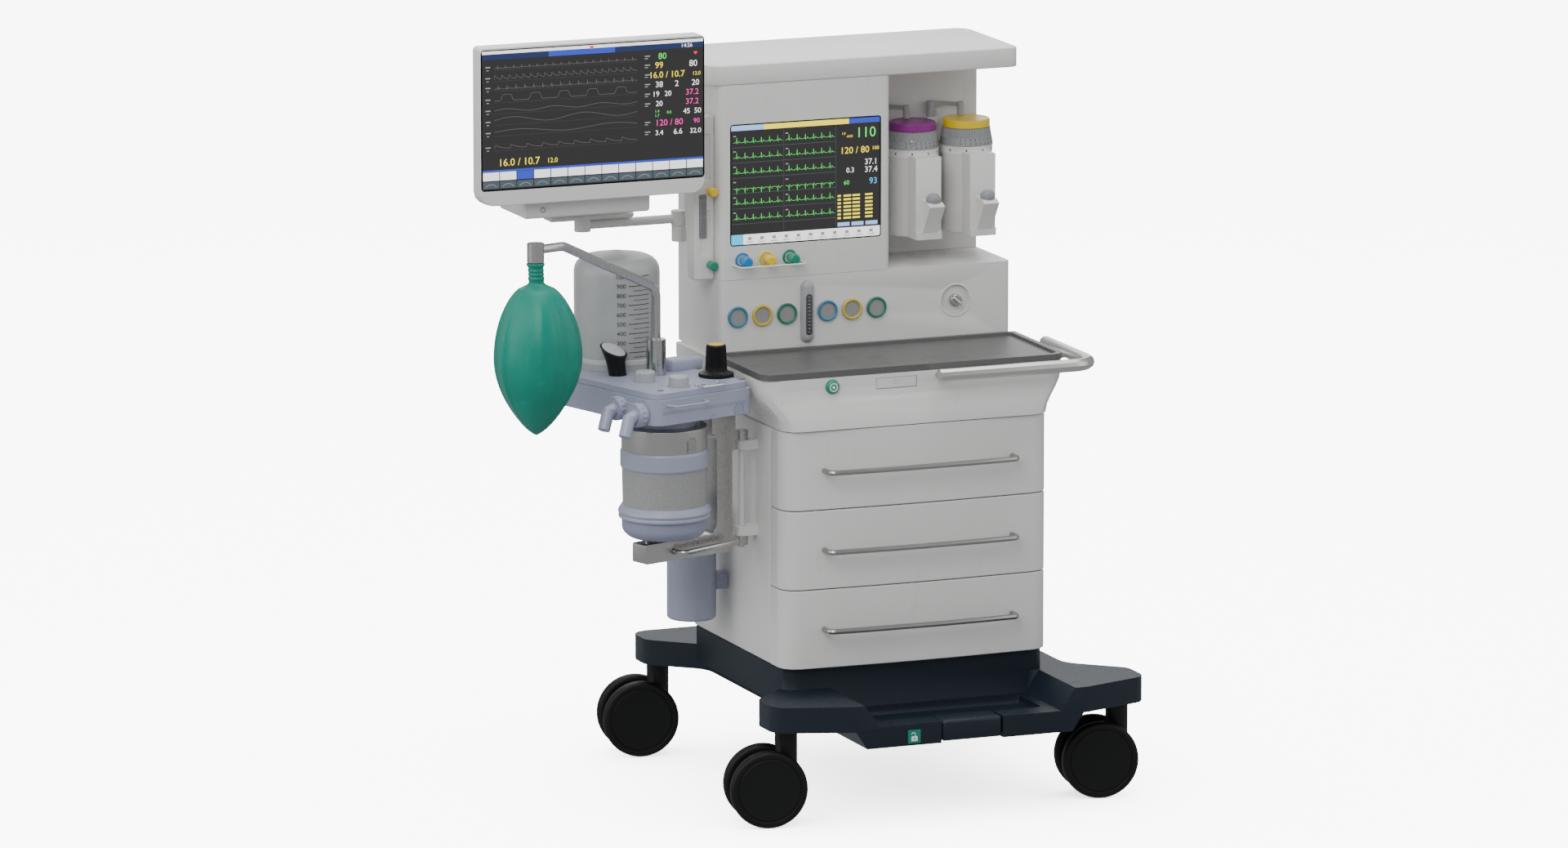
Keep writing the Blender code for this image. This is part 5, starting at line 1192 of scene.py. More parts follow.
@dataclass
class Worktop:
    """Work surface with its rim, and the hand rail."""

    def build(self) -> None:
        """Softens both."""
        refined("work_surface", "trolley", 0.0008)
        refined(
            "hand_rail", "trolley", 0.0, {"satin_steel": Brushed((0.58, 0.57, 0.55), 0.30, lines=900.0)}
        )


@dataclass
class GaugePanel:
    """Pressure gauges, flow tube and power switch."""

    pitch: float = 0.051
    ring_outer: float = 0.0206
    ring_inner: float = 0.0158
    proud: float = 0.0030
    face_grey: Colour = (0.27, 0.27, 0.268)
    key_turn: float = -48.0

    def build(self) -> None:
        """Builds the panel."""
        refined("gauge_housing", "trolley", 0.002)
        refined("pressure_gauges", "trolley", 0.0006)
        self.make_gauges()
        self.make_flow_tube()
        self.make_switch()

    def make_gauges(self) -> None:
        """Coloured bezels with a step, and round plain faces."""
        low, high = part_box("pressure_gauges")
        radius, z, pitch = (high.z - low.z) / 2, (low.z + high.z) / 2, self.pitch
        left = low.x + radius
        right = high.x - radius
        places = [left, left + pitch, left + 2 * pitch, right - 2 * pitch, right - pitch, right]
        inks = [Slot.BLUE, Slot.YELLOW, Slot.GREEN, Slot.BLUE, Slot.YELLOW, Slot.GREEN]
        o, i, p = self.ring_outer, self.ring_inner, self.proud
        softened = {
            Slot.BLUE: (0.03, 0.20, 0.34),
            Slot.YELLOW: (0.62, 0.46, 0.02),
            Slot.GREEN: (0.004, 0.17, 0.11),
        }
        profile = filleted(
            [
                (i, -0.001, 0), (i, p - 0.0012, 0.0003), (i + 0.0012, p, 0.0008), (o - 0.0012, p, 0.0010),
                (o, p - 0.0016, 0.001), (o, -0.001, 0),
            ],
        )
        for number, (x, ink) in enumerate(zip(places, inks)):
            place = facing((x, low.y + 0.0002, z), (0, -1, 0))
            ring = turned_ring(profile, 72).placed(place)
            piece(f"gauge_ring_{number}", ring, Moulded(softened[ink], 0.36, coat=0.2), "trolley")
            face = turned(
                np.array(
                    [
                        [0, -0.0005], [i + 0.0004, -0.0005], [i + 0.0004, 0.0004], [0.0026, 0.0004],
                        [0.0022, 0.0004], [0, 0.0004],
                    ],
                ),
                48,
            )
            piece(f"gauge_face_{number}", face.placed(place), Moulded(self.face_grey, 0.5), "trolley")

    def make_flow_tube(self) -> None:
        """White capsule with a grey window and scale ticks."""
        refined("auxiliary_flowmeter", "trolley", 0.002)
        low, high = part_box("auxiliary_flowmeter")
        x, z, tall = (low.x + high.x) / 2, (low.z + high.z) / 2, high.z - low.z
        window = plate(0.0125, tall * 0.66, 0.0060, 0.0014, 0.0008).at(x, low.y + 0.0006, z - 0.004)
        piece("flow_window", window, Glassy((0.055, 0.055, 0.058), 0.18), "trolley")
        ticks = [
            plate(0.0052, 0.0005, 0.0002, 0.0002, 0.0001).at(x, low.y - 0.0008, z - 0.004 + step * 0.0068)
            for step in range(-5, 6)
        ]
        piece("flow_ticks", joined(ticks), Moulded((0.75, 0.75, 0.75), 0.4), "trolley")

    def make_switch(self) -> None:
        """Satin knob with a bright key bar, in a ring that stands off the dish."""
        refined("power_switch", "power_switch", 0.001)
        low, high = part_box("power_switch")
        place = facing(((low.x + high.x) / 2, low.y, (low.z + high.z) / 2), (0, -1, 0))
        key = plate(0.0052, 0.0225, 0.0025, 0.0065, 0.0018).placed(spin("Y", self.key_turn))
        chrome = Brushed((0.80, 0.80, 0.79), 0.12, lines=500.0)
        centre = place.translation
        piece("switch_key", key.at(centre.x, centre.y + 0.0015, centre.z), chrome, "power_switch")
        ring = filleted(
            [(0.0300, 0.0, 0), (0.0300, 0.0016, 0.0008), (0.0325, 0.0016, 0.0008), (0.0325, 0.0, 0)],
        )
        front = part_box("gauge_housing")[0].y
        spot = facing((centre.x, front + 0.0002, centre.z), (0, -1, 0))
        piece("switch_rim", turned_ring(ring, 72).placed(spot), Slot.COVER, "trolley")


def turned_ring(profile: Array, steps: int = 72) -> Skin:
    """A ring about +Z whose profile is a closed loop: the same turn as a solid of revolution, without
    end faces.

    Args:
        profile: Points of radius and height round the section; the last joins the first.
        steps: Pieces in a full turn.

    Returns:
        The surface.
    """
    profile = np.concatenate([profile, profile[:1]])
    angle = np.arange(steps) * TAU / steps
    radius, height = profile[:, 0][:, None], profile[:, 1][:, None]
    points = np.stack([radius * np.cos(angle), radius * np.sin(angle), height + 0 * angle], axis=-1)
    return grid(points, ends=False)


@dataclass
class DisplayUnit:
    """Display housing with its screen, flow controls, guard and shelf."""

    def build(self) -> None:
        """Builds the unit."""
        refined("display_housing", "trolley", 0.0016)
        refined("top_shelf", "trolley", 0.0025)
        self.make_picture()
        for name in ("blue", "yellow", "green"):
            refined("flow_knob_" + name, "flow_knob_" + name, 0.0012, angle=40)
            self.make_collar(name)

    def make_collar(self, name: str) -> None:
        """A bezel ring round a flow control's stem."""
        low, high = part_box("flow_knob_" + name)
        ring = filleted(
            [(0.0112, 0.0, 0), (0.0112, 0.0030, 0.0010), (0.0142, 0.0030, 0.0012), (0.0150, 0.0, 0)],
        )
        spot = facing(((low.x + high.x) / 2, 0.0207, (low.z + high.z) / 2), (0, -1, 0))
        piece("flow_collar_" + name, turned_ring(ring, 48).placed(spot), Slot(f"knob_{name}"), "trolley")

    def make_picture(self) -> None:
        """Twelve heart traces in two columns, a column of numerals, and the tool bar."""
        art = Picture("display_glass", "trolley", 0.0012)
        art.bar(Ink.FIELD, 0, 0, 1, 1)
        art.bar(Ink.SKY, 0, 0.955, 0.22, 0.045, 2)
        art.bar(Ink.YELLOW, 0.22, 0.955, 0.57, 0.045, 2)
        art.bar(Ink.ROYAL, 0.79, 0.955, 0.21, 0.045, 2)
        art.bar(Ink.WHITE, 0, 0, 1, 0.085, 2)
        art.bar(Ink.CYAN, 0, 0, 0.082, 0.085, 3)
        for start in (0.015, 0.365):
            for row in range(6):
                v = 0.875 - row * 0.128
                kind_high = 0.045 if row != 3 else -0.045
                art.trace(Ink.GREEN, start, start + 0.33, v - 0.02, kind_high, 6.0, "beat", 0.0006)
                art.bar(Ink.SLATE, start - 0.01, v - 0.062, 0.345, 0.0035, 2)
                art.bar(Ink.LABEL, start, v + 0.030, 0.018, 0.009, 2)
        art.bar(Ink.SLATE, 0.352, 0.10, 0.002, 0.85, 2)
        art.bar(Ink.SLATE, 0.702, 0.10, 0.002, 0.85, 2)
        for text, u, v, size, ink in (
            ("110", 0.905, 0.835, 0.085, Ink.GREEN), ("120 / 80", 0.83, 0.705, 0.055, Ink.YELLOW),
            ("100", 0.97, 0.725, 0.03, Ink.YELLOW), ("37.1", 0.94, 0.605, 0.048, Ink.WHITE),
            ("37.4", 0.94, 0.540, 0.048, Ink.WHITE), ("0.3", 0.80, 0.545, 0.042, Ink.WHITE),
            ("60", 0.775, 0.445, 0.036, Ink.GREEN), ("93", 0.955, 0.440, 0.052, Ink.CYAN),
            ("1.0", 0.755, 0.865, 0.020, Ink.YELLOW), ("-0.03", 0.795, 0.840, 0.020, Ink.YELLOW),
        ):
            art.words(ink, text, u, v, size)
        for row in range(7):
            v = 0.345 - row * 0.031
            for u, wide in ((0.715, 0.022), (0.755, 0.05), (0.815, 0.05), (0.90, 0.05)):
                art.bar(Ink.YELLOW, u, v, wide, 0.016, 2)
        for step in range(3):
            art.bar(Ink.SKY, 0.715 + step * 0.094, 0.098, 0.080, 0.032, 2)
        for step in range(11):
            u = 0.125 + step * 0.0815
            art.bar(Ink.LABEL, u - 0.012, 0.036, 0.024, 0.026, 3)
            art.bar(Ink.LABEL, u - 0.022, 0.016, 0.044, 0.007, 3)
        art.finish("display", 1.9)
        self.make_bezel()

    def make_bezel(self) -> None:
        """Thin dark band round the glass's edge: painted shade of the recess that the glass sits in."""
        low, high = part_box("display_glass")
        outer = rectangle(high.x - low.x + 0.0010, high.z - low.z + 0.0010, 0.004)
        inner = rectangle(high.x - low.x - 0.0030, high.z - low.z - 0.0030, 0.003)
        front, rear = low.y - 0.0011, low.y + 0.0008
        rows = [(outer, rear), (outer, front), (inner, front), (inner, rear), (outer, rear)]
        points = np.array(
            [np.column_stack([line[:, 0], np.full(len(line), y), line[:, 1]]) for line, y in rows],
        )
        recess_shade = grid(points, ends=False).at((low.x + high.x) / 2, 0, (low.z + high.z) / 2)
        piece("display_gasket", recess_shade, Slot.BLACK, "trolley")


@dataclass
class Monitor:
    """Patient monitor on its swinging arm."""

    chin_setback: float = 0.0300

    def build(self) -> None:
        """Builds the monitor."""
        refined("monitor_arm_clamp", "trolley", 0.0012)
        refined("monitor_arm", "monitor_arm", 0.0)
        refined("monitor_swivel_plate", "monitor_mount", 0.001)
        refined("monitor_housing", "monitor", 0.003)
        self.make_picture()
        self.make_power_key()

    def make_picture(self) -> None:
        """Eight thin traces, a column of numerals, a clock bar and two rows of keys."""
        art = Picture("monitor_glass", "monitor", 0.0010)
        art.bar(Ink.FIELD, 0, 0, 1, 1)
        art.bar(Ink.WHITE, 0, 0.978, 1, 0.022, 2)
        art.bar(Ink.NAVY, 0, 0.938, 1, 0.040, 2)
        art.bar(Ink.ROYAL, 0.30, 0.938, 0.30, 0.040, 3)
        art.add(
            Ink.RED, heart(0.0085).at(art.left + 0.495 * art.width, 0, art.bottom + 0.985 * art.height), 4
        )
        art.words(Ink.WHITE, "14:26", 0.925, 0.944, 0.028, 4)
        rows = (
            (0.875, 0.022, 18, "beat"), (0.795, 0.040, 20, "flow"), (0.725, 0.030, 16, "beat"),
            (0.640, 0.045, 5, "breath"), (0.560, 0.020, 3, "swell"), (0.480, 0.040, 2, "swell"),
            (0.400, 0.030, 1.5, "swell"), (0.295, 0.035, 9, "flow"),
        )
        for v, high, beats, kind in rows:
            art.trace(Ink.TRACE, 0.055, 0.70, v, high, beats, kind, 0.0005)
            art.dots(Ink.TRACE, 0.055, 0.70, v - 0.014, 150, 0.00045)
            art.bar(Ink.LABEL, 0.015, v + 0.006, 0.022, 0.008, 2)
            art.bar(Ink.LABEL, 0.020, v - 0.016, 0.010, 0.006, 2)
        for text, u, v, size, ink in (
            ("80", 0.815, 0.868, 0.045, Ink.GREEN), ("99", 0.800, 0.803, 0.045, Ink.YELLOW),
            ("80", 0.955, 0.803, 0.045, Ink.WHITE), ("16.0 / 10.7", 0.835, 0.733, 0.045, Ink.YELLOW),
            ("12.0", 0.970, 0.738, 0.026, Ink.YELLOW), ("38", 0.800, 0.665, 0.042, Ink.WHITE),
            ("2", 0.880, 0.665, 0.042, Ink.WHITE), ("20", 0.965, 0.665, 0.042, Ink.WHITE),
            ("19", 0.785, 0.598, 0.038, Ink.WHITE), ("20", 0.840, 0.598, 0.038, Ink.WHITE),
            ("37.2", 0.950, 0.598, 0.042, Ink.MAGENTA), ("20", 0.800, 0.528, 0.038, Ink.WHITE),
            ("37.2", 0.950, 0.530, 0.042, Ink.MAGENTA), ("1.4", 0.790, 0.482, 0.020, Ink.GREEN),
            ("1.7", 0.790, 0.450, 0.020, Ink.GREEN), ("0.0", 0.845, 0.470, 0.020, Ink.GREEN),
            ("45", 0.925, 0.462, 0.038, Ink.WHITE), ("50", 0.975, 0.462, 0.038, Ink.WHITE),
            ("120 / 80", 0.845, 0.385, 0.045, Ink.MAGENTA), ("90", 0.970, 0.390, 0.035, Ink.MAGENTA),
            ("3.4", 0.800, 0.318, 0.036, Ink.WHITE), ("6.6", 0.885, 0.318, 0.040, Ink.WHITE),
            ("32.0", 0.965, 0.318, 0.036, Ink.WHITE), ("16.0 / 10.7", 0.165, 0.168, 0.052, Ink.YELLOW),
            ("12.0", 0.315, 0.172, 0.034, Ink.YELLOW),
        ):
            art.words(ink, text, u, v, size)
        art.add(
            Ink.RED, heart(0.0075).at(art.left + 0.965 * art.width, 0, art.bottom + 0.900 * art.height), 3
        )
        for v in (0.89, 0.825, 0.755, 0.685, 0.615, 0.545, 0.41, 0.34):
            art.bar(Ink.LABEL, 0.735, v, 0.024, 0.008, 2)
            art.bar(Ink.LABEL, 0.735, v - 0.016, 0.014, 0.006, 2)
        art.bar(Ink.ROYAL, 0, 0.128, 1, 0.014, 2)
        for step in range(13):
            u = step / 13
            ink = Ink.ROYAL if step == 2 else Ink.WHITE
            art.bar(ink, u + 0.002, 0.066, 1 / 13 - 0.004, 0.060, 2)
            art.bar(Ink.SLATE, u + 0.002, 0.008, 1 / 13 - 0.004, 0.050, 2)
            angle = np.linspace(math.radians(25), math.radians(155), 9)
            x = art.left + (u + 0.5 / 13) * art.width + 0.012 * np.cos(angle)
            z = art.bottom + 0.004 * art.height + 0.0095 * np.sin(angle)
            art.add(Ink.LABEL, ribbon(np.column_stack([x, z]), 0.0009), 3)
        art.finish("monitor", 1.9)

    def make_power_key(self) -> None:
        """Power key on the lower box: a ring with a bar through its top."""
        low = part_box("monitor_housing")[0]
        x, z = low.x + 0.137, low.z + 0.033
        ring = filleted(
            [(0.0040, 0, 0), (0.0040, 0.0008, 0.0003), (0.0052, 0.0008, 0.0003), (0.0052, 0, 0)],
        )
        place = facing((x, low.y + self.chin_setback, z), (0, -1, 0))
        bar = plate(0.0009, 0.0042, 0.0003, 0.0008, 0.0002).at(
            x, low.y + self.chin_setback - 0.0004, z + 0.0032
        )
        key = joined([turned_ring(ring, 40).placed(place), bar])
        piece("power_key_ring", key, Moulded((0.16, 0.16, 0.16), 0.45), "monitor")


@dataclass
class Vaporizer:
    """One vaporizer: ribbed dial with a coloured cap, marked collar, body and drain spout."""

    side: str
    cap: Slot
    cap_height: float = 0.0150
    rib_count: int = 60
    marks: int = 12
    block_reach: float = 0.084

    def build(self) -> None:
        """Builds one vaporizer."""
        refined("vaporizer_body_" + self.side, "trolley", 0.0016)
        refined("vaporizer_lock_lever_" + self.side, "vaporizer_lock_" + self.side, 0.0008)
        low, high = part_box("vaporizer_dial_" + self.side)
        self.axis = (low + high) / 2
        self.low, self.high, self.radius = low.z, high.z, (high.x - low.x) / 2
        self.make_dial()
        self.make_collar()
        self.make_drain_knob()

    def make_dial(self) -> None:
        """Conical skirt, ribbed in its upper half, under a cap with a rounded edge."""
        body = "vaporizer_dial_" + self.side
        r, top = self.radius, self.high - self.cap_height
        tall = top - self.low
        lines = np.linspace(0.0, 1.0, 33)
        cone = np.column_stack([r - 0.0015 - (0.0055 * lines), self.low + 0.0015 + (tall - 0.002) * lines])
        profile = np.concatenate(
            [[[0, self.low]], [[r - 0.003, self.low]], [[r - 0.001, self.low + 0.0008]], cone, [[0, top]]]
        )
        rib = ribs(self.rib_count, 0.030, self.low + 0.45 * tall, top - 0.001)
        grey = Moulded((0.27, 0.275, 0.28), 0.42)
        skirt = turned(profile, self.rib_count * 6, rib).at(self.axis.x, self.axis.y, 0)
        piece("dial_skirt_" + self.side, skirt, grey, body, ["vaporizer_dial_" + self.side])
        cap_radius = r - 0.0072
        cap = filleted(
            [
                (0, top, 0), (cap_radius, top, 0.0006), (cap_radius, self.high - 0.0022, 0.0006),
                (cap_radius - 0.0010, self.high - 0.0018, 0.0006), (cap_radius - 0.0010, self.high, 0.0030),
                (cap_radius - 0.0060, self.high, 0.0006), (cap_radius - 0.0068, self.high - 0.0008, 0.0004),
                (0, self.high - 0.0006, 0),
            ],
        )
        piece("dial_cap_" + self.side, turned(cap, 96).at(self.axis.x, self.axis.y, 0), self.cap, body)
        marks = []
        for step in range(self.marks):
            text = lettering(str(step), 0.0066).at(0, -0.0003, self.low + 0.0030)
            tick = plate(0.0009, 0.0040, 0.0002, 0.0002, 0.0001).at(0, 0, self.low + 0.0125)
            angle = math.radians(-125 + step * 11)
            slope = r - 0.0009
            marks += [wrapped(text, slope, angle), wrapped(tick, slope - 0.0014, angle)]
        piece(
            "dial_marks_" + self.side,
            joined(marks).at(self.axis.x, self.axis.y, 0),
            Moulded((0.015, 0.015, 0.015), 0.5),
            body,
            flat=True,
        )
        button = filleted(
            [(0, 0, 0), (0.0052, 0, 0), (0.0052, 0.0028, 0.0012), (0.0036, 0.0036, 0.0004), (0, 0.0030, 0)],
        )
        angle = math.radians(-112)
        out = Vector((math.cos(angle), math.sin(angle), 0))
        place = facing(self.axis + out * (r - 0.0040) + Vector((0, 0, self.low + 0.014 - self.axis.z)), out)
        if self.side == "left":
            piece("dial_button_left", turned(button, 40).placed(place), Slot.STEEL, body)

    def make_collar(self) -> None:
        """White ring under the dial, with small triangular pointers."""
        low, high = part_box("vaporizer_body_" + self.side)
        r = (high.x - low.x) / 2 - 0.0012
        top = high.z - 0.0003
        ring = filleted(
            [(r - 0.006, top - 0.016, 0), (r, top - 0.016, 0.001), (r, top, 0.0008), (r - 0.006, top, 0)],
        )
        white = Moulded((0.76, 0.75, 0.73), 0.36)
        piece(
            "body_collar_" + self.side,
            turned_ring(ring, 96).at(self.axis.x, self.axis.y, 0),
            white,
            "trolley",
        )
        triangle = Skin(
            np.array([[-0.0024, 0, -0.0026], [0.0024, 0, -0.0026], [0, 0, 0.0026]]),
            np.arange(3),
            np.array([3]),
        )
        marks = [
            wrapped(triangle.at(0, -0.0004, top - 0.007), r, math.radians(angle))
            for angle in (-150, -112, -74, -40)
        ]
        piece(
            "collar_marks_" + self.side,
            joined(marks).at(self.axis.x, self.axis.y, 0),
            Moulded((0.03, 0.03, 0.03), 0.5),
            "trolley",
            flat=True,
        )


    def make_drain_knob(self) -> None:
        """Ball knob, ribbed like a file, on top of the drain spout."""
        x, front = self.axis.x + 0.002, self.axis.y - self.block_reach - 0.019
        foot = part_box("vaporizer_body_" + self.side)[0].z + 0.072
        t = np.linspace(0.0, 1.0, 19)
        ball = np.column_stack([0.0146 * np.sin(math.pi * (0.30 + 0.70 * (1 - t))), foot + 0.0225 * t])
        ball = np.concatenate([[[0, foot]], ball[:-1], [[0, foot + 0.0225]]])
        ball[1:-1, 0] = 0.0146 * np.sqrt(
            np.clip(1 - ((ball[1:-1, 1] - foot - 0.0085) / 0.0142) ** 2, 0.0, 1.0),
        )
        knurl = ribs(30, 0.045, foot + 0.001, foot + 0.0175)
        knob = turned(ball, 180, knurl).at(x, front, 0)
        piece("drain_knob_" + self.side, knob, Moulded((0.25, 0.26, 0.275), 0.5), "trolley")


@dataclass
class Vaporizers:
    """The two vaporizers side by side."""

    def build(self) -> None:
        """Builds both."""
        Vaporizer("left", Slot.PURPLE).build()
        Vaporizer("right", Slot.YELLOW).build()


@dataclass
class SideColumn:
    """Narrow flowmeter column at the left of the display, with two knobs."""

    def build(self) -> None:
        """Softens the column and adds its window."""
        refined("side_flowmeter_column", "trolley", 0.0015)
        low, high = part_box("side_flowmeter_column")
        x = (low.x + high.x) / 2 - 0.004
        window = plate(0.016, 0.085, 0.003, 0.0012, 0.0006)
        piece(
            "column_window",
            window.at(x, low.y + 0.0004, low.z + 0.125),
            Glassy((0.20, 0.20, 0.205), 0.2),
            "trolley",
        )
        lines = [
            plate(0.007, 0.0005, 0.0002, 0.0002, 0.0001).at(
                x, low.y - 0.0009, low.z + 0.090 + 0.0070 * step
            )
            for step in range(11)
        ]
        piece("column_ticks", joined(lines), Moulded((0.05, 0.05, 0.05), 0.5), "trolley")
        for name in ("upper", "lower"):
            refined("side_knob_" + name, "side_knob_" + name, 0.0012, angle=40)


@dataclass
class BreathingSystem:
    """Valve block, dome, adjustable valve, selector and bag support."""

    turn: float = 17.0
    dome_wall: float = 0.0835
    selector: tuple[float, float] = (-0.203, 0.124)
    ports: tuple[tuple[float, float], ...] = ((-0.046, 0.794), (0.018, 0.798))
    port_face: float = -0.278
    slant: float = 0.22
    tip: float = 0.62
    scale_turn: float = -97.0
    scale_pitch: float = 0.0184
    numeral: float = 0.0120

    def build(self) -> None:
        """Builds the system."""
        joint = next(item for item in frame["joints"] if item["name"] == "breathing_system_swing")
        self.origin = Vector(joint["pos_m"])
        self.place = Matrix.Translation((self.origin.x, self.origin.y, 0)) @ spin("Z", self.turn)
        self.plate_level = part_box("bellows_dome")[0].z
        refined("breathing_block", "breathing_system", 0.0025)
        refined("breathing_top_plate", "breathing_system", 0.0016)
        refined("absorber_bracket", "breathing_system", 0.0022)
        refined("canister_release_handle", "canister_release", 0.0008)
        refined("bellows_plate", "bellows", 0.0004)
        refined("bellows", "bellows", 0.0)
        refined(
            "bag_arm",
            "bag_arm",
            0.0,
            {"satin_steel": Brushed((0.52, 0.51, 0.50), 0.26, lines=700.0, along=Along.Z)},
        )
        self.make_dome()
        self.make_valve()
        self.make_bail()
        self.make_caps()
        self.make_screws()
        self.make_badge()
        self.make_selector()
        self.make_port_collars()

    def make_dome(self) -> None:
        """Frosted dome with a scale, and a light ring round its foot."""
        refined("bellows_dome", "breathing_system", 0.0, angle=40)
        low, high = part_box("bellows_dome")
        centre = (low + high) / 2
        r = self.dome_wall
        angle = math.radians(self.scale_turn)
        marks, pitch, first = [], self.scale_pitch, low.z + 0.018
        for step in range(10):
            z = first + pitch * step
            wide = ribbon(np.column_stack([np.linspace(0.002, 0.048, 24), np.full(24, z)]), 0.0013)
            marks.append(wrapped(wide, r + 0.0003, angle))
            if step:
                text = lettering(str(100 * (step + 1)), self.numeral).at(-0.012, -0.0004, z - 0.0036)
                marks.append(wrapped(text, r, angle))
            if step < 9:
                short = ribbon(
                    np.column_stack([np.linspace(0.012, 0.048, 20), np.full(20, z + pitch / 2)]), 0.0010
                )
                marks.append(wrapped(short, r + 0.0003, angle))
        black = Moulded((0.02, 0.02, 0.02), 0.5)
        piece("dome_scale", joined(marks).at(centre.x, centre.y, 0), black, "breathing_system", flat=True)
        foot = filleted(
            [
                (r + 0.0004, low.z + 0.0215, 0), (r + 0.0022, low.z + 0.0205, 0.0006),
                (r + 0.0030, low.z + 0.006, 0.001), (r + 0.0030, low.z + 0.0008, 0.0004),
                (r + 0.0004, low.z + 0.0004, 0),
            ],
        )
        pale = Frosted((0.52, 0.53, 0.53), 0.9)
        piece("dome_foot", turned_ring(foot, 96).at(centre.x, centre.y, 0), pale, "breathing_system")

    def make_valve(self) -> None:
        """Adjustable pressure valve: knurled skirt, fluted grip and a yellow top disc."""
        low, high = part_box("apl_valve_knob")
        x, y, r = (low.x + high.x) / 2, (low.y + high.y) / 2, (high.x - low.x) / 2
        z, top = low.z, high.z
        flange = np.concatenate(
            [
                filleted(
                    [(0, z + 0.0005, 0), (r - 0.004, z + 0.0005, 0.001), (r - 0.0015, z + 0.003, 0.001)],
                ),
                np.column_stack([np.full(7, r - 0.001), np.linspace(z + 0.0035, z + 0.0115, 7)]),
                filleted(
                    [
                        (r - 0.002, z + 0.0125, 0), (r - 0.006, z + 0.0135, 0.001),
                        (r - 0.0155, z + 0.019, 0.002), (0, z + 0.0195, 0),
                    ],
                ),
            ],
        )
        knurl = ribs(36, 0.035, z + 0.0030, z + 0.0120)
        piece(
            "valve_skirt",
            turned(flange, 216, knurl).at(x, y, 0),
            Slot.BLACK,
            "apl_valve_knob",
            ["apl_valve_knob"],
        )
        grip_radius = 0.0200
        levels = np.linspace(z + 0.0185, top - 0.0035, 12)
        side = np.column_stack(
            [grip_radius + 0.0012 - 0.0022 * (levels - levels[0]) / (levels[-1] - levels[0]), levels],
        )
        grip = np.concatenate(
            [
                [[0, z + 0.0180]],
                [[grip_radius, z + 0.0180]],
                side,
                filleted(
                    [
                        (grip_radius - 0.0012, top - 0.0032, 0),
                        (grip_radius - 0.0030, top - 0.0006, 0.0012),
                        (0, top - 0.0006, 0),
                    ],
                ),
            ],
        )
        flute = ribs(28, 0.075, z + 0.0186, top - 0.0034)
        piece("valve_grip", turned(grip, 224, flute).at(x, y, 0), Slot.BLACK, "apl_valve_knob")
        disc = filleted(
            [(0, top - 0.0008, 0), (0.0150, top - 0.0008, 0), (0.0150, top - 0.0001, 0.0004), (0, top, 0)],
        )
        piece("valve_disc", turned(disc, 72).at(x, y, 0), Slot.YELLOW, "apl_valve_knob")

    def make_bail(self) -> None:
        """Bright wire bail, level on the plate, that reaches past the block's front edge."""
        level = self.plate_level + 0.0035
        left, right, back, front = -0.162, -0.112, -0.066, -0.0925
        path = filleted(
            [
                (left, back, level, 0), (left, front, level, 0.007), (right, front, level, 0.007),
                (right, back, level, 0),
            ],
            8,
        )
        wire = swept(path, 0.0021, (0, 0, 1), 14)
        feet = [
            turned(
                filleted([(0, -0.0040, 0), (0.0034, -0.0040, 0), (0.0034, 0.0026, 0.0012), (0, 0.0026, 0)]),
                24,
            ).at(x, back, level)
            for x in (left, right)
        ]
        piece(
            "block_bail",
            joined([wire, *feet]).placed(self.place),
            Brushed((0.78, 0.78, 0.77), 0.14),
            "breathing_system",
        )

    def make_caps(self) -> None:
        """Light grey check-valve caps: slightly tapered, with a rounded top and a ring groove at the foot."""
        level = self.plate_level
        caps = []
        for x, y in ((-0.200, 0.0436), (-0.1815, -0.0356)):
            profile = filleted(
                [
                    (0, level + 0.0002, 0), (0.0228, level + 0.0002, 0), (0.0228, level + 0.0016, 0.0008),
                    (0.0202, level + 0.0016, 0.0006), (0.0202, level + 0.0006, 0.0002),
                    (0.0198, level + 0.0006, 0), (0.0193, level + 0.0192, 0.0040), (0, level + 0.0196, 0),
                ],
            )
            caps.append(turned(profile, 72).at(x, y, 0))
        piece(
            "valve_caps",
            joined(caps).placed(self.place),
            Moulded((0.36, 0.37, 0.385), 0.4),
            "breathing_system",
        )

    def make_screws(self) -> None:
        """Flat oval screws let into the top plate."""
        dark = Moulded((0.10, 0.11, 0.13), 0.4)
        heads = []
        for x, y in ((-0.239, -0.053), (-0.141, -0.0575), (-0.046, -0.060)):
            head = turned(
                filleted(
                    [
                        (0, -0.0002, 0), (0.0058, -0.0002, 0), (0.0058, 0.0004, 0.0003),
                        (0.0048, 0.0004, 0.0002), (0.0030, -0.0001, 0.0004), (0, -0.0001, 0),
                    ],
                ),
                36,
            )
            flat = Skin(head.points * np.array([1.35, 0.9, 1.0]), head.corners, head.sizes)
            heads.append(flat.at(x, y, self.plate_level))
        piece("plate_screws", joined(heads).placed(self.place), dark, "breathing_system")

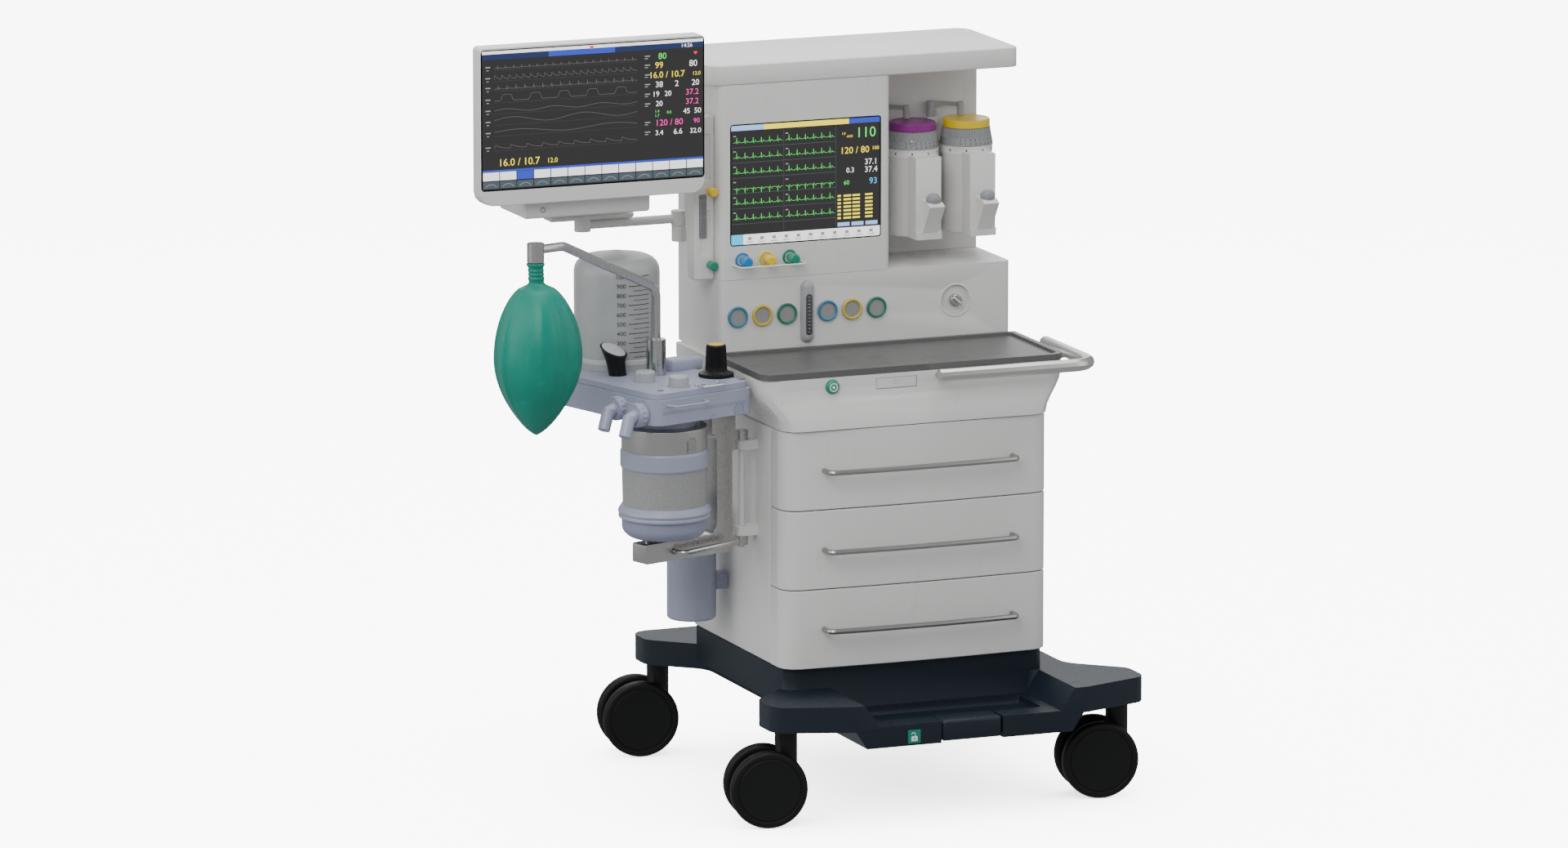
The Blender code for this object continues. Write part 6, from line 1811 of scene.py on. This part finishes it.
    def make_badge(self) -> None:
        """Round engraved sign with two wave arrows, and two grooves, on the block's front face, drawn in a
        darker tone of the block: painted shade in the engraving and the grooves.
        """
        low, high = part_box("breathing_block")
        front, z = -0.0862, (low.z + high.z) / 2
        ring = filleted(
            [(0.0105, -0.0006, 0), (0.0105, 0.0005, 0.0002), (0.0118, 0.0005, 0.0002), (0.0118, -0.0006, 0)],
        )
        # Painted shade: a darker copy of the block's tone for the engraved marks and the grooves.
        dark = Moulded((0.20, 0.235, 0.34), 0.45)
        place = self.place @ facing((-0.075, front, z - 0.002), (0, -1, 0))
        piece("badge_ring", turned_ring(ring, 48).placed(place), dark, "breathing_system")
        t = np.linspace(-1, 1, 25)
        waves = []
        for lift in (0.0030, -0.0030):
            path = np.column_stack([0.0066 * t, lift + 0.0012 * np.sin(math.pi * t)])
            waves.append(ribbon(path, 0.0010))
        arrows = joined(waves).at(-0.075, front - 0.0004, z - 0.002).placed(self.place)
        piece("badge_waves", arrows, dark, "breathing_system", flat=True)
        line = np.column_stack([np.linspace(-0.262, -0.058, 60), np.full(60, z + 0.0125)])
        grooves = joined([ribbon(line + np.array([0, drop]), 0.0008) for drop in (0.0, -0.0035)])
        piece(
            "block_grooves",
            grooves.at(0, front - 0.00025, 0).placed(self.place),
            dark,
            "breathing_system",
            flat=True,
        )


    def make_selector(self) -> None:
        """Black lever head that flares from a round foot, with a light oval pad on its slanted top.

        The top leans: its height falls with x by `slant` and rises with y by `tip`, each growing along
        the neck.
        """
        x, y = self.selector
        base, slant, tip = self.plate_level + 0.0003, self.slant, self.tip
        angle = np.arange(64) * TAU / 64
        shares = np.concatenate([np.linspace(0.0, 1.0, 21), [1.0, 1.0]])
        trims = np.concatenate([np.ones(20), [0.985, 0.93, 0.90]])
        lifts = np.concatenate([np.linspace(0.0, 0.047, 20), [0.0488, 0.0500, 0.0500]])
        rings = []
        for share, trim, lift in zip(shares, trims, lifts):
            waist = 1 - 0.10 * math.sin(math.pi * share)
            along = (0.0180 + 0.0125 * share**1.5) * trim * waist * np.cos(angle)
            across = (0.0165 + 0.0025 * share) * trim * waist * np.sin(angle)
            rings.append(
                np.column_stack(
                    [
                        x - 0.010 * share + along,
                        y + across,
                        base + lift + share**2 * (tip * across - slant * along),
                    ],
                ),
            )
        piece(
            "selector_head",
            grid(np.array(rings)).placed(self.place),
            Slot.BLACK,
            "bag_vent_lever",
            ["bag_vent_lever"],
        )
        pads = []
        for share, lift in ((0.84, 0.0490), (0.84, 0.0508), (0.80, 0.0516), (0.30, 0.0520)):
            along, across = 0.0305 * share * np.cos(angle), 0.0190 * share * np.sin(angle)
            pads.append(
                np.column_stack([x - 0.010 + along, y + across, base + lift + tip * across - slant * along]),
            )
        pad = grid(np.array(pads)).placed(self.place)
        piece("selector_pad", pad, Moulded((0.45, 0.46, 0.47), 0.4), "bag_vent_lever")

    def make_port_collars(self) -> None:
        """Fluted nut round each hose port, and the curved parting line on the block's front face, drawn as a
        dark ribbon: painted shade in the seam.
        """
        for number, (y, z) in enumerate(self.ports):
            nut = np.concatenate(
                [
                    filleted([(0, 0.0035, 0), (0.0215, 0.0035, 0.001), (0.0232, 0.0050, 0.0008)]),
                    np.column_stack([np.full(5, 0.0232), np.linspace(0.0062, 0.0148, 5)]),
                    filleted(
                        [
                            (0.0232, 0.0160, 0.0008), (0.0205, 0.0185, 0.0012), (0.0140, 0.0205, 0.001),
                            (0, 0.0205, 0),
                        ],
                    ),
                ],
            )
            place = self.place @ facing((self.port_face, y, z), (-1, 0, 0))
            flutes = ribs(14, 0.060, 0.0056, 0.0152)
            piece(
                f"port_nut_{number}",
                turned(nut, 168, flutes).placed(place),
                Slot.LAVENDER,
                "breathing_system",
            )
        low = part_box("breathing_block")[0]
        turn = np.linspace(0, math.pi / 2, 33)
        path = np.column_stack([-0.129 - 0.026 * np.sin(turn), low.z + 0.002 + 0.0285 * np.cos(turn)])
        # Painted shade: a dark ribbon where the seam's shade falls.
        line = ribbon(path, 0.0009).at(0, -0.08625, 0).placed(self.place)
        piece("block_parting_line", line, Moulded((0.17, 0.19, 0.27), 0.45), "breathing_system", flat=True)


@dataclass
class Absorber:
    """Carbon dioxide absorber canister."""

    def build(self) -> None:
        """Metal ring, band, granule body, flared double rim and bowl, each its own surface of revolution."""
        low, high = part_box("absorber_canister")
        x, y, r = (low.x + high.x) / 2, (low.y + high.y) / 2, (high.x - low.x) / 2
        self.x, self.y = x, y
        b, t = low.z, high.z
        wall = r - 0.0060
        shades = {
            "ring": (
                Brushed((0.50, 0.49, 0.475), 0.30, lines=1000.0),
                [
                    (0, t, 0), (wall - 0.004, t, 0.001), (wall - 0.0012, t - 0.002, 0.001),
                    (wall - 0.0012, t - 0.046, 0.0008), (0, t - 0.046, 0),
                ],
            ),
            "band": (
                Slot.LAVENDER,
                [
                    (0, t - 0.046, 0), (wall - 0.001, t - 0.046, 0.0006), (wall + 0.0012, t - 0.050, 0.001),
                    (wall + 0.0012, t - 0.078, 0.001), (wall - 0.001, t - 0.082, 0.0006), (0, t - 0.082, 0),
                ],
            ),
            "granule_body": (
                Slot.GRANULES,
                [
                    (0, t - 0.081, 0), (wall - 0.002, t - 0.081, 0), (wall - 0.0035, b + 0.066, 0),
                    (0, b + 0.066, 0),
                ],
            ),
            "rim": (
                Slot.LAVENDER,
                [
                    (0, b + 0.070, 0), (wall - 0.0015, b + 0.070, 0.001), (r - 0.0012, b + 0.060, 0.003),
                    (r, b + 0.056, 0.002), (r - 0.0032, b + 0.0525, 0.001), (r - 0.0008, b + 0.049, 0.002),
                    (r - 0.002, b + 0.0445, 0.002), (wall - 0.001, b + 0.043, 0.001), (0, b + 0.043, 0),
                ],
            ),
            "bowl": (
                Moulded((0.235, 0.255, 0.35), 0.40, coat=0.1),
                [
                    (0, b + 0.0435, 0), (wall - 0.0015, b + 0.0435, 0.0005),
                    (wall - 0.0020, b + 0.020, 0.008), (wall - 0.016, b + 0.006, 0.010),
                    (0.034, b + 0.0035, 0.002), (0.030, b + 0.0008, 0.001), (0, b + 0.0008, 0),
                ],
            ),
        }
        first = True
        for name, (finish, corners) in shades.items():
            skin = turned(filleted(corners, 7), 128).at(x, y, 0)
            piece(
                "canister_" + name, skin, finish, "breathing_system", ["absorber_canister"] if first else []
            )
            first = False
        self.make_window(wall, t)

    def make_window(self, wall: float, top: float) -> None:
        """Raised arch on the metal ring: a flat arch bent round it.

        Args:
            wall: Radius of the ring.
            top: Height of the canister's top.
        """
        height, width = 0.030, 0.020
        angle = np.linspace(math.pi, 0, 17)
        arch = np.concatenate(
            [
                [[-width / 2, 0.0]],
                np.column_stack([width / 2 * np.cos(angle), height - width / 2 + width / 2 * np.sin(angle)]),
                [[width / 2, 0.0]],
            ],
        )
        rows = [(1.0, 0.001), (1.0, -0.0018), (0.86, -0.0018), (0.80, -0.0008)]
        centre = np.array([0.0, height / 2])
        points = np.array(
            [
                np.column_stack(
                    [(arch - centre) @ np.diag([k, k]) + centre, np.full(len(arch), y)],
                )[:, [0, 2, 1]]
                for k, y in rows
            ],
        )
        skin = grid(points).at(z=top - 0.043)
        bent = wrapped(skin, wall - 0.001, math.radians(-72)).at(self.x, self.y, 0)
        piece("canister_window", bent, Brushed((0.42, 0.415, 0.40), 0.34), "breathing_system")


@dataclass
class BreathingBag:
    """Silicone reservoir bag: a soft gusseted shell that narrows to a ribbed neck."""

    panels: int = 7
    neck: float = 0.0150

    def build(self) -> None:
        """The radius is a sine of the height to a power, with a lower power above the middle for full
        shoulders, and runs into a ribbed neck. Round the bag it follows a polygon whose corners are
        moved apart by slow waves; a valley lies beside each corner, and small waves crease the panels.
        """
        low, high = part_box("breathing_bag")
        x, y, r = (low.x + high.x) / 2, (low.y + high.y) / 2, (high.x - low.x) / 2
        rows, columns = 150, 160
        t = np.linspace(0, 1, rows)
        tall = high.z - low.z
        shoulder = 0.885
        u = np.clip(t / shoulder, 0, 1)
        swell = np.sin(math.pi * u) ** np.where(u < 0.5, 0.72, 0.44)
        radius = r * 0.985 * swell
        neck = self.neck + 0.0012 * np.cos(TAU * (t - shoulder) * tall / 0.0075) * (t > shoulder + 0.02)
        blend = np.clip((t - 0.845) / 0.045, 0, 1)
        blend = blend * blend * (3 - 2 * blend)
        radius = radius * (1 - blend) + neck * blend
        radius[0] = 0.0025
        angle = np.arange(columns) * TAU / columns
        a, s = angle[None], t[:, None]
        fullness = (swell**0.5 * (1 - blend))[:, None]
        turned_by = a + 0.20 * np.sin(2 * a + 0.8) + 0.10 * np.sin(3 * a + 2.1) + 0.07 * np.sin(3.0 * s)
        sector = np.mod(turned_by, TAU / self.panels) - math.pi / self.panels
        facet = math.cos(math.pi / self.panels) / np.cos(sector)
        valley = 0.030 * np.exp(
            -(((sector + 0.26) / 0.055) ** 2),
        ) * np.sin(math.pi * np.clip(s / 0.9, 0, 1))
        creases = (0.006 * np.sin(5 * a + 5.0 * s) + 0.004 * np.sin(11 * a - 6.0 * s + 1.3)) * fullness
        flat = 1 - fullness * (1 - facet) * 0.85
        pinch = 0.07 * (
            np.abs(np.sin(self.panels * turned_by / 2)) ** 0.6 - 0.7
        ) * np.exp(-((s / 0.16) ** 2))
        around = radius[:, None] * np.clip(flat - valley * fullness + creases + pinch, 0.5, 1.01)
        lean = 0.004 * np.sin(math.pi * s)
        points = np.stack(
            [x + lean + around * np.cos(a), y + around * np.sin(a), low.z + tall * s + 0 * around], axis=-1
        )
        shell = grid(points)
        bag = piece("breathing_bag_shell", shell, Slot.SILICONE, "bag_arm", ["breathing_bag"], crease=60)
        smooth = bag.modifiers.new("soft skin", "SUBSURF")
        smooth.levels = smooth.render_levels = 1
        cuff = filleted(
            [
                (self.neck + 0.0004, 0, 0), (self.neck + 0.0024, 0.0008, 0.0008),
                (self.neck + 0.0024, 0.0052, 0.001), (self.neck + 0.0004, 0.006, 0),
            ],
        )
        piece("bag_cuff", turned_ring(cuff, 64).at(x, y, high.z - 0.0075), Slot.SILICONE, "bag_arm")


@dataclass
class Rear:
    """Back of the machine: screwed covers with louvres, a mains inlet and three gas inlets."""

    slot_pitch: float = 0.0105
    slot_count: int = 9
    # Painted shade: dark plates for the shade inside the louvre openings, the screws' sockets and the mains
    # inlet's mouth.
    dark: Moulded = Moulded((0.012, 0.012, 0.013), 0.5)

    def build(self) -> None:
        """Adds the two covers and the inlets."""
        low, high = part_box("cabinet_body")
        self.make_cover(
            "cabinet_cover", "cabinet_body", (low.x + high.x) / 2, (low.z + high.z) / 2, 0.40, 0.30
        )
        low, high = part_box("display_housing")
        self.make_cover("housing_cover", "display_housing", (low.x + high.x) / 2, 1.17, 0.46, 0.24)
        self.make_inlets()

    def wall(self, node: str, x: float, z: float) -> float:
        """The y at which a level line from behind meets a CAD node.

        Args:
            node: The CAD node.
            x: Where the line runs.
            z: Its height.

        Returns:
            The y.
        """
        mesh = frame["nodes"][node].data
        tree = BVHTree.FromPolygons([v.co for v in mesh.vertices], [p.vertices for p in mesh.polygons])
        place = tree.ray_cast(Vector((x, 2.0, z)), Vector((0.0, -1.0, 0.0)))[0]
        return place.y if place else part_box(node)[1].y

    def make_cover(self, name: str, node: str, x: float, z: float, wide: float, high: float) -> None:
        """A thin screwed cover with two blocks of hooded louvres; a dark plate under each hood and a dark
        disc on each screw are painted shade of the openings and sockets.

        Args:
            name: What its pieces are called.
            node: The CAD node behind it.
            x: Its middle.
            z: Its middle.
            wide: Its size along x.
            high: Its size along z.
        """
        y, turn = self.wall(node, x, z), spin("Z", 180)
        cover = plate(wide, high, 0.008, 0.0018, 0.0010).placed(turn).at(x, y, z)
        piece(name, cover, Slot.COVER, "trolley")
        head = filleted(
            [
                (0, -0.0004, 0), (0.0052, -0.0004, 0), (0.0052, 0.0012, 0.0006), (0.0042, 0.0020, 0.0005),
                (0, 0.0022, 0),
            ],
        )
        # Dark hexagon on each screw head: painted shade of its socket.
        socket = turned(np.array([[0, 0.0019], [0.0019, 0.0019], [0.0019, 0.0025], [0, 0.0025]]), 6)
        places = [
            facing((x + dx, y + 0.0018, z + dz), (0, 1, 0))
            for dx in (-wide / 2 + 0.012, 0.0, wide / 2 - 0.012)
            for dz in (-high / 2 + 0.012, high / 2 - 0.012)
        ]
        piece(
            name + "_screws",
            joined([turned(head, 28).placed(place) for place in places]),
            Slot.STEEL,
            "trolley",
        )
        piece(name + "_sockets", joined([socket.placed(place) for place in places]), self.dark, "trolley")
        shaded_gaps, hoods = [], []
        for across in (-wide / 4, wide / 4):
            for step in range(self.slot_count):
                level = z + (step - (self.slot_count - 1) / 2) * self.slot_pitch
                # Dark plate under each hood: painted shade of the louvre opening.
                gap = plate(wide * 0.36, 0.0044, 0.0021, 0.0004, 0.0002).placed(turn)
                hood = plate(wide * 0.36, 0.0040, 0.0019, 0.0032, 0.0018).placed(turn)
                shaded_gaps.append(gap.at(x + across, y + 0.0018, level - 0.0026))
                hoods.append(hood.at(x + across, y + 0.0016, level + 0.0016))
        piece(name + "_gaps", joined(shaded_gaps), self.dark, "trolley")
        piece(name + "_hoods", joined(hoods), Slot.COVER, "trolley")

    def make_inlets(self) -> None:
        """Mains inlet with three pins, an earth stud, and three gas inlets with coloured collars."""
        low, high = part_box("cabinet_body")
        x, z = low.x + 0.085, low.z + 0.060
        y, turn = self.wall("cabinet_body", x, z), spin("Z", 180)
        flange = plate(0.064, 0.034, 0.004, 0.0030, 0.0012).placed(turn).at(x, y, z)
        # The mouth is a dark plate: painted shade inside the inlet.
        mouth = plate(0.030, 0.022, 0.004, 0.0006, 0.0003).placed(turn).at(x, y + 0.0028, z)
        pins = [
            plate(0.0020, 0.0050, 0.0006, 0.0016, 0.0004).placed(turn).at(x + dx, y + 0.0032, z + dz)
            for dx, dz in ((-0.007, -0.002), (0.007, -0.002), (0, 0.004))
        ]
        piece("mains_flange", flange, Slot.BLACK, "trolley")
        piece("mains_mouth", mouth, self.dark, "trolley")
        piece("mains_pins", joined(pins), Slot.STEEL, "trolley")
        stud = filleted(
            [
                (0, 0, 0), (0.0085, 0, 0), (0.0085, 0.003, 0.0006), (0.0050, 0.004, 0.0006),
                (0.0050, 0.013, 0.0012), (0, 0.0135, 0),
            ],
        )
        piece(
            "earth_stud",
            turned(stud, 36).placed(facing((x + 0.070, y, z), (0, 1, 0))),
            Slot.YELLOW,
            "trolley",
        )
        low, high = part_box("gauge_housing")
        z = low.z + 0.40 * (high.z - low.z)
        nut = filleted(
            [
                (0, 0, 0), (0.0125, 0, 0), (0.0125, 0.007, 0.0008), (0.0090, 0.009, 0.0006),
                (0.0090, 0.022, 0.0010), (0.0070, 0.024, 0.0006), (0, 0.024, 0),
            ],
        )
        collar = filleted(
            [(0.0088, 0.0118, 0), (0.0102, 0.0118, 0.0004), (0.0102, 0.0178, 0.0004), (0.0088, 0.0178, 0)],
        )
        hexes = ribs(6, 0.11, 0.0006, 0.0068)
        fittings = []
        for number, ink in enumerate((Slot.BLUE, Slot.YELLOW, Slot.GREEN)):
            x = low.x + 0.100 + 0.050 * number
            place = facing((x, self.wall("gauge_housing", x, z), z), (0, 1, 0))
            fittings.append(turned(nut, 72, hexes).placed(place))
            piece(f"gas_collar_{number}", turned_ring(collar, 48).placed(place), ink, "trolley")
        piece("gas_fittings", joined(fittings), Slot.STEEL, "trolley")


ASSEMBLIES = (
    Base, Cabinet, Worktop, GaugePanel, DisplayUnit, Monitor, Vaporizers, SideColumn, BreathingSystem,
    Absorber, BreathingBag, Rear,
)


# ------------------------------------------------------------------ studio


@dataclass
class Studio:
    """Pale seamless floor and wall with painted contact shadows, soft overhead and side lights, and the
    camera.
    """

    camera_place: Colour = (-7.7712, -19.2630, 4.7421)
    camera_tilt: float = 79.015
    camera_turn: float = -22.06
    focal_length: float = 252.2
    floor: Colour = (0.90, 0.905, 0.91)
    glow: float = 8.0
    floor_radius: float = 27.0
    cove_radius: float = 4.0
    lights: tuple[tuple[str, Colour, float, float], ...] = (
        ("key", (-3.2, -4.2, 4.6), 3.6, 200.0),
        ("fill", (4.2, -3.0, 3.0), 3.5, 50.0),
        ("top", (0.2, 0.4, 5.0), 4.5, 210.0),
        ("left", (-5.0, 0.2, 2.4), 3.5, 90.0),
        ("rear", (1.5, 4.5, 3.4), 3.5, 70.0),
    )
    sky: float = 0.46

    def build(self) -> None:
        """Adds the floor, the lights, the world and the camera."""
        self.make_floor()
        for name, place, size, watts in self.lights:
            self.make_light(name, place, size, watts)
        world = bpy.data.worlds.new("studio")
        world.use_nodes = True
        world.node_tree.nodes["Background"].inputs["Color"].default_value = (0.95, 0.97, 1.0, 1.0)
        world.node_tree.nodes["Background"].inputs["Strength"].default_value = self.sky
        bpy.context.scene.world = world
        lens = bpy.data.cameras.new("camera")
        lens.lens = self.focal_length
        lens.sensor_width = 36.0
        lens.clip_end = 100.0
        camera = bpy.data.objects.new("camera", lens)
        camera.location = self.camera_place
        camera.rotation_euler = (math.radians(self.camera_tilt), 0.0, math.radians(self.camera_turn))
        bpy.context.scene.collection.objects.link(camera)
        bpy.context.scene.camera = camera

    def make_floor(self) -> None:
        """A round floor, and a wall beyond the camera's reach that curves up from its edge all the way round:
        a quarter circle, then upright."""
        work = Shading("floor_finish")
        # Painted shadow: the glow of the floor and wall is dimmed by ambient occlusion near the machine,
        # standing in for contact shadows.
        contact_shadow = work.node("ShaderNodeAmbientOcclusion", {"samples": 12}, {"Distance": 0.55})
        open_sky = Wire(work, contact_shadow.outputs["AO"]) ** 0.55
        work.feed("Base Color", self.floor)
        work.feed("Roughness", 0.8)
        work.feed("Specular IOR Level", 0.1)
        work.feed("Emission Color", work.mix(open_sky, (0.05, 0.05, 0.052), (1.0, 1.0, 1.0)))
        work.feed("Emission Strength", self.glow)
        reach, bend = self.floor_radius, self.cove_radius
        angle = np.linspace(0, math.pi / 2, 13)
        cove = np.column_stack([reach + bend * np.sin(angle), bend * (1 - np.cos(angle))])
        upright = np.array([[reach + bend, 4 * bend]])
        profiles = {
            "floor": np.array([[0.0001, 0.0], [reach, 0.0]]), "backdrop": np.concatenate([cove, upright])
        }
        around = np.arange(96) * TAU / 96
        for name, profile in profiles.items():
            out, up = profile[:, :1], profile[:, 1:]
            points = np.stack([out * np.cos(around), out * np.sin(around), up + 0 * around], axis=-1)
            mesh = mesh_of(name, grid(points, ends=False), flat=True)
            mesh.shade_smooth()
            mesh.materials.append(work.material)
            made = bpy.data.objects.new(name, mesh)
            bpy.context.scene.collection.objects.link(made)
            made.visible_diffuse = made.visible_glossy = made.visible_transmission = False
            made.visible_shadow = name == "floor"

    def make_light(self, name: str, place: Colour, size: float, watts: float) -> None:
        """A square soft light that faces the machine's middle.

        Args:
            name: Its name.
            place: Where it stands.
            size: Its side.
            watts: Its power.
        """
        lamp = bpy.data.lights.new(name, "AREA")
        lamp.size = size
        lamp.energy = watts
        made = bpy.data.objects.new(name, lamp)
        made.location = place
        aim = Vector((0.0, 0.0, 0.7)) - Vector(place)
        made.rotation_euler = aim.to_track_quat("-Z", "Y").to_euler()
        bpy.context.scene.collection.objects.link(made)


def clear_startup() -> None:
    """Removes the objects that an empty file starts with."""
    for name in ("Cube", "Light", "Camera"):
        if name in bpy.data.objects:
            bpy.data.objects.remove(bpy.data.objects[name])


def main() -> None:
    """Builds every sub-assembly over the frame."""
    logging.basicConfig(level=logging.INFO, format="%(message)s")
    clear_startup()
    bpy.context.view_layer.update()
    for node in frame["nodes"]:
        dress(node)
    for assembly in ASSEMBLIES:
        assembly().build()
        log.info("built %s", assembly.__name__)
    Studio().build()
    bpy.context.view_layer.update()


if __name__ == "__main__":
    main()
